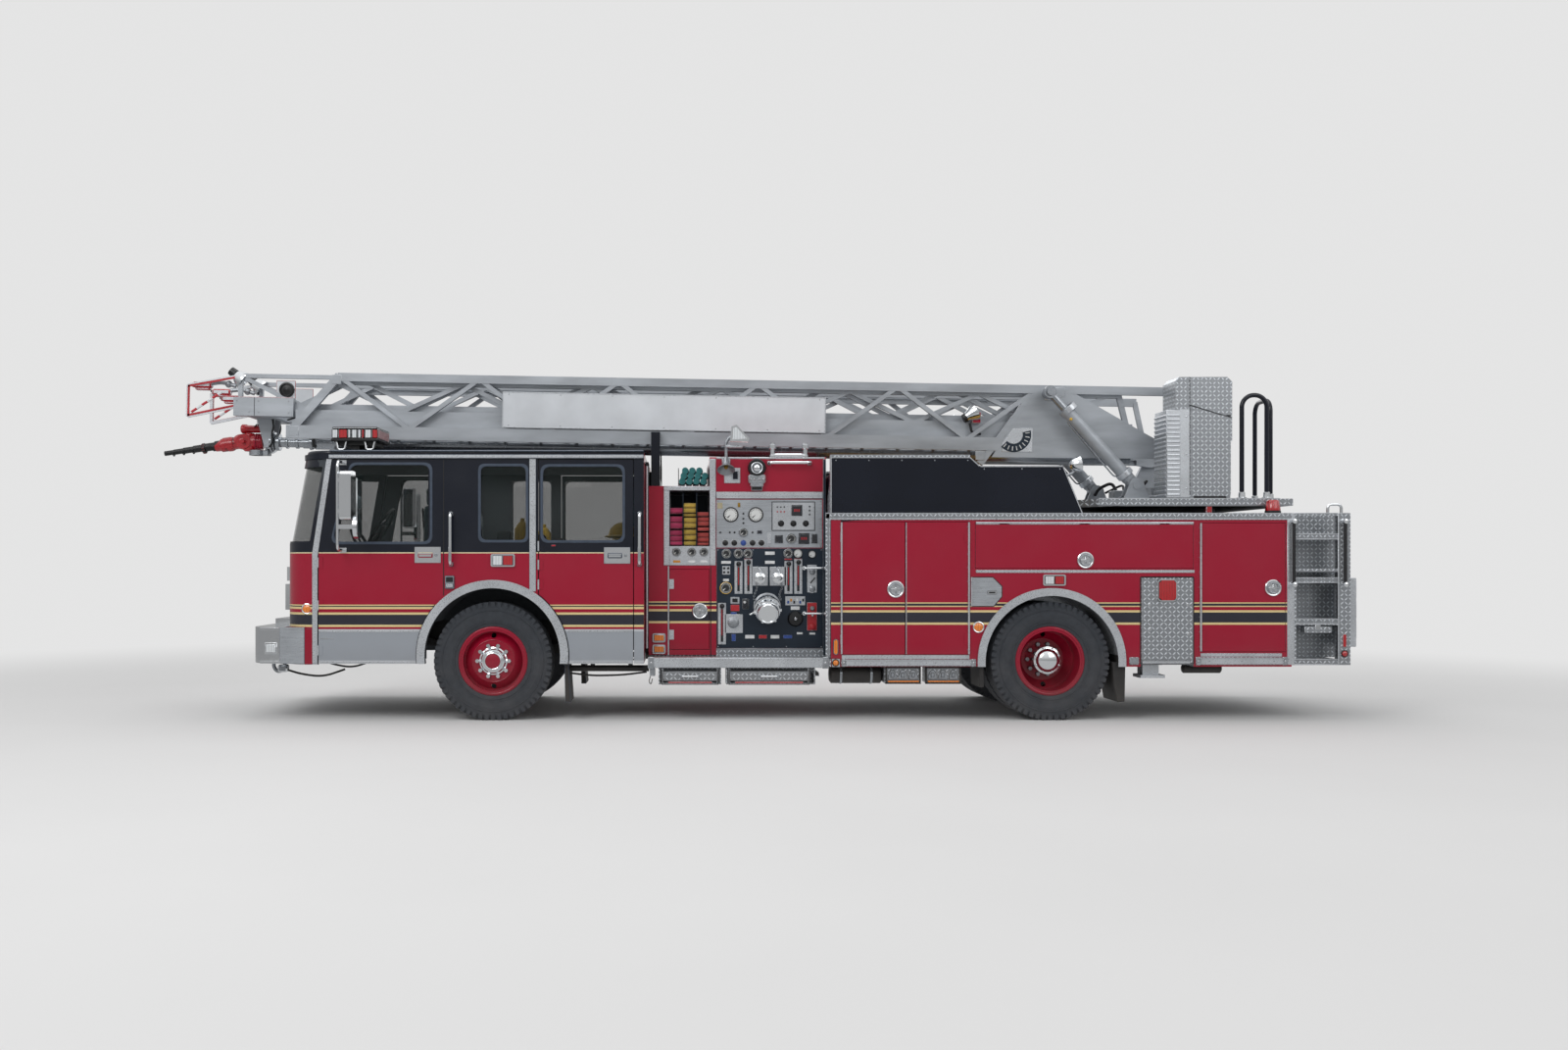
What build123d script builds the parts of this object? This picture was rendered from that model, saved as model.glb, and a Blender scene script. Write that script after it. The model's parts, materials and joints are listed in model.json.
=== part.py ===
"""Fire engine with a rear-mounted aerial ladder: cab, pump house, lockers, turntable, ladder and stabilisers.

Frame: the vehicle faces -X, its left side is -Y, and the ground is Z = 0. Sizes are in millimetres.
Stations along the vehicle are measured from the front axle, positive towards the tail.
"""

from build123d import *
from math import atan2, cos, degrees, hypot, radians, sin, sqrt
import os

os.makedirs("parts", exist_ok=True)

# Driving sizes of the whole vehicle
front_axle_x = -2240.2
wheelbase = 5089.0
half_width = 1220.0
wall = 50.0
seat_gap = 0.3
door_gap = 8.0

# Wheels
tyre_radius = 540.0
tyre_width = 300.0
rim_radius = 286.0
rim_lip_radius = 316.0
tyre_outer_y = half_width - 20.0
dual_gap = 40.0
rear_tyre_inner_y = tyre_outer_y - 2 * tyre_width - dual_gap
spindle_radius = 45.0
bearing_clearance = 0.08
kingpin_y = tyre_outer_y - 300.0
kingpin_radius = 24.0

# Cab
cab_front_station = -1916.0
cab_rear_station = 1379.0
cab_bottom_z = 509.0
cab_roof_z = 2464.0
roof_bottom_z = 2384.0
belt_z = 1610.0
mirror_station = -1360.0
mirror_tube_y = half_width + 215.0
mirror_tube_radius = 13.0
mirror_arm_z = (1552.0, 2350.0)
mirror_head_z = (1821.0, 2258.0)
mirror_width = 190.0
mirror_depth = 112.0
windscreen_rake = 165.0
cab_corner_radius = 290.0
front_door_station = -1585.0
front_door_rear_station = -532.0
front_door_lean = 134.0
crew_door_station = 423.0
crew_door_rear_station = 1281.0
door_bottom_z = 518.0
door_top_z = 2376.0
front_arch_z = tyre_radius + 50.0
front_arch_radius = tyre_radius + 77.0
wheelhouse_radius = tyre_radius + 110.0
wheelhouse_inner_y = tyre_outer_y - 655.0
wheelhouse_half_length = wheelhouse_radius + 70.0
wheelhouse_top_z = 1290.0
screen_bottom_z = 1634.0
screen_top_z = 2312.0
screen_edge_station = -1666.0
screen_edge_lean = 117.0
screen_post = 50.0
glass_thickness = 12.0
fixed_window = (-112.0, 308.0, 1643.0, 2321.0)
bumper_front_station = -2237.0
bumper_bottom_z = 518.0
bumper_top_z = 848.0
bumper_corner_radius = 300.0
grille_slats = (1010.0, 1070.0, 1130.0, 1190.0, 1250.0, 1310.0, 1370.0, 1420.0)
tunnel_half_width = 450.0
steering_y = 700.0
steering_radius = 225.0
tunnel_top_z = 1560.0
arch_trim_width = 75.0
arch_trim_proud = 18.0
cab_floor_z = 940.0

# Chassis
rail_web_y = 430.0
rail_flange = 80.0
rail_thickness = 10.0
rail_bottom_z = 640.0
rail_top_z = 890.0
frame_front_station = -2180.0
frame_rear_station = wheelbase + 2611.0

crossmember_stations = (-2130.0, -700.0, 2100.0, 3400.0, wheelbase - 739, wheelbase + 791, wheelbase + 2111)
spring_half_front = 760.0
spring_half_rear = 720.0
spring_inner_y = 440.0
spring_width = 80.0
spring_pack = 90.0
spring_leaf = 30.0
spring_eye_z = 730.0

# Axles, hubs and engine
beam_length = 110.0
beam_bottom_z = 410.0
beam_height = 90.0
beam_drop_y = kingpin_y - 280.0
eye_radius = 58.0
eye_half = 60.0
knuckle_web_y = kingpin_y + 65.0
hub_inner_w = -44.0
hub_radius = 110.0
spindle_end_w = 70.0
rear_spindle_radius = 75.0
rear_spindle_end_y = tyre_outer_y - 170.0
banjo_radius = 215.0
engine_half_width = 325.0
engine_bottom_z = 560.0
engine_top_z = 1480.0
shaft_radius = 50.0
shaft_z = 600.0
groove_places = (72.0, 24.0, -24.0, -72.0)
groove_width = 14.0
groove_depth = 12.0
hand_holes = 2
hand_hole_circle = 232.0
hand_hole_radius = 24.0

# Pump house
pump_front_station = 1415.0
pump_rear_station = 3070.0
pump_half_width = half_width - 320.0
pump_top_z = 2426.0
crosslay_cover_z = 2154.0
crosslay_top_z = 2113.0
crosslay_front_station = 1606.0
crosslay_rear_station = 1983.0
crosslay_floor_z = 1594.0
bundle_stations = (1694.0, 1975.0)
bundle_top_z = 2334.0
cradle_stations = (1430.0, 1515.0)
pump_bottom_z = 578.0
running_board_z = 563.0
running_board_thickness = 72.0
pump_door_z = (627.0, 1380.0)
pump_bay_depth = 430.0
step_stations = ((1513.0, 2084.0), (2129.0, 2942.0))

# Body
body_front_station = 3084.0
body_rear_station = wheelbase + 2192.0
tail_station = wheelbase + 2728.0
body_bottom_z = 491.0
body_top_z = 1890.0
locker_depth = 580.0
body_inner_y = half_width - locker_depth
locker_wall = 40.0
door_thickness = 36.0
hinge_out = 8.5
hinge_radius = 8.2
hinge_length = 90.0
core_half_width = body_inner_y - 40.0
rear_arch_z = tyre_radius - 8.0
rear_arch_radius = tyre_radius + 65.0
locker_split_station = wheelbase - 729.0
rear_locker_station = wheelbase + 1331.0
step_box_stations = (
    (locker_split_station - 784, locker_split_station - 454),
    (locker_split_station - 400, locker_split_station - 88),
)
bed_panel_top_z = 2402.0
bed_panel_step_z = 2321.0
bed_panel_thickness = 40.0
hose_bed_rear_station = wheelbase - 69.0
hose_bed_top_z = 2250.0
bay_front_station = wheelbase + 817.0
bay_rear_station = wheelbase + 1299.0
bay_top_z = 1313.0
beam_stations = {
    "left": (bay_front_station + 44, bay_front_station + 214),
    "right": (bay_front_station + 269, bay_front_station + 439),
}
beam_section_z = (905.0, 1075.0)
beam_play = 6.0
sleeve_play = 0.5
ring_top_z = 1959.92
ring_radius = 520.0
tail_recess_y = half_width - 280.0
tail_tread_z = (536.0, 900.0, 1384.0, 1679.0)

# Turntable and ladder
slew_station = wheelbase + 1307.0
deck_half_length = 965.0
deck_half_width = half_width - 140.0
deck_corner = 330.0
deck_top_z = 2030.0
deck_thickness = 70.0
hoop_top_z = 2985.0
pedestal_inner_y = 735.0
pedestal_outer_y = deck_half_width - 5.0
heel_station = slew_station + 197.0
heel_z = 2495.0
ladder_pitch = 1.02
heel_pin_radius = 40.0

lift_foot = (slew_station - 366.0, 2170.0)
lift_eye = (1382.0, 540.0)
lift_y = 650.0
lift_pin_radius = 38.0
barrel_radius = 62.0
rod_radius = 38.0

# The three nested ladder sections, along the ladder from the heel pin towards the tip.
# columns: half width, rail width, rail bottom, rail height, top of the handrail, handrail height,
# heel end, tip end, handrail heel end, handrail tip end
ladder_table = {
    "base": (500.0, 60.0, -10.0, 125.0, 625.0, 80.0, 60.0, 8680.0, 210.0, 8190.0),
    "mid": (425.0, 50.0, 122.0, 150.0, 570.0, 50.0, 520.0, 8610.0, 640.0, 8260.0),
    "fly": (360.0, 45.0, 215.0, 120.0, 618.0, 40.0, 900.0, 9190.0, 1020.0, 9190.0),
}
rung_pitch = 355.0
rung_radius = 17.0
brace_width = 40.0
panel_length = 1420.0
water_v = -15.0
monitor_u = 9100.0
barrel_length = 984.0
sign_board = (3492.0, 6601.0, 125.0, 470.0)
guard_points = ((9168.0, 600.0), (9680.0, 499.0), (9680.0, 195.0), (9200.0, 302.0))
jack_housing_z = (500.0, 1190.0)
jack_y = half_width - 195.0
jack_half = 75.0
# Telescoping waterway tubes; columns: outer radius, bore radius, heel end, tip end
water_table = {
    "base": (66.0, 58.0, 420.0, 8520.0),
    "mid": (57.0, 49.0, 900.0, 8640.0),
    "fly": (48.0, 0.0, 1300.0, 8960.0),
}


def x_of(station):
    """Place along X of a station measured from the front axle."""
    return front_axle_x + station


def block(x0, x1, y0, y1, z0, z1, mode=Mode.ADD):
    """A box given by its six faces, in the builder that is open."""
    with Locations(((x0 + x1) / 2, (y0 + y1) / 2, (z0 + z1) / 2)):
        Box(abs(x1 - x0), abs(y1 - y0), abs(z1 - z0), mode=mode)


def finish(builder, name):
    """Labels a finished piece and writes its file."""
    builder.part.label = name
    export_step(builder.part, f"parts/{name}.step")


def side_plane(y):
    """A drawing plane parallel to the vehicle's side at depth y, where -Y is the left side."""
    return Plane.XZ.offset(-y)


def bar(start, end, y0, y1, width):
    """A straight flat bar between two points of the open builder's first two axes, from y0 to y1 on its third."""
    (xa, za), (xb, zb) = start, end
    length = hypot(xb - xa, zb - za)
    tilt = degrees(atan2(zb - za, xb - xa))
    with Locations(Location(((xa + xb) / 2, (za + zb) / 2, (y0 + y1) / 2), (0, 0, tilt))):
        Box(length, width, abs(y1 - y0))


rear_axle_x = front_axle_x + wheelbase
side_inner_y = half_width - wall
spring_outer_y = spring_inner_y + spring_width
tyre_centre_y = tyre_outer_y - tyre_width / 2
cab_front_x = x_of(cab_front_station)
cab_rear_x = x_of(cab_rear_station)
arch_outer_radius = front_arch_radius + arch_trim_width


def finish_pair(builder, stem):
    """Writes a left-hand piece and its mirror twin."""
    finish(builder, f"{stem}_left")
    with BuildPart() as twin:
        mirror(builder.part, about=Plane.XZ)
    finish(twin, f"{stem}_right")


def both_sides(builder):
    """Adds the mirror image of what the open builder holds, on the other side of the vehicle."""
    mirror(builder.part, about=Plane.XZ)


# Chassis: two channel rails with crossmembers and spring hangers
with BuildPart() as chassis_frame:
    with BuildSketch(Plane.YZ.offset(x_of(frame_front_station))):
        with Locations((-rail_web_y + rail_flange / 2, (rail_bottom_z + rail_top_z) / 2)):
            Rectangle(rail_flange, rail_top_z - rail_bottom_z)
        with Locations((-rail_web_y + rail_flange / 2 + rail_thickness, (rail_bottom_z + rail_top_z) / 2)):
            Rectangle(rail_flange, rail_top_z - rail_bottom_z - 2 * rail_thickness, mode=Mode.SUBTRACT)
    extrude(amount=frame_rear_station - frame_front_station)
    for axle_x, reach in ((front_axle_x, spring_half_front), (rear_axle_x, spring_half_rear)):
        for end in (-1, 1):
            hanger_x = axle_x + end * reach
            block(hanger_x - 40, hanger_x + 40, -spring_outer_y, -rail_web_y, rail_bottom_z + 20, rail_top_z - 60)
    both_sides(chassis_frame)
    inner_y = rail_web_y - rail_thickness
    for station in crossmember_stations:
        block(x_of(station) - 40, x_of(station) + 40, -inner_y, inner_y, rail_bottom_z + 60, rail_top_z - 60)
finish(chassis_frame, "chassis_frame")


def spring(axle_x, reach, seat_z):
    """A leaf spring pack bowed between its two hangers, on the left side."""
    with BuildSketch(side_plane(-spring_inner_y)) as leaf:
        with BuildLine():
            top = ThreePointArc(
                (axle_x - reach, spring_eye_z),
                (axle_x, seat_z + spring_pack),
                (axle_x + reach, spring_eye_z),
            )
            low = ThreePointArc(
                (axle_x - reach, spring_eye_z - spring_leaf),
                (axle_x, seat_z),
                (axle_x + reach, spring_eye_z - spring_leaf),
            )
            Line(top @ 0, low @ 0)
            Line(top @ 1, low @ 1)
        make_face()
    extrude(leaf.sketch, amount=spring_width)


# Axles: a dropped beam in front, a banjo housing behind, each under its leaf springs
with BuildPart() as axles:
    with BuildSketch(Plane.YZ.offset(front_axle_x - beam_length / 2)):
        with BuildLine():
            Polyline(
                (0, beam_bottom_z),
                (-beam_drop_y, beam_bottom_z),
                (-kingpin_y + 100, tyre_radius - eye_half),
                (-kingpin_y + eye_radius / 2, tyre_radius - eye_half),
                (-kingpin_y + eye_radius / 2, tyre_radius + eye_half),
                (-beam_drop_y - 60, tyre_radius + eye_half - 40),
                (-beam_drop_y + 40, beam_bottom_z + beam_height),
                (0, beam_bottom_z + beam_height),
                close=True,
            )
        make_face()
    extrude(amount=beam_length)
    with Locations((front_axle_x, -kingpin_y, tyre_radius)):
        Cylinder(eye_radius, 2 * eye_half)
        Hole(kingpin_radius + bearing_clearance)
    spring(front_axle_x, spring_half_front - 40 - seat_gap, beam_bottom_z + beam_height - 12)
    with Locations(Location((rear_axle_x, 0, tyre_radius), (90, 0, 0))):
        Cylinder(rear_spindle_radius, 2 * rear_spindle_end_y)
    spring(rear_axle_x, spring_half_rear - 40 - seat_gap, tyre_radius + rear_spindle_radius - 20)
    both_sides(axles)
    with Locations((rear_axle_x, 0, tyre_radius)):
        Sphere(banjo_radius)
finish(axles, "axles")

# Engine and gearbox as one plain mass, with the shaft to the rear axle
with BuildPart() as engine:
    block(x_of(-380), x_of(680), -engine_half_width, engine_half_width, engine_bottom_z, engine_top_z)
    block(x_of(680), x_of(1500), -200, 200, engine_bottom_z + 20, 880)
    shaft_end = rear_axle_x - banjo_radius - seat_gap
    with Locations(Location(((x_of(1500) + shaft_end) / 2, 0, shaft_z), (0, 90, 0))):
        Cylinder(shaft_radius, shaft_end - x_of(1500))
finish(engine, "engine")


def wheel_sketch(centre_x, centre_y, points):
    """A half section of a wheel on the left side: points are (radius, distance outwards from centre_y)."""
    with BuildSketch(Plane.YZ.offset(centre_x)) as half_section:
        with BuildLine():
            Polyline(*[(-(centre_y + w), tyre_radius + r) for r, w in points], close=True)
        make_face()
    revolve(half_section.sketch, axis=Axis((centre_x, 0, tyre_radius), (0, 1, 0)))


def tyre_points():
    """Section of a tyre: beads inside the rim's lips, round sidewalls and a grooved tread."""
    half = tyre_width / 2
    side = [
        (rim_radius + seat_gap, half - 39),
        (rim_lip_radius + 1, half - 31),
        (rim_lip_radius + 2, half - 16),
        (rim_radius + 75, half - 4),
        (rim_radius + 140, half),
        (tyre_radius - 45, half - 10),
        (tyre_radius - 14, half - 22),
        (tyre_radius, half - 38),
    ]
    grooves = []
    for centre in groove_places:
        grooves += [
            (tyre_radius, centre + groove_width / 2),
            (tyre_radius - groove_depth, centre + groove_width / 4),
            (tyre_radius - groove_depth, centre - groove_width / 4),
            (tyre_radius, centre - groove_width / 2),
        ]
    return side + grooves + [(r, -w) for r, w in reversed(side)]


def barrel_points(centre, disc_out, disc_in):
    """The rim's barrel round a tyre centred at distance centre, entered and left at the disc's two faces."""
    lip = tyre_width / 2 - 18
    inside = rim_radius - 12
    return [
        (inside, disc_in),
        (inside, centre - lip),
        (rim_lip_radius, centre - lip),
        (rim_lip_radius, centre - lip + 12),
        (rim_radius, centre - lip + 20),
        (rim_radius, centre + lip - 20),
        (rim_lip_radius, centre + lip - 12),
        (rim_lip_radius, centre + lip),
        (inside, centre + lip),
        (inside, disc_out),
    ]


# Front wheels: a domed disc near the outer face, turning on the knuckle's spindle
with BuildPart() as front_rim:
    bore = spindle_radius + bearing_clearance
    wheel_sketch(
        front_axle_x,
        tyre_centre_y,
        [(bore, hub_inner_w), (hub_radius, hub_inner_w), (hub_radius, 84), (185, 84), (255, 30)]
        + barrel_points(0, 50, 24)
        + [(262, 50), (195, 100), (90, 100), (90, 138), (72, 148), (0, 148), (0, spindle_end_w + 5)]
        + [(bore, spindle_end_w + 5)],
    )
    with Locations(Location((front_axle_x, -tyre_centre_y, tyre_radius), (90, 0, 0))):
        with PolarLocations(hand_hole_circle, hand_holes, start_angle=90):
            Cylinder(hand_hole_radius, 4 * tyre_width, mode=Mode.SUBTRACT)
finish_pair(front_rim, "front_rim")

with BuildPart() as front_tyre:
    wheel_sketch(front_axle_x, tyre_centre_y, tyre_points())
finish_pair(front_tyre, "front_tyre")

# Rear wheels: two rims back to back on one hub, with a tyre on each
inner_w = -(tyre_width + dual_gap)
disc_w = inner_w / 2
with BuildPart() as rear_rims:
    bore = rear_spindle_radius + bearing_clearance
    wheel_sketch(
        rear_axle_x,
        tyre_centre_y,
        [(bore, disc_w - 80), (140, disc_w - 80), (140, disc_w - 12), (195, disc_w - 12), (262, disc_w - 72)]
        + barrel_points(inner_w, disc_w - 54, disc_w - 72)
        + [(266, disc_w - 54), (200, disc_w), (266, disc_w + 54)]
        + barrel_points(0, disc_w + 72, disc_w + 54)
        + [(262, disc_w + 72), (195, disc_w + 12), (105, disc_w + 12), (105, 30), (92, 62), (60, 84), (0, 92)]
        + [(0, rear_spindle_end_y - tyre_centre_y + 5), (bore, rear_spindle_end_y - tyre_centre_y + 5)],
    )
    with Locations(Location((rear_axle_x, -tyre_centre_y, tyre_radius), (90, 0, 0))):
        with PolarLocations(hand_hole_circle, hand_holes, start_angle=90):
            Cylinder(hand_hole_radius, 4 * tyre_width, mode=Mode.SUBTRACT)
finish_pair(rear_rims, "rear_rims")

with BuildPart() as rear_tyres:
    wheel_sketch(rear_axle_x, tyre_centre_y, tyre_points())
    wheel_sketch(rear_axle_x, tyre_centre_y + inner_w, tyre_points())
finish_pair(rear_tyres, "rear_tyres")

# Steering knuckles: a yoke over the beam's eye, the kingpin and the spindle
with BuildPart() as knuckle:
    for low, high in ((tyre_radius - eye_half - 5 - 36, tyre_radius - eye_half - 5),
                      (tyre_radius + eye_half + 5, tyre_radius + eye_half + 5 + 36)):
        block(front_axle_x - 55, front_axle_x + 55, -knuckle_web_y - 35, -kingpin_y + 55, low, high)
    block(front_axle_x - 55, front_axle_x + 55, -knuckle_web_y - 35, -knuckle_web_y,
          tyre_radius - eye_half - 41, tyre_radius + eye_half + 41)
    with Locations((front_axle_x, -kingpin_y, tyre_radius)):
        Cylinder(kingpin_radius, 2 * eye_half + 60)
    spindle_start = knuckle_web_y + 10
    spindle_end = tyre_centre_y + spindle_end_w
    with Locations(Location((front_axle_x, -(spindle_start + spindle_end) / 2, tyre_radius), (90, 0, 0))):
        Cylinder(spindle_radius, spindle_end - spindle_start)
finish_pair(knuckle, "knuckle")


def plan_face(z, front_x, rear_x, half, corner):
    """A plan outline at height z: square behind, with two round corners in front."""
    reach = corner * sin(radians(45))
    with BuildSketch(Plane.XY.offset(z)) as plan:
        with BuildLine():
            Line((rear_x, half), (rear_x, -half))
            Line((rear_x, -half), (front_x + corner, -half))
            ThreePointArc(
                (front_x + corner, -half),
                (front_x + corner - reach, -half + corner - reach),
                (front_x, -half + corner),
            )
            Line((front_x, -half + corner), (front_x, half - corner))
            ThreePointArc(
                (front_x, half - corner),
                (front_x + corner - reach, half - corner + reach),
                (front_x + corner, half),
            )
            Line((front_x + corner, half), (rear_x, half))
        make_face()
    return plan.sketch


def side_face(y, points, corner=0.0):
    """A side-view outline of (x, z) points in the plane y, its corners rounded when corner is given."""
    with BuildSketch(side_plane(y)) as outline:
        with BuildLine():
            Polyline(*points, close=True)
        make_face()
        if corner:
            fillet(outline.vertices(), corner)
    return outline.sketch


def arch_bore(x, z, radius, y0, y1, mode=Mode.SUBTRACT):
    """A cylinder across the vehicle between y0 and y1."""
    with Locations(Location((x, (y0 + y1) / 2, z), (90, 0, 0))):
        Cylinder(radius, abs(y1 - y0), mode=mode)


def raked(front_x, z):
    """Where the cab's front face is at height z above the belt."""
    return front_x + windscreen_rake * (z - belt_z) / (cab_roof_z - belt_z)


def cab_hull(inset, z_top, rear_x):
    """The cab's front end as a solid, pulled in by inset: upright to the belt and raked above it."""
    half = half_width - inset
    corner = cab_corner_radius - inset
    extrude(plan_face(cab_bottom_z, cab_front_x + inset, rear_x, half, corner), amount=belt_z - cab_bottom_z)
    loft([
        plan_face(belt_z, cab_front_x + inset, rear_x, half, corner),
        plan_face(z_top, raked(cab_front_x, z_top) + inset, rear_x, half, corner),
    ])


def screen_points(grow):
    """Side view of the windscreen opening, grown outwards by grow."""
    far_x = cab_front_x - 200
    return [
        (far_x, screen_bottom_z - grow),
        (x_of(screen_edge_station) + grow, screen_bottom_z - grow),
        (x_of(screen_edge_station + screen_edge_lean) + grow, screen_top_z + grow),
        (far_x, screen_top_z + grow),
    ]


door_front_x = x_of(front_door_station)
door_top_front_x = door_front_x + front_door_lean
door_bend_z = 1545.0
shell_top_z = roof_bottom_z - seat_gap

# Cab front: one shell round both corners, open at the back, with the windscreen opening, its centre post
# and the slatted grille on its face
with BuildPart() as cab_front:
    cab_hull(0, shell_top_z, x_of(-1300))
    with BuildPart(mode=Mode.PRIVATE) as hollow:
        cab_hull(wall, shell_top_z + 1, x_of(-1290))
    add(hollow.part, mode=Mode.SUBTRACT)
    extrude(side_face(-half_width - 100, [
        (door_front_x - door_gap, cab_bottom_z - 10),
        (door_front_x - door_gap, door_bend_z),
        (door_top_front_x - door_gap, cab_roof_z),
        (x_of(-1200), cab_roof_z),
        (x_of(-1200), cab_bottom_z - 10),
    ]), amount=-2 * half_width - 200, mode=Mode.SUBTRACT)
    for side in (-1, 1):
        extrude(side_face(side * (screen_post / 2), screen_points(0)),
                amount=-side * 2 * half_width, mode=Mode.SUBTRACT)
    block(cab_front_x - 10, cab_front_x + wall + 10, -620, 620, cab_bottom_z - 10, rail_top_z + seat_gap,
          Mode.SUBTRACT)
    face_x = cab_front_x - seat_gap
    with BuildPart(mode=Mode.PRIVATE) as grille:
        block(face_x - 28, face_x, -470, 470, 930, 1500)
        block(face_x - 40, face_x - 12, -425, 425, 970, 1460, Mode.SUBTRACT)
        for z in grille_slats:
            block(face_x - 24, face_x - 10, -430, 430, z - 12, z + 12)
        fillet(grille.edges().filter_by(Axis.X), 6)
    add(grille.part)
finish(cab_front, "cab_front")

# Windscreen halves and the two fixed side windows
with BuildPart() as cab_glass:
    cab_hull(wall / 2 - glass_thickness / 2, screen_top_z + 40, x_of(-1300))
    with BuildPart(mode=Mode.PRIVATE) as hollow:
        cab_hull(wall / 2 + glass_thickness / 2, screen_top_z + 41, x_of(-1290))
    add(hollow.part, mode=Mode.SUBTRACT)
    with BuildPart(mode=Mode.PRIVATE) as keep:
        for side in (-1, 1):
            extrude(side_face(side * (screen_post / 2 + seat_gap), screen_points(-seat_gap)),
                    amount=-side * 2 * half_width)
    add(keep.part, mode=Mode.INTERSECT)
    x0, x1, z0, z1 = fixed_window
    for side in (-1, 1):
        y = side * (half_width - wall / 2)
        block(x_of(x0) + seat_gap, x_of(x1) - seat_gap, y - 6, y + 6, z0 + seat_gap, z1 - seat_gap)
finish(cab_glass, "cab_glass")


def ring(x, z, inner, outer, y0, y1):
    """An arch lip: a flat ring across y0 to y1."""
    with BuildSketch(side_plane(max(y0, y1))) as lip:
        with Locations((x, z)):
            Circle(outer)
            Circle(inner, mode=Mode.SUBTRACT)
    extrude(lip.sketch, amount=abs(y1 - y0))


# Fixed walls: the side panels between the doors, each with its wheel arch lip and a window, and the rear wall
with BuildPart() as cab_walls:
    front_x = x_of(front_door_rear_station) + door_gap
    rear_x = x_of(crew_door_station) - door_gap
    block(front_x, rear_x, -half_width, -side_inner_y, front_arch_z + 200, shell_top_z)
    arch_bore(front_axle_x, front_arch_z, arch_outer_radius - 10, -half_width - 10, -side_inner_y + 10)
    ring(front_axle_x, front_arch_z, front_arch_radius, arch_outer_radius,
         -half_width - arch_trim_proud, -side_inner_y)
    block(front_axle_x - arch_outer_radius - 50, front_axle_x + arch_outer_radius + 50, -half_width - 50,
          -side_inner_y + 10, front_arch_z - arch_outer_radius - 50, cab_bottom_z + 9, Mode.SUBTRACT)
    x0, x1, z0, z1 = fixed_window
    block(x_of(x0), x_of(x1), -half_width - 10, -side_inner_y + 10, z0, z1, Mode.SUBTRACT)
    both_sides(cab_walls)
    with BuildPart(mode=Mode.PRIVATE) as rear_wall:
        post_x = x_of(crew_door_rear_station) + door_gap
        block(post_x, cab_rear_x, -half_width, half_width, door_bottom_z, shell_top_z)
        block(post_x - 10, cab_rear_x - wall, -side_inner_y, side_inner_y, door_bottom_z - 10, shell_top_z + 10,
              Mode.SUBTRACT)
        block(post_x - 10, cab_rear_x + 10, -620, 620, door_bottom_z - 10, rail_top_z + seat_gap, Mode.SUBTRACT)
    add(rear_wall.part)
finish(cab_walls, "cab_walls")

# Roof with its drip rail
with BuildPart() as cab_roof:
    top_x = raked(cab_front_x, cab_roof_z)
    extrude(plan_face(roof_bottom_z, top_x - 22, cab_rear_x, half_width + 12, cab_corner_radius), amount=45)
    extrude(plan_face(roof_bottom_z + 45, top_x, cab_rear_x, half_width - 14, cab_corner_radius - 14),
            amount=cab_roof_z - roof_bottom_z - 45)
    fillet(cab_roof.edges().group_by(Axis.Z)[-1], 24)
finish(cab_roof, "cab_roof")

# Floor: a slab on the rails, a wheelhouse over each front wheel, door steps and the engine cover
with BuildPart() as cab_floor:
    y_in = side_inner_y - seat_gap
    floor_rear_x = cab_rear_x - wall - seat_gap
    extrude(plan_face(rail_top_z + seat_gap, cab_front_x + wall + seat_gap, floor_rear_x, y_in,
                      cab_corner_radius - wall - seat_gap), amount=cab_floor_z - rail_top_z - seat_gap)
    for x0, x1 in ((door_front_x + 20, front_axle_x - wheelhouse_half_length + 15), (front_axle_x + wheelhouse_half_length - 15, x_of(crew_door_rear_station) - 20)):
        for z0, inner in ((cab_bottom_z + 20, 760), (cab_bottom_z + 195, 860)):
            for side in (-1, 1):
                block(x0, x1, side * y_in, side * inner, z0, z0 + 40)
        for side in (-1, 1):
            block(x0, x1, side * 860, side * 640, cab_bottom_z + 20, rail_top_z + 20)
    block(front_axle_x - wheelhouse_half_length, front_axle_x + wheelhouse_half_length, -y_in, y_in,
          cab_floor_z - 10, wheelhouse_top_z)
    block(front_axle_x - wheelhouse_half_length - 10, front_axle_x + wheelhouse_half_length + 10,
          -tunnel_half_width, tunnel_half_width, cab_floor_z, wheelhouse_top_z + 10, Mode.SUBTRACT)
    for side in (-1, 1):
        arch_bore(front_axle_x, front_arch_z - 30, wheelhouse_radius, side * wheelhouse_inner_y,
                  side * (half_width + 80))
    block(x_of(-480), x_of(780), -tunnel_half_width, tunnel_half_width, rail_top_z + 10, tunnel_top_z)
    fillet(cab_floor.edges().filter_by(Axis.X).group_by(Axis.Z)[-1], 60)
    block(x_of(-430), x_of(730), -tunnel_half_width + wall, tunnel_half_width - wall, rail_top_z - 20,
          tunnel_top_z - wall, Mode.SUBTRACT)
finish(cab_floor, "cab_floor")

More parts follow.
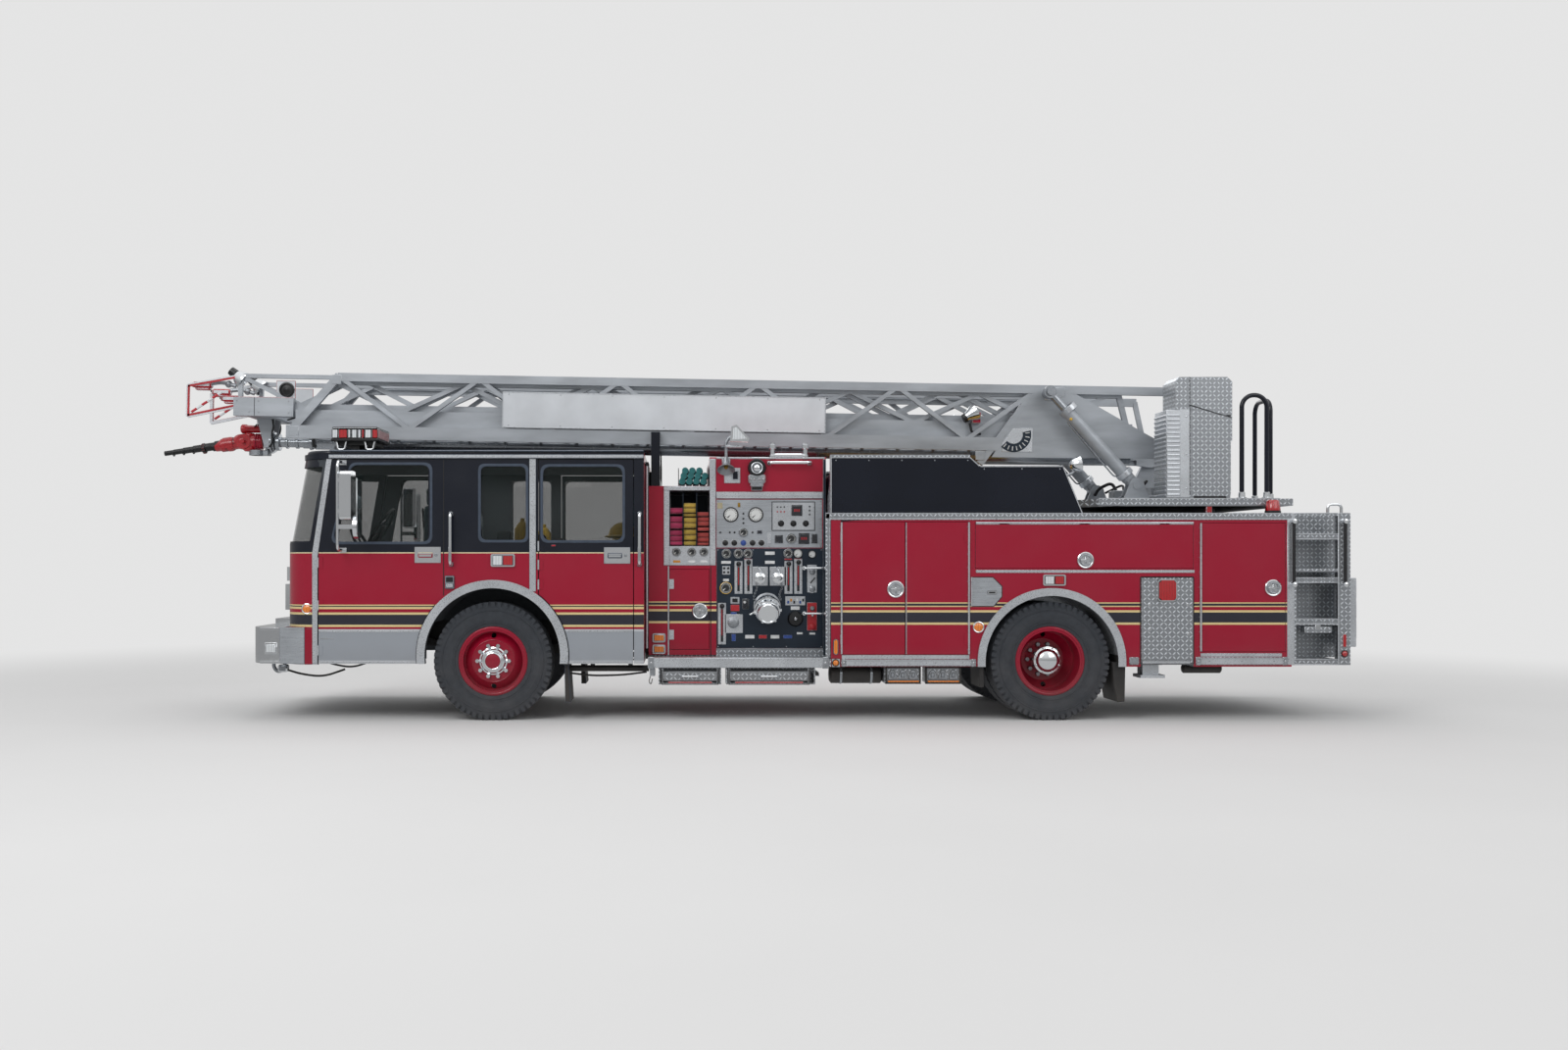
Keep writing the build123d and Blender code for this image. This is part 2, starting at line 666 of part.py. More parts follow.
# Front bumper: a wrap-round beam on the rail ends with a tread deck up to the cab
with BuildPart() as front_bumper:
    skin = frame_front_station - bumper_front_station - seat_gap
    deck_rear_x = cab_front_x - 6
    extrude(plan_face(bumper_bottom_z, x_of(bumper_front_station), deck_rear_x, half_width, bumper_corner_radius),
            amount=bumper_top_z - bumper_bottom_z)
    extrude(plan_face(bumper_bottom_z - 10, x_of(bumper_front_station) + skin, deck_rear_x + 10,
                      half_width - skin, bumper_corner_radius - skin),
            amount=bumper_top_z - bumper_bottom_z - 22, mode=Mode.SUBTRACT)
    block(x_of(frame_front_station) - seat_gap, deck_rear_x + 10, -rail_web_y - 5, rail_web_y + 5,
          bumper_bottom_z, bumper_top_z + 10, Mode.SUBTRACT)
    block(x_of(frame_front_station) - 20, deck_rear_x, -rail_web_y - 5, rail_web_y + 5,
          rail_top_z + seat_gap, rail_top_z + 12)
    for side in (-1, 1):
        block(x_of(frame_front_station) - 20, deck_rear_x, side * (rail_web_y + seat_gap), side * (rail_web_y + 12),
              bumper_top_z - 12, rail_top_z + 12)
finish(front_bumper, "front_bumper")

def hinge(x, z, side, outer_y, leaf, along_x=False):
    """A hinge barrel on the outer face with its leaf on the door; leaf is the way the door lies from it."""
    centre = side * (outer_y + hinge_out)
    turn = (0, 90, 0) if along_x else (0, 0, 0)
    with Locations(Location((x, centre, z), turn)):
        Cylinder(hinge_radius, hinge_length)
    low, high = sorted((0, leaf * 42))
    if along_x:
        block(x - hinge_length / 2, x + hinge_length / 2, side * (outer_y - 1), side * (outer_y + 5), z + low, z + high)
    else:
        block(x + low, x + high, side * (outer_y - 1), side * (outer_y + 5), z - hinge_length / 2, z + hinge_length / 2)


def door_panel(name, outline, arch_x, arch_z, window, hinge_heights, side):
    """A cab door the wall's thickness: its outline, the arch cut from its corner, its window and its pane."""
    outer_y = side * half_width
    with BuildPart() as door:
        extrude(side_face(outer_y, outline), amount=side * wall)
        arch_bore(arch_x, arch_z, arch_outer_radius + door_gap, side * (half_width - 120), side * (half_width + 80))
        extrude(side_face(outer_y, window, 38), amount=side * wall, mode=Mode.SUBTRACT)
        with BuildPart(mode=Mode.PRIVATE) as pane:
            extrude(side_face(side * (half_width - 19), window, 38), amount=side * glass_thickness)
            inner = offset(pane.part, amount=-seat_gap)
        add(inner)
        for z in hinge_heights:
            hinge(min(x for x, _ in outline) - door_gap / 2, z, side, half_width, 1)
    finish(door, name)


front_door_outline = [
    (door_front_x, door_bottom_z),
    (door_front_x, door_bend_z),
    (door_front_x + front_door_lean * (door_top_z - door_bend_z) / 884, door_top_z),
    (x_of(front_door_rear_station), door_top_z),
    (x_of(front_door_rear_station), door_bottom_z),
]
front_door_window = [(x_of(s), z) for s, z in ((-1424, 1616), (-1299, 2340), (-585, 2340), (-585, 1616))]
crew_door_outline = [
    (x_of(crew_door_station), door_bottom_z),
    (x_of(crew_door_station), door_top_z),
    (x_of(crew_door_rear_station), door_top_z),
    (x_of(crew_door_rear_station), door_bottom_z),
]
crew_door_window = [(x_of(s), z) for s, z in ((451, 1634), (451, 2321), (1192, 2321), (1192, 1634))]
for label, side in (("left", -1), ("right", 1)):
    door_panel(f"front_door_{label}", front_door_outline, front_axle_x, front_arch_z, front_door_window,
               (640, 1050, 1440), side)
    door_panel(f"crew_door_{label}", crew_door_outline, front_axle_x, front_arch_z, crew_door_window,
               (1240, 1420, 1590), side)

# Mirrors: a bent tube from two feet on the front door carries the flat head and the round wide-angle glass
with BuildPart() as mirror_head:
    tube_x, tube_y = x_of(mirror_station), -mirror_tube_y
    foot_y = -half_width - seat_gap
    low_z, high_z = mirror_arm_z
    with BuildLine(mode=Mode.PRIVATE) as path:
        FilletPolyline((tube_x, foot_y, high_z), (tube_x, tube_y, high_z), (tube_x, tube_y, low_z),
                       (tube_x, foot_y, low_z), radius=55)
    with BuildSketch(Plane(origin=(tube_x, foot_y, high_z), z_dir=(0, -1, 0))) as tube:
        Circle(mirror_tube_radius)
    sweep(tube.sketch, path=path.line)
    for z in mirror_arm_z:
        block(tube_x - 32, tube_x + 32, foot_y, foot_y - 10, z - 22, z + 22)
    head_low, head_high = mirror_head_z
    head_x = tube_x + mirror_tube_radius + 16
    with BuildPart(mode=Mode.PRIVATE) as shell:
        block(head_x, head_x + mirror_depth, tube_y - mirror_width / 2, tube_y + mirror_width / 2, head_low, head_high)
        fillet(shell.edges().filter_by(Axis.X), 30)
        fillet(shell.faces().sort_by(Axis.X)[0].edges(), 22)
    add(shell.part)
    glass_x = head_x + mirror_depth + 16
    arch_z = head_low - 61
    with Locations(Location((glass_x + 19, tube_y, arch_z), (0, 90, 0))):
        Cylinder(108, 38)
    block(tube_x, glass_x + 10, tube_y - 9, tube_y + 9, arch_z - 20, arch_z + 20)
    for z in (head_low + 80, head_high - 80):
        block(tube_x, head_x + 10, tube_y - 12, tube_y + 12, z - 18, z + 18)
finish_pair(mirror_head, "mirror")

# Dashboard with the steering wheel on its column, in front of the driver on the left
with BuildPart() as dashboard:
    dash_front_x = cab_front_x + wall + seat_gap
    extrude(plan_face(1180, dash_front_x, x_of(-1490), side_inner_y - seat_gap, cab_corner_radius - wall),
            amount=370)
    block(x_of(-1620), x_of(-1480), -half_width, half_width, 1170, 1330, Mode.SUBTRACT)
    block(x_of(-1500), x_of(-400), -half_width, half_width, 1170, 1600, Mode.SUBTRACT)
    fillet(dashboard.edges().filter_by(Axis.Y).group_by(Axis.Z)[-1], 30)
    wheel_centre = Location((x_of(-1290), -steering_y, 1580), (0, 62, 0))
    with Locations(wheel_centre):
        Torus(steering_radius, 15)
        Cylinder(48, 30)
        Box(30, 2 * steering_radius, 16)
        Box(2 * steering_radius, 30, 16)
    with Locations(wheel_centre * Location((0, 0, -160))):
        Cylinder(30, 320)
finish(dashboard, "dashboard")

# Seats; columns: cushion front and back stations, across centre, foot z, cushion z, back side (+1 rear, -1 front)
seat_table = (
    (-1060, -590, -700, 1290, 1385, 1),
    (-1060, -590, 700, 1290, 1385, 1),
    (-500, -40, -820, 1290, 1385, -1),
    (-500, -40, 820, 1290, 1385, -1),
    (800, 1325, -720, 940, 1385, 1),
    (800, 1325, 0, 940, 1385, 1),
    (800, 1325, 720, 940, 1385, 1),
)
with BuildPart() as seats:
    for s0, s1, y, foot_z, cushion_z, facing in seat_table:
        x0, x1 = x_of(s0), x_of(s1)
        back_x = (x1 - 95, x1) if facing > 0 else (x0, x0 + 95)
        block(x0, x1, y - 240, y + 240, cushion_z - 10, cushion_z + 90)
        block(*back_x, y - 230, y + 230, cushion_z, cushion_z + 590)
        block(back_x[0] + 10, back_x[1] - 10, y - 130, y + 130, cushion_z + 580, cushion_z + 760)
        if facing > 0 and s0 < 0:
            block(x_of(-1030), x_of(-725), y - 170, y + 170, cab_floor_z + seat_gap, cushion_z)
        else:
            block(x0 + 90, x1 - 90, y - 170, y + 170, foot_z + seat_gap, cushion_z)
finish(seats, "seats")

# Pump house: a tall block behind the pump panel and a lower one in front with the crosslay well through it;
# each side has a small bay below the well
with BuildPart() as pump_house:
    x0, x1 = x_of(pump_front_station), x_of(pump_rear_station)
    well_x0, well_x1 = x_of(crosslay_front_station), x_of(crosslay_rear_station)
    block(well_x1, x1, -pump_half_width, pump_half_width, pump_bottom_z, pump_top_z)
    fillet(pump_house.edges().filter_by(Axis.X).group_by(Axis.Z)[-1], 30)
    block(x0, well_x1, -pump_half_width, pump_half_width, pump_bottom_z, crosslay_cover_z)
    block(x0 - 10, x1 + 10, -rail_web_y - seat_gap, rail_web_y + seat_gap, pump_bottom_z - 10,
          rail_top_z + seat_gap, Mode.SUBTRACT)
    block(well_x0, well_x1, -pump_half_width - 10, pump_half_width + 10, crosslay_floor_z, crosslay_top_z,
          Mode.SUBTRACT)
    for side in (-1, 1):
        block(well_x0, well_x1, side * (pump_half_width + 10), side * (pump_half_width - pump_bay_depth),
              *pump_door_z, Mode.SUBTRACT)
finish(pump_house, "pump_house")

# Folded hose: three stacks across the crosslay well, a bundle on its cover and two long loads in the bed
with BuildPart() as hose_loads:
    third = (crosslay_rear_station - crosslay_front_station - 24) / 3
    for number, top in enumerate((2060, 2085, 2045)):
        start = crosslay_front_station + 6 + number * (third + 6)
        block(x_of(start), x_of(start + third), -pump_half_width + 20, pump_half_width - 20,
              crosslay_floor_z + seat_gap, top)
    block(*(x_of(s) for s in bundle_stations), -pump_half_width + 25, -pump_half_width + 625,
          crosslay_cover_z + seat_gap, bundle_top_z)
    for side in (-1, 1):
        block(x_of(body_front_station + 60), x_of(hose_bed_rear_station), side * 10, side * (half_width - 120),
              body_top_z + seat_gap, hose_bed_top_z)
    for top_edges in hose_loads.edges().filter_by(Axis.X).group_by(Axis.Z)[-1:]:
        fillet(top_edges, 25)
finish(hose_loads, "hose_loads")

# Running boards beside the pump house with step boxes hung below them
with BuildPart() as running_boards:
    board_z = running_board_z - running_board_thickness
    x0, x1 = x_of(pump_front_station), x_of(body_front_station) - seat_gap
    block(x0, x1, -half_width, -650, board_z, running_board_z)
    block(x0 + 40, x1 - 40, -850, -690, running_board_z - 5, pump_bottom_z - seat_gap)
    for s0, s1 in step_stations:
        block(x_of(s0), x_of(s1), -half_width, -half_width + 260, 330, 473)
        block(x_of(s0) + 12, x_of(s1) - 12, -half_width - 5, -half_width + 248, 342, 480, Mode.SUBTRACT)
        for bracket_x in (x_of(s0) + 30, x_of(s1) - 90):
            block(bracket_x, bracket_x + 60, -half_width + 240, -half_width + 260, 400, board_z + 10)
    for s0, s1 in step_box_stations:
        block(x_of(s0), x_of(s1), -half_width + 30, -half_width + 270, 339, body_bottom_z - seat_gap)
    both_sides(running_boards)
finish(running_boards, "running_boards")

bed_front_x = x_of(body_front_station)
bed_profile = [
    (bed_front_x, body_top_z - 40),
    (bed_front_x, bed_panel_top_z),
    (rear_axle_x - 736, bed_panel_top_z),
    (rear_axle_x - 647, bed_panel_step_z),
    (rear_axle_x + 112, bed_panel_step_z),
    (rear_axle_x + 290, body_top_z),
    (rear_axle_x + 290, body_top_z - 40),
]
rear_arch_x = rear_axle_x + 5

# Lockers of one side; columns: opening front and rear stations, opening bottom and top
locker_table = {
    "double": (body_front_station + 91, locker_split_station - 17, 599, 1812),
    "high": (locker_split_station + 37, bay_rear_station, 1384, 1804),
    "rear": (rear_locker_station + 31, body_rear_station - 54, 625, 1804),
}


def cavity(kind):
    """Hollows a locker behind its door opening."""
    s0, s1, z0, z1 = locker_table[kind]
    block(x_of(s0), x_of(s1), -half_width - 10, -body_inner_y - locker_wall, z0, z1, Mode.SUBTRACT)


def side_block(s0, s1, z0, z1, inner_y=body_inner_y):
    block(x_of(s0), x_of(s1), -half_width, -inner_y, z0, z1)


# Body side in three sections: front locker with the bed panel, the section over the wheel, rear locker
with BuildPart() as body:
    with BuildPart(mode=Mode.PRIVATE) as section:
        side_block(body_front_station, locker_split_station, body_bottom_z, body_top_z)
        extrude(side_face(-half_width + bed_panel_thickness, bed_profile), amount=bed_panel_thickness)
        block(bed_front_x, bed_front_x + 40, -half_width, -1, body_top_z - 5, hose_bed_top_z)
        block(bed_front_x, bed_front_x + 40, -body_inner_y - 5, -1, body_top_z - 60, body_top_z)
        cavity("double")
        block(x_of(locker_split_station), rear_axle_x + 411, -half_width - 5, -half_width + 60, body_top_z - 50,
              body_top_z + seat_gap, Mode.SUBTRACT)
    add(section.part)
    with BuildPart(mode=Mode.PRIVATE) as section:
        side_block(locker_split_station + seat_gap, rear_locker_station, body_bottom_z, body_top_z)
        arch_bore(rear_arch_x, rear_arch_z, rear_arch_radius, -half_width - 10, -body_inner_y + 10)
        ring(rear_arch_x, rear_arch_z, rear_arch_radius, rear_arch_radius + 71,
             -half_width - arch_trim_proud, -half_width + 5)
        block(rear_arch_x - rear_arch_radius - 95, rear_arch_x + rear_arch_radius + 95, -half_width - 50,
              -half_width + 10, rear_arch_z - rear_arch_radius - 95, body_bottom_z, Mode.SUBTRACT)
        cavity("high")
        block(x_of(bay_front_station), x_of(bay_rear_station), -half_width - 10, -body_inner_y - locker_wall,
              body_bottom_z - 10, bay_top_z, Mode.SUBTRACT)
        for s0, s1 in beam_stations.values():
            block(x_of(s0) - beam_play, x_of(s1) + beam_play, -body_inner_y - 60, -body_inner_y + 10,
                  beam_section_z[0] - beam_play, beam_section_z[1] + beam_play, Mode.SUBTRACT)
    add(section.part)
    with BuildPart(mode=Mode.PRIVATE) as section:
        side_block(rear_locker_station + seat_gap, body_rear_station, body_bottom_z, body_top_z)
        cavity("rear")
    add(section.part)
    both_sides(body)
finish(body, "body")


def locker_door(name, s0, s1, z0, z1, side, hinged, gap=4.0, outer_y=half_width, latch=None):
    """A flush door with a turned-in lip and a round latch boss; stations and heights are its opening's."""
    x0, x1 = x_of(s0) + gap, x_of(s1) - gap
    with BuildPart() as door:
        block(x0, x1, side * outer_y, side * (outer_y - door_thickness), z0 + gap, z1 - gap)
        block(x0 + 18, x1 - 18, side * (outer_y - 20), side * (outer_y - door_thickness - 5),
              z0 + gap + 18, z1 - gap - 18, Mode.SUBTRACT)
        if latch:
            arch_bore(x_of(latch[0]), latch[1], 46, side * outer_y, side * (outer_y + 14), Mode.ADD)
        if hinged == "top":
            for x in (x0 + 260, (x0 + x1) / 2, x1 - 260):
                hinge(x, z1 - gap / 2, side, outer_y, -1, along_x=True)
        else:
            edge_x, leaf = (x0 - gap / 2, 1) if hinged == "front" else (x1 + gap / 2, -1)
            for z in (z0 + 140, z1 - 140):
                hinge(edge_x, z, side, outer_y, leaf)
    finish(door, name)


# Locker doors; columns: opening front and rear stations, opening bottom and top, hinged edge, latch place
double_front, double_rear, *double_z = locker_table["double"]
high_front, high_rear, *high_z = locker_table["high"]
rear_front, rear_rear, *rear_z = locker_table["rear"]
leaf_split = (double_front + double_rear) / 2 + 3
door_table = {
    "front_leaf": (double_front, leaf_split, *double_z, "front", (leaf_split - 96, 1205)),
    "rear_leaf": (leaf_split, double_rear, *double_z, "rear", None),
    "high": (high_front, high_rear, *high_z, "top", ((high_front + high_rear) / 2, 1464)),
    "rear": (rear_front, rear_rear, *rear_z, "front", (rear_rear - 127, 1215)),
}
for label, side in (("left", -1), ("right", 1)):
    for kind, (s0, s1, z0, z1, hinged, latch) in door_table.items():
        locker_door(f"{kind}_door_{label}", s0, s1, z0, z1, side, hinged, latch=latch)
    locker_door(f"pump_door_{label}", crosslay_front_station, crosslay_rear_station, *pump_door_z, side, "front",
                outer_y=pump_half_width, latch=(crosslay_rear_station - 93, 1000))

# Water tank under the hose bed
with BuildPart() as water_tank:
    block(x_of(body_front_station + 60), rear_axle_x + 771, -core_half_width, core_half_width,
          rail_top_z + seat_gap, body_top_z)
    for side in (-1, 1):
        block(rear_arch_x - rear_arch_radius - 55, rear_arch_x + rear_arch_radius + 55, side * (core_half_width + 100),
              side * (rear_tyre_inner_y - 15), rail_top_z - 10, 1180, Mode.SUBTRACT)
finish(water_tank, "water_tank")

# Torque box: the stabiliser beam sleeves, the tower above them and the slewing ring
with BuildPart() as torque_box:
    tower_x0, tower_x1 = rear_axle_x + 791, rear_axle_x + 2031
    block(tower_x0, tower_x1, -core_half_width, core_half_width, rail_top_z + seat_gap, body_top_z)
    for s0, s1 in beam_stations.values():
        block(x_of(s0) - sleeve_play, x_of(s1) + sleeve_play, -half_width, half_width,
              beam_section_z[0] - sleeve_play, beam_section_z[1] + sleeve_play, Mode.SUBTRACT)
    for side in (-1, 1):
        block(tower_x0, tower_x1, side * core_half_width, side * (body_inner_y - seat_gap), 1500, 1700)
    with Locations((x_of(slew_station), 0, (body_top_z + ring_top_z) / 2)):
        Cylinder(ring_radius, ring_top_z - body_top_z)
finish(torque_box, "torque_box")

# Tail: closed core over the rails, open corner steps each side, and a lamp box at each rear corner
with BuildPart() as tail:
    tail_x0, tail_x1 = x_of(body_rear_station) + seat_gap, x_of(tail_station)
    block(tail_x0, tail_x1, -tail_recess_y, tail_recess_y, 560, body_top_z)
    block(tail_x0 - 10, x_of(frame_rear_station) + seat_gap, -rail_web_y - seat_gap, rail_web_y + seat_gap,
          550, rail_top_z + seat_gap, Mode.SUBTRACT)
    for side in (-1, 1):
        for z in tail_tread_z:
            block(tail_x0 + 30, tail_x1, side * tail_recess_y, side * half_width, z - 30, z)
        block(tail_x0 + 420, tail_x1, side * (half_width - 60), side * half_width, tail_tread_z[0], body_top_z)
        block(tail_x0, tail_x0 + 40, side * (tail_recess_y - 10), side * half_width, tail_tread_z[0] - 30,
              body_top_z)
        block(tail_x1 - 1, tail_x1 + 96, side * (half_width - 370), side * (half_width - 70), 803, 1295)
finish(tail, "tail")

# Turntable: the deck, the side frames with the heel pins, the cylinder lugs and two hand hoops
heel_x = x_of(heel_station)
slew_x = x_of(slew_station)
foot_x, foot_z = x_of(lift_foot[0]), lift_foot[1]
frame_inner_y = ladder_table["base"][0] + 8


def lug(x, z, radius, y0, y1, base_z, half_base):
    """A plate rising from the deck to a round eye about (x, z)."""
    with BuildSketch(side_plane(max(y0, y1))) as outline:
        with Locations((x, z)):
            Circle(radius)
        with BuildLine():
            Polyline((x - half_base, base_z), (x - radius, z), (x + radius, z), (x + half_base, base_z), close=True)
        make_face()
    extrude(outline.sketch, amount=abs(y1 - y0))


def hoop(start, end, top_z, foot):
    """A bent-tube hoop between two feet on the deck."""
    sx, sy = start
    ex, ey = end
    span = hypot(ex - sx, ey - sy)
    dx, dy = (ex - sx) / span, (ey - sy) / span
    bend = 110.0
    with BuildLine(mode=Mode.PRIVATE) as path:
        FilletPolyline((sx, sy, foot), (sx, sy, top_z), (ex, ey, top_z), (ex, ey, foot), radius=bend)
    with BuildSketch(Plane(origin=(sx, sy, foot), z_dir=(0, 0, 1))) as tube:
        Circle(21)
    sweep(tube.sketch, path=path.line)


with BuildPart() as turntable:
    deck_bottom_z = deck_top_z - deck_thickness
    with BuildSketch(Plane.XY.offset(deck_bottom_z)):
        with Locations((slew_x, 0)):
            plate = Rectangle(2 * deck_half_length, 2 * deck_half_width)
        chamfer(plate.vertices(), deck_corner)
    extrude(amount=deck_thickness)
    for side in (-1, 1):
        lug(heel_x, heel_z, 95, side * frame_inner_y, side * (frame_inner_y + 60), deck_top_z - 5, 330)
        arch_bore(heel_x, heel_z, heel_pin_radius, side * (ladder_table["base"][0] - 62),
                  side * (frame_inner_y + 75), Mode.ADD)
        for inner in (lift_y - 68, lift_y + 48):
            lug(foot_x, foot_z, 72, side * inner, side * (inner + 20), deck_top_z - 5, 130)
        arch_bore(foot_x, foot_z, lift_pin_radius, side * (lift_y - 68), side * (lift_y + 75), Mode.ADD)
    hoop((slew_x + 499, 35 - deck_half_width), (slew_x + 729, 35 - deck_half_width), hoop_top_z, deck_top_z - 5)
    hoop((slew_x + 904, -700), (slew_x + 904, -330), hoop_top_z, deck_top_z - 5)
finish(turntable, "turntable")

# Operator's pedestal on the deck's left side: a cabinet with a hooded console above it
with BuildPart() as pedestal:
    block(slew_x - 207, slew_x + 381, -pedestal_outer_y, -pedestal_inner_y, deck_top_z + seat_gap, 2640)
    extrude(side_face(-pedestal_inner_y, [
        (slew_x - 126, 2770), (slew_x - 126, 3110), (slew_x - 90, 3150), (slew_x + 355, 3150), (slew_x + 399, 3105),
        (slew_x + 399, 2560), (slew_x + 100, 2560),
    ]), amount=pedestal_outer_y - pedestal_inner_y)
finish(pedestal, "pedestal")

pitch = radians(ladder_pitch)
ladder_plane = Plane(origin=(heel_x, 0, heel_z), x_dir=(-cos(pitch), 0, sin(pitch)), z_dir=(0, 1, 0))


def truss(kind, side, panels, lead):
    """One side of a ladder section: a deep rail, a handrail and the zigzag braces between them."""
    half, rail_w, low, depth, top, cap, u0, u1, h0, h1 = ladder_table[kind]
    y0, y1 = side * half, side * (half - rail_w)
    block(u0, u1, low, low + depth, y0, y1)
    block(h0, h1, top - cap, top, y0, side * (half - min(rail_w, 50)))
    low_mid, top_mid = low + depth - 20, top - cap / 2
    brace_y = (side * (half - 4), side * (half - min(rail_w, 50) + 4))
    start = h0 + lead
    pitch_u = (h1 - 20 - start) / panels
    for number in range(panels):
        u = start + number * pitch_u
        bar((u, top_mid), (u + pitch_u / 2, low_mid), *brace_y, brace_width)
        bar((u + pitch_u / 2, low_mid), (u + pitch_u, top_mid), *brace_y, brace_width)
    return start


def rungs(kind):
    """The rungs of a section, tied by a thin strip against each rail's inner face."""
    half, rail_w, low, depth, top, cap, u0, u1, h0, h1 = ladder_table[kind]
    inner = half - rail_w - seat_gap
    rung_v = low + 72
    for side in (-1, 1):
        block(u0 + 40, u1 - 40, rung_v - 18, rung_v + 18, side * inner, side * (inner - 8))
    count = int((u1 - u0 - 240) // rung_pitch)
    for number in range(count):
        u = u0 + 180 + number * rung_pitch
        with Locations((u, rung_v, 0)):
            Cylinder(rung_radius, 2 * inner - 6)


def water_tube(kind):
    """A section's length of the telescoping waterway."""
    outer, bore, u0, u1 = water_table[kind]
    with Locations(Location(((u0 + u1) / 2, water_v, 0), (0, 90, 0))):
        Cylinder(outer, u1 - u0)
        if bore:
            Cylinder(bore, u1 - u0 + 10, mode=Mode.SUBTRACT)


def plate_face(y, points):
    """An outline of (along, up) points in the ladder's own frame."""
    with BuildSketch(ladder_plane.offset(y)) as outline:
        with BuildLine():
            Polyline(*points, close=True)
        make_face()
    return outline.sketch


base_half = ladder_table["base"][0]
with BuildPart(ladder_plane) as ladder_base:
    for side in (-1, 1):
        truss("base", side, 5, 1250)
        y0 = min(side * base_half, side * (base_half - 20))
        extrude(plate_face(y0, [(1890, -75), (1470, 600), (1240, 605), (150, 40), (60, -60)]), amount=20)
        y0 = min(side * base_half, side * (base_half - 60))
        extrude(plate_face(y0, [
            (-60, -62), (60, -80), (200, -60), (200, 115), (60, 115), (-60, 60),
        ]), amount=60)
        bar((2000, -140), (1462, 600), y0 + 4, y0 + 56, 62)
        bar((1250, 600), (210, 30), y0 + 4, y0 + 56, 62)
        bar((225, 590), (110, 100), y0 + 4, y0 + 46, 45)
        bar((8640, 60), (8180, 600), y0 + 4, y0 + 56, 75)
        block(*sign_board, side * (base_half - 5), side * (base_half + 6))
        with Locations((0, 0, side * (base_half - 30))):
            Cylinder(heel_pin_radius + bearing_clearance, 200, mode=Mode.SUBTRACT)
    rungs("base")
    water_tube("base")
finish(ladder_base, "ladder_base")

with BuildPart(ladder_plane) as ladder_mid:
    for side in (-1, 1):
        truss("mid", side, 6, 120)
        half = ladder_table["mid"][0]
        bar((8240, 545), (8560, 200), side * (half - 4), side * (half - 46), 50)
        bar((650, 545), (560, 200), side * (half - 4), side * (half - 46), 50)
    rungs("mid")
    water_tube("mid")
    inner = half - 50 - seat_gap
    block(8540, 8570, 176, 212, -inner, inner)
    block(8540, 8570, water_v + 50, 180, -60, 60)
finish(ladder_mid, "ladder_mid")

# The top section carries the tip boxes, the striped guards and the bracket of the monitor's feed pipe
with BuildPart(ladder_plane) as ladder_fly:
    for side in (-1, 1):
        truss("fly", side, 7, 120)
        half = ladder_table["fly"][0]
        bar((1030, 600), (940, 280), side * (half - 4), side * (half - 41), 40)
        block(8635, 9214, 204, 384, side * (half - 20), side * (half + 62))
        block(9150, 9190, 300, 600, side * half, side * (half - 45))
        for start, end in zip(guard_points, guard_points[1:]):
            bar(start, end, side * (half - 30), side * (half - 4), 28)
    rungs("fly")
    water_tube("fly")
    inner = ladder_table["fly"][0] - 45 - seat_gap
    block(8900, 9110, 205, 225, -inner, inner)
    for side in (-1, 1):
        y0 = min(side * 90, side * 110)
        extrude(plate_face(y0, [(8900, 210), (9080, 210), (9000, -70), (8940, -70)]), amount=20)
    block(8940, 9000, -75, 45, -110, 110)
    with Locations(Location((8960, water_v, 0), (0, 90, 0))):
        Cylinder(92, 60)
    block(8985, 9012, -150, -70, -45, 45)
    block(9005, 9035, -150, -101, -45, 45)
    with Locations(Location((monitor_u, -125, 0), (90, 0, 0))):
        Cylinder(80, 50)
        Cylinder(60 + bearing_clearance, 60, mode=Mode.SUBTRACT)
finish(ladder_fly, "ladder_fly")


def ladder_point(u, v):
    """World (x, z) of a point of the ladder's own frame."""
    return heel_x - u * cos(pitch) + v * sin(pitch), heel_z + u * sin(pitch) + v * cos(pitch)


# Monitor: a swivelling body in the feed's collar, and the nozzle that tilts in it
with BuildPart(ladder_plane) as monitor_body:
    with Locations(Location((monitor_u, -75, 0), (90, 0, 0))):
        Cylinder(60, 160)
    with Locations(Location((monitor_u, -92, 0), (90, 0, 0))):
        Cylinder(78, 14)
    with Locations((monitor_u, water_v, 0)):
        Cylinder(68, 120)
    for side in (-1, 1):
        block(monitor_u, monitor_u + 170, water_v - 50, water_v + 60, side * 78, side * 98)
        block(monitor_u - 10, monitor_u + 180, water_v + 50, water_v + 80, side * 60, side * 98)
    block(monitor_u - 60, monitor_u + 190, water_v + 78, water_v + 150, -75, 75)
    with Locations((monitor_u + 120, water_v, 0)):
        Cylinder(76, 154, mode=Mode.SUBTRACT)
        Cylinder(20 + bearing_clearance, 240, mode=Mode.SUBTRACT)
finish(monitor_body, "monitor_body")

nozzle_drop = 9.4
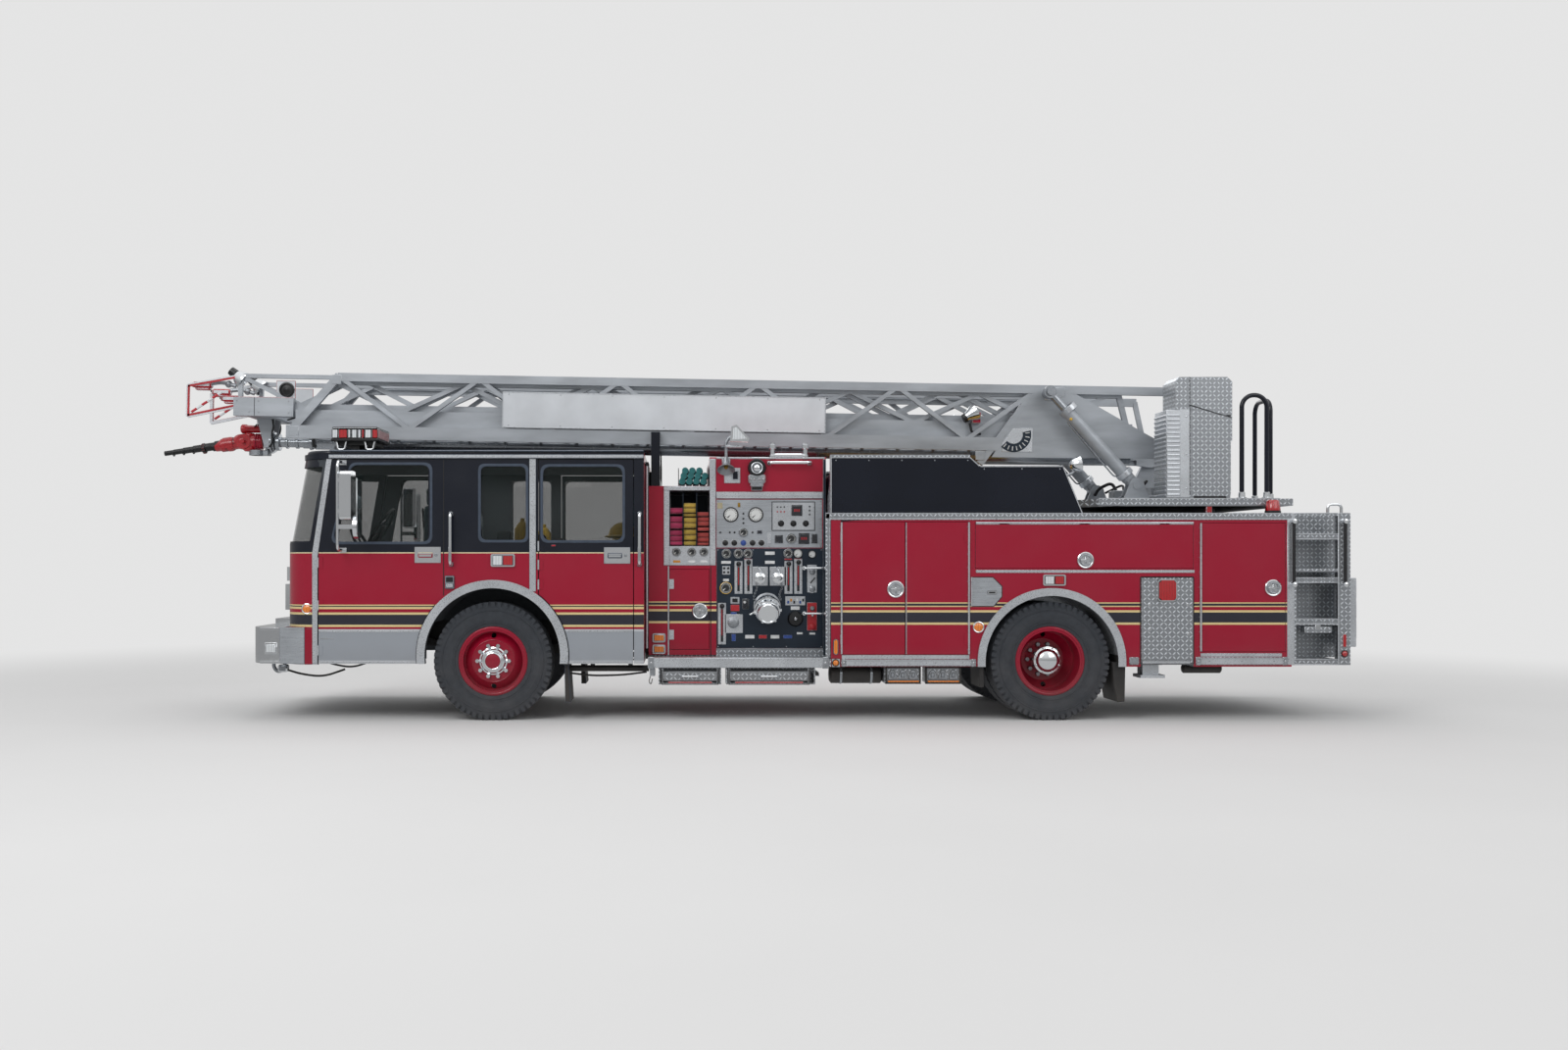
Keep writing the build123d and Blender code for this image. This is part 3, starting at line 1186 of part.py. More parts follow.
# Outline of the nozzle and its stacked tips: distance from the tilt pin, radius
nozzle_steps = ((60, 62), (150, 62), (150, 70), (215, 70), (215, 50), (300, 50), (300, 40), (400, 40), (405, 46),
                (430, 46), (430, 36), (520, 36), (520, 31), (620, 31), (620, 27), (720, 27), (720, 24), (812, 24))
tilt_x, tilt_z = ladder_point(monitor_u + 120, water_v)
nozzle_way = (-cos(radians(nozzle_drop) - pitch), 0, -sin(radians(nozzle_drop) - pitch))
nozzle_plane = Plane(origin=(tilt_x, 0, tilt_z), x_dir=nozzle_way, z_dir=(0, 1, 0))
with BuildPart() as monitor_nozzle:
    with BuildSketch(nozzle_plane) as outline:
        with BuildLine():
            Polyline((30, 0), (30, 62), *nozzle_steps, (812, 0), close=True)
        make_face()
    revolve(outline.sketch, axis=Axis((tilt_x, 0, tilt_z), nozzle_way))
    arch_bore(tilt_x, tilt_z, 72, -74, 74, Mode.ADD)
    arch_bore(tilt_x, tilt_z, 20, -112, 112, Mode.ADD)
finish(monitor_nozzle, "monitor_nozzle")

# Lift cylinders, one each side of the ladder; each rod's eye carries its pin, which ends at the ladder's side plate
eye_x, eye_z = ladder_point(*lift_eye)
lift_length = hypot(eye_x - foot_x, eye_z - foot_z)
lift_lean = degrees(atan2(eye_x - foot_x, eye_z - foot_z))
lift_frame = Location((foot_x, 0, foot_z), (0, lift_lean, 0))
with BuildPart() as lift_barrels:
    for side in (-1, 1):
        arch_bore(foot_x, foot_z, 62, side * (lift_y - 44), side * (lift_y + 44), Mode.ADD)
        with Locations(lift_frame * Location((0, side * lift_y, barrel_length / 2 + 45))):
            Cylinder(barrel_radius, barrel_length - 90)
        with Locations(lift_frame * Location((0, side * lift_y, 60))):
            Box(84, 88, 110)
        with Locations(lift_frame * Location((0, side * lift_y, barrel_length - 25))):
            Cylinder(barrel_radius + 8, 50)
        with Locations(lift_frame * Location((0, side * lift_y, barrel_length / 2 + 60))):
            Cylinder(rod_radius + bearing_clearance, barrel_length - 60, mode=Mode.SUBTRACT)
        arch_bore(foot_x, foot_z, lift_pin_radius + bearing_clearance, side * (lift_y - 60), side * (lift_y + 60))
finish(lift_barrels, "lift_barrels")

with BuildPart() as lift_rods:
    for side in (-1, 1):
        arch_bore(eye_x, eye_z, 60, side * (lift_y - 44), side * (lift_y + 44), Mode.ADD)
        with Locations(lift_frame * Location((0, side * lift_y, (95 + lift_length - 30) / 2))):
            Cylinder(rod_radius, lift_length - 30 - 95)
        arch_bore(eye_x, eye_z, lift_pin_radius, side * (base_half + seat_gap), side * (lift_y + 75), Mode.ADD)
finish(lift_rods, "lift_rods")

# Ladder cradle: two posts on the crosslay's cover hold the ladder's rails above the cab's rear
with BuildPart() as cradle:
    x0, x1 = x_of(cradle_stations[0]), x_of(cradle_stations[1])
    rail_x, rail_rest_z = ladder_point(heel_station - cradle_stations[0], ladder_table["base"][2])
    rail_outer_y, rail_width = ladder_table["base"][:2]
    block(x0, x1, -rail_outer_y - 100, rail_outer_y + 100, crosslay_cover_z + seat_gap, crosslay_cover_z + 90)
    block(x0 + 15, x1 - 15, -rail_outer_y, rail_outer_y, rail_rest_z - 160, rail_rest_z - 80)
    for side in (-1, 1):
        block(x0, x1, side * (rail_outer_y + 20), side * (rail_outer_y + 100), crosslay_cover_z + 80, rail_rest_z + 110)
        block(x0, x1, side * (rail_outer_y - rail_width - 10), side * (rail_outer_y + 20), crosslay_cover_z + 80,
              rail_rest_z - 3)
finish(cradle, "cradle")

# Stabilisers: a beam through the torque box, the jack's housing and the outer panel, with the jack inside
for label, side in (("left", -1), ("right", 1)):
    bx0, bx1 = (x_of(s) for s in beam_stations[label])
    bz0, bz1 = beam_section_z
    leg_x = (bx0 + bx1) / 2
    with BuildPart() as stabiliser:
        block(bx0, bx1, side * (jack_y + 15), side * (175 - jack_y), bz0, bz1)
        block(bx0 + 14, bx1 - 14, side * (jack_y - 125), side * (165 - jack_y), bz0 + 14, bz1 - 14, Mode.SUBTRACT)
        block(leg_x - jack_half - 20, leg_x + jack_half + 20, side * (jack_y - jack_half - 20),
              side * (jack_y + jack_half + 20), jack_housing_z[0], jack_housing_z[1])
        block(leg_x - 70, leg_x + 70, side * (jack_y + 90), side * (half_width - 30), 700, 1150)
        panel_x0, panel_x1 = x_of(bay_front_station) + 4, x_of(bay_rear_station) - 4
        block(panel_x0, panel_x1, side * (half_width - door_thickness), side * half_width, 509, bay_top_z - 4)
        block(leg_x - jack_half, leg_x + jack_half, side * (jack_y - jack_half), side * (jack_y + jack_half),
              jack_housing_z[0] - 10, jack_housing_z[1] - 30, Mode.SUBTRACT)
    finish(stabiliser, f"stabiliser_{label}")
    with BuildPart() as jack:
        leg_half = jack_half - bearing_clearance
        block(leg_x - leg_half, leg_x + leg_half, side * (jack_y - leg_half), side * (jack_y + leg_half),
              405, jack_housing_z[1] - 40)
        block(leg_x - 118, leg_x + 118, side * (jack_y - 95), side * (half_width - 50), 384, 410)
        fillet(jack.edges().filter_by(Axis.Z).group_by(Axis.Z)[0], 30)
    finish(jack, f"jack_{label}")

# Lamps: light bars on the roof, headlamp pods, the round siren and a beacon at each rear corner
with BuildPart() as lamps:
    for side in (-1, 1):
        block(x_of(-1485), x_of(-1055), side * (half_width - 580), side * (half_width - 70), 2560, 2692)
        block(x_of(-1440), x_of(-1100), side * (half_width - 520), side * (half_width - 130), 2520, 2562)
        for foot_y in (half_width - 460, half_width - 190):
            block(x_of(-1290) - 30, x_of(-1290) + 30, side * (foot_y - 20), side * (foot_y + 20),
                  cab_roof_z + seat_gap, 2525)
        block(cab_front_x - 60, cab_front_x - seat_gap, side * (half_width - 660), side * (half_width - 320), 1000, 1240)
        block(cab_front_x - 45, cab_front_x - seat_gap, side * (half_width - 660), side * (half_width - 320), 1270, 1400)
        with Locations((x_of(body_rear_station - 143), side * (half_width - 70), (body_top_z + 2015) / 2)):
            Cylinder(66, 2015 - body_top_z - 2 * seat_gap)
    with Locations(Location((x_of(bumper_front_station) - 54, 0, 690), (0, 90, 0))):
        Cylinder(120, 107)
finish(lamps, "lamps")
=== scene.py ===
"""Looks of a fire engine with a rear-mounted aerial ladder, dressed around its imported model.

Tables give places as (station, across, height) in millimetres: stations run from the front axle towards the
tail, and the vehicle's left side is at negative across. Ladder tables run along the ladder from its heel pin.
"""

import json
from math import cos, pi, radians, sin, sqrt

import bmesh
import bpy
from mathutils import Matrix, Vector

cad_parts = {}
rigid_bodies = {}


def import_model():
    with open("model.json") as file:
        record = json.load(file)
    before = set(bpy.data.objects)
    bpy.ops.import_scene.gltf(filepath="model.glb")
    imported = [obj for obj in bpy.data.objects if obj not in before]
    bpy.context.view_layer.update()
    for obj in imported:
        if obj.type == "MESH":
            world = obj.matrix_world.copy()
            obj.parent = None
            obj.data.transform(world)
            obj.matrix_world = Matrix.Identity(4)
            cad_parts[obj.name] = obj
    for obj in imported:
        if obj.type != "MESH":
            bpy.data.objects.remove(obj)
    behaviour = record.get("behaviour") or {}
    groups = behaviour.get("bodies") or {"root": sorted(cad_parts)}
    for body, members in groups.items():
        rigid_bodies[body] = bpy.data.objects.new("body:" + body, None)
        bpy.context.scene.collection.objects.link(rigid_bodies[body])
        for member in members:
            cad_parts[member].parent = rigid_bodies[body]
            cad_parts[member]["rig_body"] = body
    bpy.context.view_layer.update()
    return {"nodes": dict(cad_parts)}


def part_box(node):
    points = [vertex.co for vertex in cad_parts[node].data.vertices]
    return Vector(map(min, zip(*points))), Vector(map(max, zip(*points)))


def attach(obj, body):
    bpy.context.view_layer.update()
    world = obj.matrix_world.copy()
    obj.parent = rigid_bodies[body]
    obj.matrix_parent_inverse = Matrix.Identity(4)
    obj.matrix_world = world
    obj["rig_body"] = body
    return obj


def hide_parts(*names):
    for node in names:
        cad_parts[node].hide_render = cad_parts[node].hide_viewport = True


bl_info = {
    "name": "Fire engine dressing",
    "version": (1, 0, 0),
    "blender": (4, 5, 0),
    "location": "View3D > Sidebar > Fire engine",
    "description": "Paint, glass, fittings and gear of an aerial fire engine, with its studio",
    "category": "Object",
}

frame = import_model()
MM = 0.001  # metres


def middle_of(node):
    low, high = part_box(node)
    return (low + high) / 2


FRONT_AXLE = middle_of("front_rim_left").x
WHEEL_HEIGHT = middle_of("front_tyre_left").z / MM
REAR_AXLE_STATION = (middle_of("rear_rims_left").x - FRONT_AXLE) / MM
RUB_RAIL_DEPTH = 18  # that the body's rails stand proud of its skin
HALF_WIDTH = -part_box("body")[0].y / MM - RUB_RAIL_DEPTH
PANEL_SIDE = -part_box("pump_house")[0].y / MM
SIDES = {"left": -1, "right": 1}
TO_FRAME = Matrix.Translation((FRONT_AXLE, 0, 0)) @ Matrix.Scale(MM, 4)
LADDER_PITCH = radians(1.02)
HEEL_STATION, HEEL_HEIGHT = 6593, 2495
LADDER = Matrix((
    (-cos(LADDER_PITCH), 0, sin(LADDER_PITCH), HEEL_STATION),
    (0, 1, 0, 0),
    (sin(LADDER_PITCH), 0, cos(LADDER_PITCH), HEEL_HEIGHT),
    (0, 0, 0, 1),
))


def linear(code):
    """A linear colour from an sRGB hex code."""
    parts = [int(code[i:i + 2], 16) / 255 for i in (0, 2, 4)]
    return tuple(v / 12.92 if v <= 0.04045 else ((v + 0.055) / 1.055) ** 2.4 for v in parts) + (1.0,)


class PaintChoices(bpy.types.PropertyGroup):
    """Colours that an owner would pick for the vehicle."""

    body: bpy.props.FloatVectorProperty(
        name="Body red", description="Main enamel of cab and lockers", subtype="COLOR", size=4,
        default=linear("9A0A2C"), min=0, max=1,
    )
    upper: bpy.props.FloatVectorProperty(
        name="Upper navy", description="Enamel above the cab's belt and on the bed panels", subtype="COLOR",
        size=4, default=linear("080F1E"), min=0, max=1,
    )
    stripe: bpy.props.FloatVectorProperty(
        name="Stripe gold", description="Thin lines along the sides", subtype="COLOR", size=4,
        default=linear("D9C48F"), min=0, max=1,
    )
    band: bpy.props.FloatVectorProperty(
        name="Band charcoal", description="Broad band between the gold lines", subtype="COLOR", size=4,
        default=linear("2B2B35"), min=0, max=1,
    )
    ladder: bpy.props.FloatVectorProperty(
        name="Ladder silver", description="Paint of the ladder sections", subtype="COLOR", size=4,
        default=linear("A9AEB4"), min=0, max=1,
    )


class FittingSizes(bpy.types.PropertyGroup):
    """Sizes of fittings that vary from vehicle to vehicle."""

    nut_count: bpy.props.IntProperty(
        name="Wheel nuts", description="Nuts on each wheel disc", default=10, min=5, max=12,
    )
    tread_blocks: bpy.props.IntProperty(
        name="Tread blocks", description="Shoulder blocks round each tyre", default=56, min=24, max=90,
    )
    hose_fold: bpy.props.FloatProperty(
        name="Hose fold", description="Thickness of one flat layer of hose", default=0.05, min=0.02, max=0.12,
        unit="LENGTH",
    )
    rivet_pitch: bpy.props.FloatProperty(
        name="Rivet pitch", description="Distance between rivets along the trims", default=0.3, min=0.05, max=1.0,
        unit="LENGTH",
    )
    grab_bar_radius: bpy.props.FloatProperty(
        name="Grab bar radius", description="Radius of the chromed hand rails", default=0.016, min=0.008, max=0.03,
        unit="LENGTH",
    )


finishes = {}


def add_node(tree, kind, settings=None, inputs=None):
    """Adds a node, sets its properties, and sets or links its inputs."""
    made = tree.nodes.new(kind)
    for name, value in (settings or {}).items():
        setattr(made, name, value)
    for name, value in (inputs or {}).items():
        if isinstance(value, bpy.types.NodeSocket):
            tree.links.new(value, made.inputs[name])
        else:
            made.inputs[name].default_value = value
    return made


def dye(tree, shader, colour):
    """Gives the shader its colour from a socket."""
    tree.links.new(colour, shader.inputs["Base Color"])


def calc(tree, operation, *values):
    """The result of a sum on numbers or sockets."""
    return add_node(tree, "ShaderNodeMath", {"operation": operation}, dict(enumerate(values))).outputs[0]


def calc_vector(tree, operation, *values):
    """The node of a sum on vectors or sockets."""
    return add_node(tree, "ShaderNodeVectorMath", {"operation": operation}, dict(enumerate(values)))


def parts_of(tree, vector):
    """The node that splits a vector into X, Y and Z."""
    return add_node(tree, "ShaderNodeSeparateXYZ", inputs={"Vector": vector})


def combine(tree, **parts):
    """A vector from numbers or sockets for X, Y and Z."""
    return add_node(tree, "ShaderNodeCombineXYZ", inputs=parts).outputs["Vector"]


def start_finish(name, colour, roughness, metallic=0.0, **sockets):
    """A material with its shader's own values set, ready for its patterns."""
    material = bpy.data.materials.new(name)
    material.use_nodes = True
    tree = material.node_tree
    shader = tree.nodes["Principled BSDF"]
    material.diffuse_color = colour
    values = {"Base Color": colour, "Roughness": roughness, "Metallic": metallic}
    values.update({key.replace("_", " "): value for key, value in sockets.items()})
    for socket, value in values.items():
        shader.inputs[socket].default_value = value
    finishes[name] = material
    return tree, shader


def places(tree):
    """Object coordinates, in metres."""
    return add_node(tree, "ShaderNodeTexCoord").outputs["Object"]


def height_above_ground(tree):
    return parts_of(tree, places(tree)).outputs["Z"]


def grain(tree, size_mm, detail=4.0, stretch=(1, 1, 1)):
    """Noise whose features are about size_mm across, longer along the axes given less than 1."""
    spread = add_node(tree, "ShaderNodeMapping", inputs={"Vector": places(tree), "Scale": stretch})
    return add_node(tree, "ShaderNodeTexNoise", inputs={
        "Vector": spread.outputs["Vector"], "Scale": 1000 / size_mm, "Detail": detail,
    }).outputs["Fac"]


def ramp(tree, factor, *stops, interpolation="LINEAR"):
    """A colour ramp from (position, colour) stops."""
    made = add_node(tree, "ShaderNodeValToRGB", inputs={"Fac": factor})
    made.color_ramp.interpolation = interpolation
    elements = made.color_ramp.elements
    while len(elements) < len(stops):
        elements.new(0.5)
    for element, (position, colour) in zip(elements, stops):
        element.position = position
        element.color = colour if len(colour) == 4 else (*colour, 1)
    return made.outputs["Color"]


def grey(value):
    return (value, value, value, 1)


def blend_colours(tree, factor, first, second):
    made = add_node(tree, "ShaderNodeMix", {"data_type": "RGBA"}, {"Factor": factor, "A": first, "B": second})
    return made.outputs["Result"]


def shade_of(colour, share):
    return tuple(min(1, v * share) for v in colour[:3]) + (1,)


def mottle(tree, shader, colour, size_mm, share=0.85, rough=None):
    """Colour that drifts a little over size_mm, and roughness that drifts with it."""
    factor = grain(tree, size_mm)
    drift = ramp(tree, factor, (0.35, shade_of(colour, share)), (0.65, colour))
    dye(tree, shader, drift)
    if rough:
        spread = ramp(tree, factor, (0.3, grey(rough[0])), (0.7, grey(rough[1])))
        tree.links.new(spread, shader.inputs["Roughness"])
    return drift


def emboss(tree, shader, relief, depth_mm, strength=1.0):
    """Raises the surface by relief, a 0 to 1 pattern, with depth_mm between its low and high places."""
    bump = add_node(tree, "ShaderNodeBump", inputs={"Height": relief, "Distance": depth_mm * MM, "Strength": strength})
    tree.links.new(bump.outputs["Normal"], shader.inputs["Normal"])


def road_film(tree, shader, clean, dust, top_mm=900.0):
    """Road dust that thickens towards the ground and breaks up in patches."""
    height = height_above_ground(tree)
    fade = add_node(tree, "ShaderNodeMapRange", inputs={
        "Value": height, "From Min": top_mm * MM, "From Max": 0.1, "To Min": 0.0, "To Max": 0.55,
    }).outputs["Result"]
    patches = ramp(tree, grain(tree, 160), (0.3, grey(0.35)), (0.75, grey(1)))
    amount = calc(tree, "MULTIPLY", fade, patches)
    dye(tree, shader, blend_colours(tree, amount, clean, dust))


def banded(tree, scale_m, rows):
    """A stack of horizontal bands: rows are (lowest height in mm, colour)."""
    height = calc(tree, "DIVIDE", height_above_ground(tree), scale_m)
    stops = [(low * MM / scale_m, colour) for low, colour in rows]
    return ramp(tree, height, *stops, interpolation="CONSTANT")


def paint_cab(name, paint, skirt):
    """Sprayed enamel in bands that run round the cab: navy over red, gold-edged band, bright skirt below."""
    red, gold, band = tuple(paint.body), tuple(paint.stripe), tuple(paint.band)
    cream, steel, trim = linear("D8CBA6"), linear("B4BAC2"), linear("D9DDE2")
    low_rows = [(0, trim), (543, steel), (804, trim), (826, red)] if skirt else [(0, red)]
    lift = 0 if skirt else 17
    rows = low_rows + [
        (849 + lift, gold), (867 + lift, band), (963 + lift, gold), (980 + lift, red), (1014 + lift, gold),
        (1028 + lift, band), (1040 + lift, gold), (1055 + lift, red),
    ]
    if skirt:
        rows += [(1516, cream), (1530, tuple(paint.upper))]
    tree, shader = start_finish(name, red, 0.32, Specular_IOR_Level=0.25, Coat_Weight=0.3, Coat_Roughness=0.06)
    scale_m = 2.6
    bands = banded(tree, scale_m, rows)
    softened = blend_colours(tree, ramp(tree, grain(tree, 420), (0.3, grey(0)), (0.75, grey(0.04))), bands, grey(0.2))
    road_film(tree, shader, softened, linear("6F625C"), 700)
    if skirt:
        bare = banded(tree, scale_m, [(0, grey(0.75)), (826, grey(0))])
        tree.links.new(bare, shader.inputs["Metallic"])
    emboss(tree, shader, grain(tree, 9, detail=1), 0.12, 0.25)


def lozenges(tree, plane_point, pitch_mm, swap):
    """One set of raised lozenges on a square grid turned by 45 degrees; the swapped set lies across the first."""
    turned = add_node(tree, "ShaderNodeMapping", inputs={
        "Vector": plane_point, "Rotation": (0, 0, pi / 4), "Scale": (1000 / pitch_mm,) * 3,
        "Location": (0.5, 0.5, 0) if swap else (0, 0, 0),
    }).outputs["Vector"]
    cell = calc_vector(tree, "FRACTION", turned).outputs["Vector"]
    centred = calc_vector(tree, "SUBTRACT", cell, (0.5, 0.5, 0.5))
    away = calc_vector(tree, "ABSOLUTE", centred.outputs["Vector"])
    weights = (8.5, 2.6, 0) if swap else (2.6, 8.5, 0)
    reach = calc_vector(tree, "DOT_PRODUCT", away.outputs["Vector"], weights)
    return add_node(tree, "ShaderNodeMapRange", inputs={
        "Value": reach.outputs["Value"], "From Min": 1.15, "From Max": 0.7,
    }).outputs["Result"]


def facing(tree, axis):
    """1 where the surface faces along the axis."""
    normal = parts_of(tree, add_node(tree, "ShaderNodeTexCoord").outputs["Normal"])
    size = calc(tree, "ABSOLUTE", normal.outputs[axis])
    return calc(tree, "GREATER_THAN", size, 0.6)


def roll_treadplate(name, colour, pitch_mm):
    """Rolled aluminium treadplate: raised lozenges in two directions on whichever way the sheet faces."""
    tree, shader = start_finish(name, colour, 0.36, 0.65)
    spread = parts_of(tree, places(tree))
    x, y, z = (spread.outputs[axis] for axis in "XYZ")
    across = add_node(tree, "ShaderNodeMix", inputs={0: facing(tree, "X"), 2: x, 3: y}).outputs[0]
    along = add_node(tree, "ShaderNodeMix", inputs={0: facing(tree, "Z"), 2: z, 3: y}).outputs[0]
    point = combine(tree, X=across, Y=along)
    relief = calc(tree, "MAXIMUM", lozenges(tree, point, pitch_mm, False), lozenges(tree, point, pitch_mm, True))
    # Painted highlight on the raised lozenges and painted shade on the flat sheet between them, drawn strong enough to
    # show
    lozenge_highlight_and_shade = blend_colours(tree, relief, shade_of(colour, 0.48), shade_of(colour, 1.22))
    road_film(tree, shader, lozenge_highlight_and_shade, linear("746B62"), 620)
    emboss(tree, shader, relief, 2.2)


def stripes(tree, direction, pitch_mm, share=0.5):
    """1 and 0 in turn along a direction."""
    run = calc_vector(tree, "DOT_PRODUCT", places(tree), direction)
    turns = calc(tree, "DIVIDE", run.outputs["Value"], pitch_mm * MM)
    part = calc(tree, "FRACT", turns)
    return calc(tree, "LESS_THAN", part, share)


def weave_jacket(name, colour, thread_mm):
    """Woven polyester hose jacket: over and under threads, drawn coarse enough to show, painted lighter on their tops
    as painted highlight and darker in the dips as painted shade, with random patches of grime.
    """
    tree, shader = start_finish(name, colour, 0.85, Sheen_Weight=0.25)
    waves = [
        add_node(tree, "ShaderNodeTexWave", {"bands_direction": axis},
                 {"Vector": places(tree), "Scale": 314 / thread_mm})
        for axis in "YZ"
    ]
    relief = calc(tree, "MULTIPLY", waves[0].outputs["Fac"], waves[1].outputs["Fac"])
    # Painted highlight on the thread tops and painted shade in the dips between them
    threads = blend_colours(tree, relief, shade_of(colour, 0.55), shade_of(colour, 1.15))
    grime = ramp(tree, grain(tree, 70), (0.4, grey(0)), (0.8, grey(0.45)))
    dye(tree, shader, blend_colours(tree, grime, threads, shade_of(colour, 0.4)))
    emboss(tree, shader, relief, 0.9)


def print_dial(name, face, ink):
    """A printed gauge face: ticks round three quarters of it and a needle, read from the face's own UV map."""
    tree, shader = start_finish(name, face, 0.3, Coat_Weight=0.8, Coat_Roughness=0.03)
    flat = add_node(tree, "ShaderNodeTexCoord").outputs["UV"]
    centred = add_node(tree, "ShaderNodeMapping",
                       inputs={"Vector": flat, "Location": (-0.5, -0.5, 0)}).outputs["Vector"]
    parts = parts_of(tree, centred)
    radius = calc_vector(tree, "LENGTH", centred).outputs["Value"]
    angle = calc(tree, "ARCTAN2", parts.outputs["X"], parts.outputs["Y"])
    turns = calc(tree, "MULTIPLY", angle, 20 / (2 * pi))
    step = calc(tree, "FRACT", turns)
    tick = ramp(tree, step, (0.0, grey(1)), (0.3, grey(0)), interpolation="CONSTANT")
    circle = ramp(tree, radius, (0, grey(0)), (0.33, grey(1)), (0.43, grey(0)), interpolation="CONSTANT")
    marks = calc(tree, "MULTIPLY", tick, circle)
    needle_turn = calc(tree, "COMPARE", angle, -2.3, 0.17)
    inside = ramp(tree, radius, (0, grey(1)), (0.32, grey(0)), interpolation="CONSTANT")
    needle = calc(tree, "MULTIPLY", needle_turn, inside)
    drawn = calc(tree, "MAXIMUM", marks, needle)
    dye(tree, shader, blend_colours(tree, drawn, face, ink))


def mould_lens(name, colour, flute_mm=14):
    """Moulded polycarbonate lens: upright flutes inside a smooth, glossy outer face."""
    tree, shader = start_finish(name, colour, 0.12, Coat_Weight=1.0, Coat_Roughness=0.04, IOR=1.58)
    wave = add_node(tree, "ShaderNodeTexWave", {"bands_direction": "X"},
                    {"Vector": places(tree), "Scale": 314 / flute_mm})
    # Painted highlight and painted shade: the flutes are drawn in lighter and darker bands of the lens colour
    flutes = blend_colours(tree, wave.outputs["Fac"], shade_of(colour, 0.6), shade_of(colour, 1.2))
    dye(tree, shader, flutes)
    emboss(tree, shader, wave.outputs["Fac"], 1.0)


def brush_metal(name, colour, roughness, stretch=(0.03, 1, 1), size_mm=7):
    """Brushed sheet: long fine scratches that spread the highlight across the brushing."""
    tree, shader = start_finish(name, colour, roughness, 0.75)
    scratches = grain(tree, size_mm, detail=6, stretch=stretch)
    rough = ramp(tree, scratches, (0.3, grey(roughness * 0.75)), (0.7, grey(roughness * 1.4)))
    tree.links.new(rough, shader.inputs["Roughness"])
    smears = ramp(tree, grain(tree, 240), (0.3, shade_of(colour, 0.82)), (0.7, colour))
    dye(tree, shader, smears)
    emboss(tree, shader, scratches, 0.15, 0.4)


# Finishes whose colour drifts a little, some with a grain. Columns: name, colour, roughness, metallic, other
# sockets, the drift (its size in mm, its darkest share and the range of roughness), the grain (its size and depth
# in mm and its strength)
DRIFTING = (
    # Sprayed enamel in a brighter red: monitor, couplings and the guard's sheeting.
    ("bright_red_enamel", "B01020", 0.3, 0, {"Coat_Weight": 0.5, "Coat_Roughness": 0.1}, (120, 0.8, (0.25, 0.42)),
     None),
    # White stove enamel: the board on the ladder and the guard frames.
    ("white_enamel", "D5D9DE", 0.4, 0, {"Coat_Weight": 0.3}, (260, 0.9, (0.35, 0.5)), None),
    # Cast and machined alloy: caps, flanges and valves with a granular skin.
    ("cast_alloy", "A7ABB0", 0.42, 0.9, {}, (18, 0.75, (0.35, 0.55)), (4, 0.3, 0.5)),
    # Cast brass, dulled: the outlet's cap in the rear corner.
    ("brass", "B08D45", 0.35, 1.0, {}, (20, 0.7, (0.3, 0.5)), None),
    # Extruded EPDM rubber: the window seals, dark rubber lightened to a blue-grey that is painted highlight along their
    # edges.
    ("seal_rubber_highlit", "3F4B5C", 0.45, 0, {}, (40, 0.8, (0.4, 0.55)), None),
    # Moulded ABS with a spark-eroded grain: knobs, lamp bodies and the dash.
    ("black_abs", "121316", 0.42, 0, {}, (12, 0.8, (0.35, 0.5)), (3, 0.2, 0.4)),
    # Grey moulded lining of the cab, soft-sheened.
    ("grey_lining", "3C4146", 0.75, 0, {}, (30, 0.8, (0.65, 0.85)), None),
    # Black anodised panel sheet behind the lower controls.
    ("black_panel", "1D2A38", 0.38, 0.3, {}, (160, 0.8, (0.32, 0.48)), None),
    # Coated instrument screens, switched off.
    ("dark_screen", "0B1220", 0.15, 0, {"Coat_Weight": 1.0}, (50, 0.6), None),
    # Engraved plastic tags in plain colours, left blank.
    ("tag_white", "DADCDD", 0.45, 0, {}, (40, 0.85, (0.4, 0.55)), None),
    ("tag_red", "B0202A", 0.45, 0, {}, (40, 0.85, (0.4, 0.55)), None),
    ("tag_blue", "2B4A94", 0.45, 0, {}, (40, 0.85, (0.4, 0.55)), None),
    ("tag_amber", "D08A28", 0.45, 0, {}, (40, 0.85, (0.4, 0.55)), None),
)


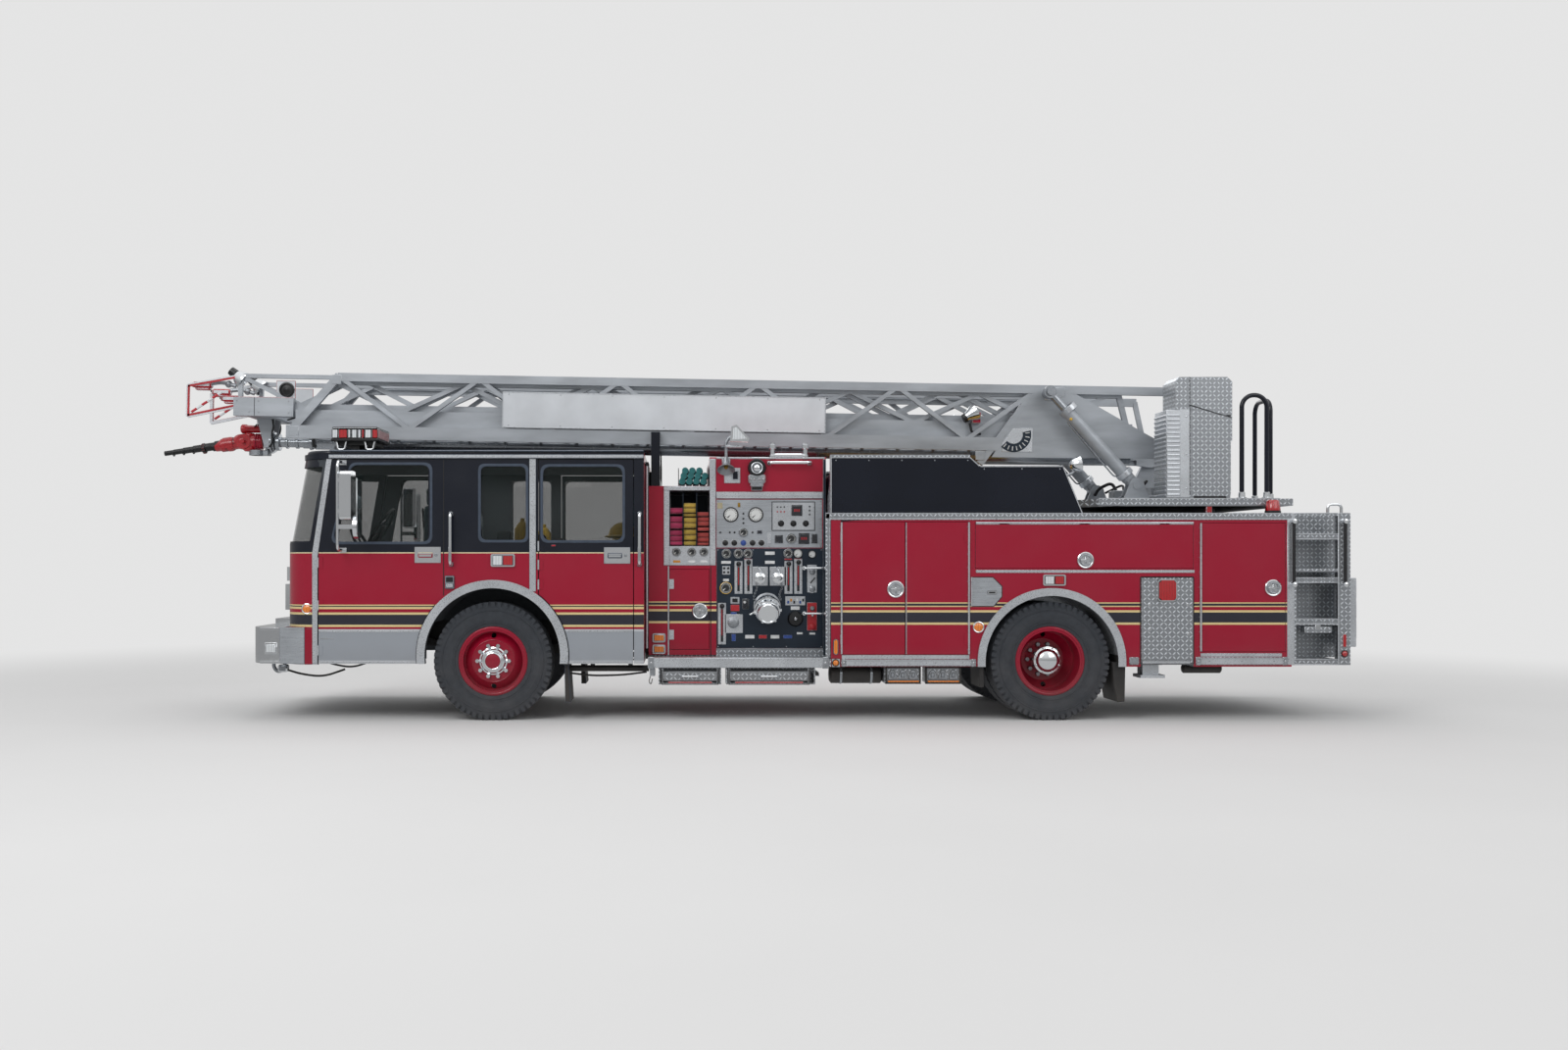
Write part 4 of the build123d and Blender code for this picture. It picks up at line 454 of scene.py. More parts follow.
def mix_finishes(paint):
    red, navy, silver = tuple(paint.body), tuple(paint.upper), tuple(paint.ladder)
    paint_cab("livery_enamel", paint, skirt=True)
    paint_cab("locker_enamel", paint, skirt=False)
    roll_treadplate("treadplate", linear("CDD2D8"), 54)
    # Brushed stainless sheet: broad soft highlights on the skirt and the pump panel.
    brush_metal("brushed_stainless", linear("BFC4CA"), 0.3)
    # Anodised extruded aluminium: the satin trims and rub rails, drawn lengthways through a die.
    brush_metal("anodised_trim", linear("D2D6DB"), 0.3, stretch=(0.4, 1, 0.4), size_mm=4)
    # Bare steel tube, turned and oiled: the lift rods.
    brush_metal("ground_steel", linear("A8ADB3"), 0.2, stretch=(1, 1, 0.2), size_mm=10)

    # Sprayed two-pack enamel with a little orange peel: wheels, header and tail trims.
    tree, shader = start_finish("red_enamel", red, 0.3, Specular_IOR_Level=0.25, Coat_Weight=0.3, Coat_Roughness=0.06)
    road_film(tree, shader, mottle(tree, shader, red, 300, 0.9), linear("5E4A46"), 760)
    emboss(tree, shader, grain(tree, 9, detail=1), 0.12, 0.25)
    # Navy enamel: nearly black, seen mostly by what it reflects.
    tree, shader = start_finish("navy_enamel", navy, 0.25, Specular_IOR_Level=0.25, Coat_Weight=0.35,
                                Coat_Roughness=0.04)
    mottle(tree, shader, navy, 500, 0.8, (0.2, 0.3))
    # Aluminium paint over alloy sections: matt silver with long streaks of handling and weather.
    tree, shader = start_finish("ladder_silver", silver, 0.48, 0.45)
    streaks = ramp(tree, grain(tree, 130, stretch=(0.25, 1, 1)), (0.3, shade_of(silver, 0.78)),
                   (0.7, shade_of(silver, 1.08)))
    dye(tree, shader, streaks)
    emboss(tree, shader, grain(tree, 14), 0.3, 0.3)
    # Bright nickel-chrome plate: mirror-like, with a faint haze of fine scratches.
    tree, shader = start_finish("chrome", linear("E4E7EA"), 0.08, 1.0)
    haze = ramp(tree, grain(tree, 25), (0.35, grey(0.05)), (0.75, grey(0.16)))
    tree.links.new(haze, shader.inputs["Roughness"])
    # Chassis black: satin paint under a coat of road dust.
    tree, shader = start_finish("chassis_black", linear("17181A"), 0.55)
    road_film(tree, shader, linear("17181A"), linear("554E48"), 900)
    emboss(tree, shader, grain(tree, 12), 0.4, 0.4)
    # Tyre rubber: carbon black gone blue-grey with dust, matt, with a fine moulded skin.
    rubber = linear("30353C")
    tree, shader = start_finish("tyre_rubber", rubber, 0.88)
    road_film(tree, shader, mottle(tree, shader, rubber, 45, 0.8), linear("5B5A5B"), 1300)
    emboss(tree, shader, grain(tree, 7), 0.5, 0.6)
    # Black rubber: mudflaps, hoses and door edges.
    tree, shader = start_finish("black_rubber", linear("1B1C1F"), 0.7)
    road_film(tree, shader, mottle(tree, shader, linear("1B1C1F"), 60, 0.7), linear("5A554F"), 700)
    # Toughened glass with a grey-green tint, and a film of dust in faint lighter patches over the pane.
    tree, shader = start_finish("tinted_glass", linear("0C1514"), 0.03, IOR=1.52, Alpha=0.36)
    film = ramp(tree, grain(tree, 300), (0.3, linear("0A1312")), (0.8, linear("1C2725")))
    dye(tree, shader, film)
    # Silvered mirror glass.
    tree, shader = start_finish("mirror_glass", linear("DDE3E6"), 0.02, 1.0)
    haze = ramp(tree, grain(tree, 60), (0.4, grey(0.02)), (0.8, grey(0.09)))
    tree.links.new(haze, shader.inputs["Roughness"])
    for name, code in (("red_lens", "B3121C"), ("clear_lens", "D8DDE0"), ("amber_lens", "EC8420"),
                       ("yellow_lens", "E2B32A")):
        mould_lens(name, linear(code))
    # Coated cloth over foam: seat covers with a fine plain weave.
    weave_jacket("seat_cloth", linear("46606A"), 5)
    weave_jacket("gear_yellow", linear("C4A22C"), 7)
    for name, code in (("hose_pink", "C23A66"), ("hose_yellow", "CFAE4A"), ("hose_coral", "C9514C"),
                       ("hose_teal", "2E7E80"), ("hose_cream", "C9BE9E"), ("hose_red", "A8232E")):
        weave_jacket(name, linear(code), 7)
    for name, code, roughness, metallic, sockets, drift, skin in DRIFTING:
        tree, shader = start_finish(name, linear(code), roughness, metallic, **sockets)
        mottle(tree, shader, linear(code), *drift)
        if skin:
            size_mm, *relief = skin
            emboss(tree, shader, grain(tree, size_mm), *relief)
    print_dial("white_dial", linear("D2D4D3"), linear("15171A"))
    print_dial("dark_dial", linear("16181C"), linear("E6E7E4"))
    # Reflective sheeting in slanting red and white bars.
    tree, shader = start_finish("striped_sheeting", linear("C9202C"), 0.35, Coat_Weight=0.5)
    bars = blend_colours(tree, stripes(tree, (1, 0, 1), 170, 0.5), linear("DADDE0"), linear("B5182A"))
    dye(tree, shader, bars)


def flipped(side):
    """Tables for one flank hold positive distances outwards; the left flank is their mirror image."""
    return Matrix.Scale(side, 4, (0, 1, 0))


def tipped(spot, angle, axis):
    """A place at the spot, turned about an axis."""
    return Matrix.Translation(spot) @ Matrix.Rotation(angle, 4, axis)


# Where a distance along an axis and two flat coordinates go.
SPREADS = {"X": lambda t, a, b: (t, a, b), "Y": lambda t, a, b: (a, t, b), "Z": lambda t, a, b: (a, b, t)}


class Shape:
    """One piece of the vehicle, built up from simple solids in millimetres, each with its own finish."""

    def __init__(self, place=None):
        self.mesh = bmesh.new()
        self.materials = []
        self.place = place or Matrix.Identity(4)

    def index(self, finish):
        if finish not in self.materials:
            self.materials.append(finish)
        return self.materials.index(finish)

    def add(self, points, faces, finish, place=None, bevel=0.0):
        """Adds points and faces, which are tuples of point numbers; a bevel rounds their sharp edges."""
        spot = place or Matrix.Identity(4)
        made = [self.mesh.verts.new(spot @ Vector(point)) for point in points]
        number = self.index(finish)
        new_faces = []
        for face in faces:
            built = self.mesh.faces.new([made[i] for i in face])
            built.material_index = number
            new_faces.append(built)
        if bevel:
            edges = {edge for face in new_faces for edge in face.edges}
            bmesh.ops.bevel(self.mesh, geom=list(edges), offset=bevel, segments=1, profile=0.5, affect="EDGES")

    def box(self, low, high, finish, bevel=0.0, place=None):
        ends = [sorted(pair) for pair in zip(low, high)]
        points = [(x, y, z) for x in ends[0] for y in ends[1] for z in ends[2]]
        faces = ((0, 1, 3, 2), (4, 6, 7, 5), (0, 4, 5, 1), (2, 3, 7, 6), (0, 2, 6, 4), (1, 5, 7, 3))
        self.add(points, faces, finish, place, bevel)

    def studs(self, out, spots, radius, height, finish, edge, steps):
        """Round heads that stand on a flank at (station, height) spots."""
        for station, level in spots:
            self.disc((station, out, level), "Y", radius, 0, height, finish, edge, steps)

    def plates(self, out, *rows):
        """Plates on a flank; columns: front, rear, bottom, top, inner and outer face from out, finish, bevel."""
        for front, rear, low, high, inner, outer, *looks in rows:
            self.box((front, out + inner, low), (rear, out + outer, high), *looks)

    def prism(self, outline, axis, start, end, finish, bevel=0.0, place=None):
        """Pulls an outline along an axis; it lists (y, z), (x, z) or (x, y) for the axes X, Y and Z."""
        spread = SPREADS[axis]
        count = len(outline)
        points = [spread(t, a, b) for t in (start, end) for a, b in outline]
        faces = [tuple(range(count)), tuple(range(2 * count - 1, count - 1, -1))]
        faces += [(i, (i + 1) % count, (i + 1) % count + count, i + count) for i in range(count)]
        self.add(points, faces, finish, place, bevel)

    def band(self, inner, outer, axis, start, end, finish, place=None):
        """A frame between two outlines with the same number of points."""
        spread = SPREADS[axis]
        count = len(outer)
        rings = [[spread(t, a, b) for a, b in line] for t in (start, end) for line in (inner, outer)]
        points = [point for ring in rings for point in ring]
        faces = []
        for i in range(count):
            j = (i + 1) % count
            for first, second in ((0, 1), (1, 3), (3, 2), (2, 0)):
                faces.append((first * count + i, first * count + j, second * count + j, second * count + i))
        self.add(points, faces, finish, place)

    def lathe(self, centre, axis, profile, finish, steps=32, place=None):
        """Turns a profile of (distance along the axis, radius) about a centre."""
        turned = {"X": Matrix.Rotation(pi / 2, 4, "Y"), "Y": Matrix.Rotation(-pi / 2, 4, "X"),
                  "Z": Matrix.Identity(4)}[axis]
        spot = (place or Matrix.Identity(4)) @ Matrix.Translation(centre) @ turned
        rings, points = [], []
        for distance, radius in profile:
            if radius == 0:
                rings.append([len(points)])
                points.append((0, 0, distance))
            else:
                rings.append(list(range(len(points), len(points) + steps)))
                angles = [2 * pi * i / steps for i in range(steps)]
                points += [(radius * cos(a), radius * sin(a), distance) for a in angles]
        faces = []
        for near, far in zip(rings, rings[1:]):
            for i in range(steps):
                j = (i + 1) % steps
                corner = [near[i % len(near)], near[j % len(near)], far[j % len(far)], far[i % len(far)]]
                corner = list(dict.fromkeys(corner))
                if len(corner) > 2:
                    faces.append(tuple(corner))
        self.add(points, faces, finish, spot)

    def disc(self, centre, axis, radius, start, end, finish, edge=0.0, steps=32, place=None):
        """A round plate or rod from start to end along the axis, with its outer edge rounded off."""
        drop = edge if end > start else -edge
        self.lathe(centre, axis, [(start, 0), (start, radius), (end - drop, radius), (end, radius - edge), (end, 0)],
                   finish, steps, place)

    def ring(self, centre, axis, radius, thickness, finish, steps=32, sides=10, flat=1.0):
        """A round ring; flat squeezes its section along the axis."""
        turns = [2 * pi * i / sides for i in range(sides + 1)]
        self.lathe(centre, axis, [(thickness * flat * sin(t), radius + thickness * cos(t)) for t in turns], finish,
                   steps)

    def tube(self, points, radius, finish, bend=0.0, sides=12, closed=False, place=None):
        """A rod or pipe along points, with its corners rounded to the bend radius and its ends closed."""
        line = soften([Vector(p) for p in points], bend, closed)
        count = len(line)
        rings, vertices, faces = [], [], []
        normal = None
        for i, here in enumerate(line):
            before = line[i - 1] if i or closed else here
            after = line[(i + 1) % count] if i < count - 1 or closed else here
            heading = (after - before).normalized()
            if normal is None:
                guess = Vector((0, 0, 1)) if abs(heading.z) < 0.9 else Vector((1, 0, 0))
                normal = heading.cross(guess).normalized()
            normal = (normal - heading * normal.dot(heading)).normalized()
            other = heading.cross(normal)
            rings.append(range(len(vertices), len(vertices) + sides))
            vertices += [here + radius * (normal * cos(a) + other * sin(a)) for a in
                         (2 * pi * k / sides for k in range(sides))]
        pairs = list(zip(rings, rings[1:])) + ([(rings[-1], rings[0])] if closed else [])
        for near, far in pairs:
            faces += [(near[k], near[(k + 1) % sides], far[(k + 1) % sides], far[k]) for k in range(sides)]
        if not closed:
            faces += [tuple(rings[0]), tuple(reversed(rings[-1]))]
        self.add(vertices, faces, finish, place)

    def grown(self, mesh, place=None):
        """Adds a mesh that Geometry Nodes made, already in millimetres."""
        number = self.index(next(material.name for material in mesh.materials if material))
        spot = place or Matrix.Identity(4)
        made = [self.mesh.verts.new(spot @ vertex.co) for vertex in mesh.vertices]
        for face in mesh.polygons:
            built = self.mesh.faces.new([made[i] for i in face.vertices])
            built.material_index = number
        bpy.data.meshes.remove(mesh)

    def cad(self, node, choose):
        """Adds a merged copy of a CAD node; choose(centre, normal) names each face's finish, or None for no face."""
        source = frame["nodes"][node].data
        copy = bmesh.new()
        copy.from_mesh(source)
        bmesh.ops.remove_doubles(copy, verts=copy.verts, dist=0.00002)
        back = self.place.inverted() @ TO_FRAME.inverted()
        turn = back.to_3x3()
        made = {vertex: self.mesh.verts.new(back @ vertex.co) for vertex in copy.verts}
        for face in copy.faces:
            if face.calc_area() < 1e-12:
                continue
            finish = choose(back @ face.calc_center_median(), (turn @ face.normal).normalized())
            if finish is None:
                continue
            try:
                built = self.mesh.faces.new([made[vertex] for vertex in face.verts])
            except ValueError:
                continue
            built.material_index = self.index(finish)
        copy.free()

    def finish(self, name, body, slot, *replaced, sharp=40.0):
        """Turns the piece into an object in the vehicle's frame, riding on a body."""
        loose = [vertex for vertex in self.mesh.verts if not vertex.link_faces]
        bmesh.ops.delete(self.mesh, geom=loose, context="VERTS")
        bmesh.ops.recalc_face_normals(self.mesh, faces=self.mesh.faces)
        mesh = bpy.data.meshes.new(name)
        self.mesh.transform(TO_FRAME @ self.place)
        if self.place.determinant() < 0:
            bmesh.ops.reverse_faces(self.mesh, faces=self.mesh.faces)
        self.mesh.to_mesh(mesh)
        self.mesh.free()
        for finish in self.materials:
            mesh.materials.append(finishes[finish])
        mesh.shade_smooth()
        mesh.set_sharp_from_angle(angle=radians(sharp))
        piece = bpy.data.objects.new(name, mesh)
        bpy.context.scene.collection.objects.link(piece)
        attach(piece, body)
        if replaced:
            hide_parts(*replaced)
        return piece


def soften(points, bend, closed=False):
    """Replaces each corner of a line with a short arc whose tangents start at most bend from it."""
    if not bend:
        return points
    count = len(points)
    line = []
    for i, corner in enumerate(points):
        if not closed and i in (0, count - 1):
            line.append(corner)
            continue
        before, after = points[i - 1] - corner, points[(i + 1) % count] - corner
        reach = min(bend, before.length * 0.48, after.length * 0.48)
        start, end = corner + before.normalized() * reach, corner + after.normalized() * reach
        for step in range(7):
            t = step / 6
            line.append(start * (1 - t) ** 2 + corner * 2 * t * (1 - t) + end * t * t)
    return line


def rounded(low_a, high_a, low_b, high_b, radius, steps=5):
    """A rectangle with rounded corners, as an outline of (a, b) points."""
    corners = ((high_a, high_b, 0), (low_a, high_b, 1), (low_a, low_b, 2), (high_a, low_b, 3))
    outline = []
    for a, b, quarter in corners:
        centre_a = a - radius if a == high_a else a + radius
        centre_b = b - radius if b == high_b else b + radius
        for step in range(steps + 1):
            angle = (quarter + step / steps) * pi / 2
            outline.append((centre_a + radius * cos(angle), centre_b + radius * sin(angle)))
    return outline


def start_tree(name, **sizes):
    """A Geometry Nodes tree with named inputs, and its input node."""
    tree = bpy.data.node_groups.new(name, "GeometryNodeTree")
    for title, (kind, default) in sizes.items():
        socket = tree.interface.new_socket(title.replace("_", " "), in_out="INPUT", socket_type=kind)
        if default is not None:
            socket.default_value = default
    tree.interface.new_socket("Material", in_out="INPUT", socket_type="NodeSocketMaterial")
    tree.interface.new_socket("Geometry", in_out="OUTPUT", socket_type="NodeSocketGeometry")
    return tree, add_node(tree, "NodeGroupInput").outputs


def end_tree(tree, given, points, thing, **more):
    """Sets the thing on every point, makes that real, gives it its finish and closes the tree."""
    instances = add_node(tree, "GeometryNodeInstanceOnPoints", inputs={
        "Points": points, "Instance": thing, **more,
    }).outputs["Instances"]
    real = add_node(tree, "GeometryNodeRealizeInstances", inputs={"Geometry": instances}).outputs["Geometry"]
    dressed = add_node(tree, "GeometryNodeSetMaterial", inputs={"Geometry": real, "Material": given["Material"]})
    add_node(tree, "NodeGroupOutput", inputs={"Geometry": dressed.outputs["Geometry"]})
    return tree


def grow(tree, finish, **values):
    """Runs a tree once and gives its result as a plain mesh."""
    holder = bpy.data.objects.new("grower", bpy.data.meshes.new("grower"))
    bpy.context.scene.collection.objects.link(holder)
    modifier = holder.modifiers.new("Grow", "NODES")
    modifier.node_group = tree
    sockets = {item.name: item.identifier for item in tree.interface.items_tree if item.in_out == "INPUT"}
    modifier[sockets["Material"]] = finishes[finish]
    for name, value in values.items():
        modifier[sockets[name.replace("_", " ")]] = value
    graph = bpy.context.evaluated_depsgraph_get()
    mesh = bpy.data.meshes.new_from_object(holder.evaluated_get(graph), depsgraph=graph)
    bpy.data.objects.remove(holder)
    return mesh


FLOAT, WHOLE, POINT = "NodeSocketFloat", "NodeSocketInt", "NodeSocketVector"
trees = {}


def plan_round_nuts():
    """Hexagonal nuts standing on a circle about Z."""
    tree, given = start_tree("nuts_on_circle", Count=(WHOLE, 10), Circle=(FLOAT, 143.0), Size=(FLOAT, 20.0),
                             Height=(FLOAT, 24.0))
    circle = add_node(tree, "GeometryNodeMeshCircle", inputs={"Vertices": given["Count"], "Radius": given["Circle"]})
    nut = add_node(tree, "GeometryNodeMeshCone", inputs={
        "Vertices": 6, "Radius Bottom": given["Size"], "Depth": given["Height"],
        "Radius Top": calc(tree, "MULTIPLY", given["Size"], 0.82),
    })
    return end_tree(tree, given, circle.outputs["Mesh"], nut.outputs["Mesh"])


def plan_rivets():
    """Domed rivets along a straight line, facing the way that Facing points."""
    tree, given = start_tree("rivet_row", Start=(POINT, None), End=(POINT, None), Pitch=(FLOAT, 300.0),
                             Radius=(FLOAT, 7.0), Facing=(POINT, (0.0, 1.0, 0.0)))
    row = add_node(tree, "GeometryNodeMeshLine", {"mode": "END_POINTS", "count_mode": "RESOLUTION"}, {
        "Start Location": given["Start"], "Offset": given["End"], "Resolution": given["Pitch"],
    })
    dome = add_node(tree, "GeometryNodeMeshUVSphere", inputs={"Segments": 10, "Rings": 6, "Radius": given["Radius"]})
    turned = add_node(tree, "FunctionNodeAlignRotationToVector", {"axis": "Z"}, {"Vector": given["Facing"]})
    return end_tree(tree, given, row.outputs["Mesh"], dome.outputs["Mesh"], Rotation=turned.outputs["Rotation"],
                    Scale=(1, 1, 0.45))


def plan_blocks():
    """Blocks round a circle about Z, long way along the axis, as on a tyre's shoulders."""
    tree, given = start_tree("blocks_on_circle", Count=(WHOLE, 56), Circle=(FLOAT, 530.0), Depth=(FLOAT, 18.0),
                             Width=(FLOAT, 34.0), Length=(FLOAT, 70.0))
    circle = add_node(tree, "GeometryNodeMeshCircle", inputs={"Vertices": given["Count"], "Radius": given["Circle"]})
    size = combine(tree, X=given["Depth"], Y=given["Width"], Z=given["Length"])
    block = add_node(tree, "GeometryNodeMeshCube", inputs={"Size": size})
    step = calc(tree, "DIVIDE", 2 * pi, given["Count"])
    angle = calc(tree, "MULTIPLY", add_node(tree, "GeometryNodeInputIndex").outputs["Index"], step)
    turn = combine(tree, Z=angle)
    return end_tree(tree, given, circle.outputs["Mesh"], block.outputs["Mesh"], Rotation=turn)


def plan_folds():
    """Flat hose laid to and fro: rounded layers along X, each pushed in or out a little, with a fixed seed."""
    tree, given = start_tree("hose_folds", Count=(WHOLE, 8), Fold=(FLOAT, 50.0), Width=(FLOAT, 110.0),
                             Depth=(FLOAT, 400.0), Stray=(FLOAT, 14.0), Seed=(WHOLE, 7))
    rise = combine(tree, Z=given["Fold"])
    stack = add_node(tree, "GeometryNodeMeshLine", {"mode": "OFFSET"}, {
        "Count": given["Count"], "Start Location": (0, 0, 0), "Offset": rise,
    })
    half = calc(tree, "MULTIPLY", given["Fold"], 0.5)
    roll = add_node(tree, "GeometryNodeMeshCylinder", inputs={
        "Vertices": 14, "Radius": half, "Depth": given["Width"], "Side Segments": 1,
    })
    reach = calc(tree, "SUBTRACT", given["Depth"], given["Fold"])
    size = combine(tree, X=given["Width"], Y=reach, Z=given["Fold"])
    slab = add_node(tree, "GeometryNodeMeshCube", inputs={"Size": size})
    layer = add_node(tree, "GeometryNodeJoinGeometry")
    tree.links.new(slab.outputs["Mesh"], layer.inputs["Geometry"])
    for way in (-0.5, 0.5):
        end = calc(tree, "MULTIPLY", reach, way)
        spot = combine(tree, Y=end)
        bend = add_node(tree, "GeometryNodeTransform", inputs={
            "Geometry": roll.outputs["Mesh"], "Rotation": (0, pi / 2, 0), "Translation": spot,
        })
        tree.links.new(bend.outputs["Geometry"], layer.inputs["Geometry"])
    low = add_node(tree, "ShaderNodeVectorMath", {"operation": "SCALE"}, {0: (-0.25, -1, 0), "Scale": given["Stray"]})
    high = add_node(tree, "ShaderNodeVectorMath", {"operation": "SCALE"}, {0: (0.25, 0, 0), "Scale": given["Stray"]})
    stray = add_node(tree, "FunctionNodeRandomValue", {"data_type": "FLOAT_VECTOR"}, {
        "Min": low.outputs["Vector"], "Max": high.outputs["Vector"], "Seed": given["Seed"],
    })
    moved = add_node(tree, "GeometryNodeSetPosition",
                     inputs={"Geometry": stack.outputs["Mesh"], "Offset": stray.outputs["Value"]})
    return end_tree(tree, given, moved.outputs["Geometry"], layer.outputs["Geometry"], Scale=(1, 1, 0.96))


def plan_trees():
    trees.update(nuts=plan_round_nuts(), rivets=plan_rivets(), blocks=plan_blocks(), folds=plan_folds())


def both_flanks():
    """For each flank: its name, and the matrix for tables with distances positive outwards."""
    return [(label, flipped(side)) for label, side in SIDES.items()]


TYRE_CENTRE = 1050.0
DUAL_DISC = 880.0


class DressWheels(bpy.types.Operator):
    """Chromed hubs, nuts, bright lips and tread blocks on all wheels"""

    bl_idname = "fire_engine.dress_wheels"
    bl_label = "Dress the wheels"

    def execute(self, context):
        sizes = context.scene.fire_engine_sizes
        for label, flank in both_flanks():
            for axle, station in (("front", 0), ("rear", REAR_AXLE_STATION)):
                centre = Vector((station, 0, WHEEL_HEIGHT))
                rim = "front_rim" if axle == "front" else "rear_rims"
                tyre = "front_tyre" if axle == "front" else "rear_tyres"
                body = f"{axle}_wheel_{label}"
                shape = Shape(flank)
                shape.ring(centre + Vector((0, TYRE_CENTRE + 131, 0)), "Y", 302, 11, "red_enamel", steps=72, flat=0.7)
                if axle == "front":
                    self.front_hub(shape, centre)
                    nuts, face = ("chrome", 1150)
                else:
                    self.rear_hub(shape, centre)
                    nuts, face = ("cast_alloy", DUAL_DISC + 12)
                turn = tipped(centre + Vector((0, face, 0)), -pi / 2, "X")
                shape.grown(grow(trees["nuts"], nuts, Count=sizes.nut_count, Circle=145.0, Size=23.0, Height=34.0),
                            turn)
                shape.finish(f"{axle}_hub_trim_{label}", body, f"{rim}_{label}", sharp=35.0)
                self.tread(axle, label, flank, centre, body, f"{tyre}_{label}", sizes.tread_blocks)
        return {"FINISHED"}

    def front_hub(self, shape, centre):
        shape.lathe(centre, "Y", [(1148, 0), (1148, 128), (1156, 128), (1162, 116), (1180, 112), (1188, 104),
                                  (1190, 92), (1197, 90), (1197, 0)], "chrome", 40)
        shape.lathe(centre, "Y", [(1180, 0), (1197, 70), (1204, 66), (1209, 50), (1211, 0)], "red_enamel", 32)
        shape.ring(centre + Vector((0, 1201, 0)), "Y", 74, 6, "chrome", steps=36, sides=8)
        shape.ring(centre + Vector((0, 1151, 0)), "Y", 192, 5, "red_enamel", steps=64, sides=8)

    def rear_hub(self, shape, centre):
        shape.lathe(centre, "Y", [(DUAL_DISC, 0), (DUAL_DISC, 118), (DUAL_DISC + 30, 112), (DUAL_DISC + 180, 110),
                                  (DUAL_DISC + 190, 126), (DUAL_DISC + 206, 126), (DUAL_DISC + 214, 108),
                                  (1116, 98), (1138, 62), (1146, 0)], "chrome", 40)
        for i in range(8):
            angle = 2 * pi * (i + 0.5) / 8
            spot = centre + Vector((116 * cos(angle), DUAL_DISC + 204, 116 * sin(angle)))
            shape.disc(spot, "Y", 9, 0, 12, "chrome", 2, 12)

    def tread(self, axle, label, flank, centre, body, slot, count):
        shape = Shape(flank)
        middles = [TYRE_CENTRE] if axle == "front" else [TYRE_CENTRE, TYRE_CENTRE - 340]
        for middle in middles:
            for way in (-1, 1):
                blocks = grow(trees["blocks"], "tyre_rubber", Count=count, Circle=515.0, Depth=48.0, Width=36.0,
                              Length=46.0)
                spot = centre + Vector((0, middle + way * 120, 0))
                shape.grown(blocks, tipped(spot, -pi / 2, "X"))
        outer = TYRE_CENTRE + 150
        for radius, thick in ((352, 5), (372, 4), (462, 5)):
            shape.ring(centre + Vector((0, outer - 5, 0)), "Y", radius, thick, "tyre_rubber", steps=72, sides=6)
        shape.finish(f"{axle}_tread_{label}", body, slot, sharp=35.0)


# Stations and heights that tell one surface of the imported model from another
CAB_FRONT, CAB_REAR, CAB_ROOF, ARCH_TOP, PILLAR = -1640, 1370, 2380, 1400, -1590
PANE_SILL, PANE_HEAD = 1600, 2345
BODY_FRONT, LOCKER_SILL, LOCKER_TOP, BED_FLOOR = 3090, 560, 1880, 1900
BAY_FRONT, BAY_REAR, BAY_FLOOR, BAY_TOP = 1600, 1990, 1590, 2120
LAMP_STACKS, LAMP_STACK_WIDTH = 7815, 375
DECK_PLATE, DECK_MIDDLE, DECK_HOOPS = 2031, 1000, 7250
ROOF_LAMPS, BAR_COVER, TAIL_LAMPS, HEADLAMPS = 2450, 2563, 7000, -2200
SIGN_START, SIGN_END = 3300, 6700


def choose_cab(centre, normal):
    """Painted skin outside, trim on the proud arch lips, lining inside."""
    outward = normal.y * (1 if centre.y > 0 else -1)
    if abs(centre.y) > HALF_WIDTH + 2 and centre.z < ARCH_TOP:
        return "anodised_trim"
    if abs(centre.y) > HALF_WIDTH - 2 and outward > 0.3:
        return "livery_enamel"
    if normal.x < -0.3 and centre.x < CAB_FRONT:
        return "livery_enamel"
    if normal.x > 0.5 and centre.x > CAB_REAR:
        return "red_enamel"
    if centre.z > CAB_ROOF and (normal.z > 0.3 or abs(centre.y) > HALF_WIDTH - 60):
        return "navy_enamel"
    if abs(centre.y) > HALF_WIDTH - 330 and centre.x < PILLAR and outward > 0.05:
        return "livery_enamel"
    return "grey_lining"


def choose_door(centre, normal):
    """Enamel skin, glass in the pane, rubber round the edges, lining inside."""
    outward = normal.y * (1 if centre.y > 0 else -1)
    if abs(centre.y) > HALF_WIDTH + 6:
        return "anodised_trim"
    if abs(centre.y) > HALF_WIDTH - 1:
        return "livery_enamel" if outward > 0.5 or abs(centre.y) > HALF_WIDTH + 0.5 else "black_rubber"
    in_pane = HALF_WIDTH - 31.5 < abs(centre.y) < HALF_WIDTH - 6.4 and PANE_SILL < centre.z < PANE_HEAD
    if in_pane and abs(normal.y) > 0.9:
        return "tinted_glass"
    return "grey_lining" if outward < -0.5 else "black_rubber"


def choose_body(centre, normal):
    """Enamel sides, treadplate front and deck, navy bed, bright lower edges."""
    outward = normal.y * (1 if centre.y > 0 else -1)
    if abs(centre.y) > HALF_WIDTH + 1:
        return "anodised_trim"
    if centre.z > BED_FLOOR:
        return "navy_enamel"
    if centre.z > LOCKER_TOP and normal.z > 0.5:
        return "treadplate"
    if abs(centre.y) > HALF_WIDTH - 2 and outward > 0.5:
        return "locker_enamel"
    if normal.x < -0.5 and centre.x < BODY_FRONT:
        return "treadplate"
    if abs(centre.y) > HALF_WIDTH - 60 and abs(normal.y) < 0.3 and LOCKER_SILL < centre.z < LOCKER_TOP:
        return "red_enamel"
    return "anodised_trim" if centre.z > 600 else "chassis_black"


def choose_locker_door(centre, normal):
    outward = normal.y * (1 if centre.y > 0 else -1)
    if abs(centre.y) > HALF_WIDTH + 0.5:
        return "anodised_trim" if abs(centre.y) > HALF_WIDTH + 6 else "locker_enamel"
    return "locker_enamel" if outward > 0.5 and abs(centre.y) > HALF_WIDTH - 1 else "anodised_trim"


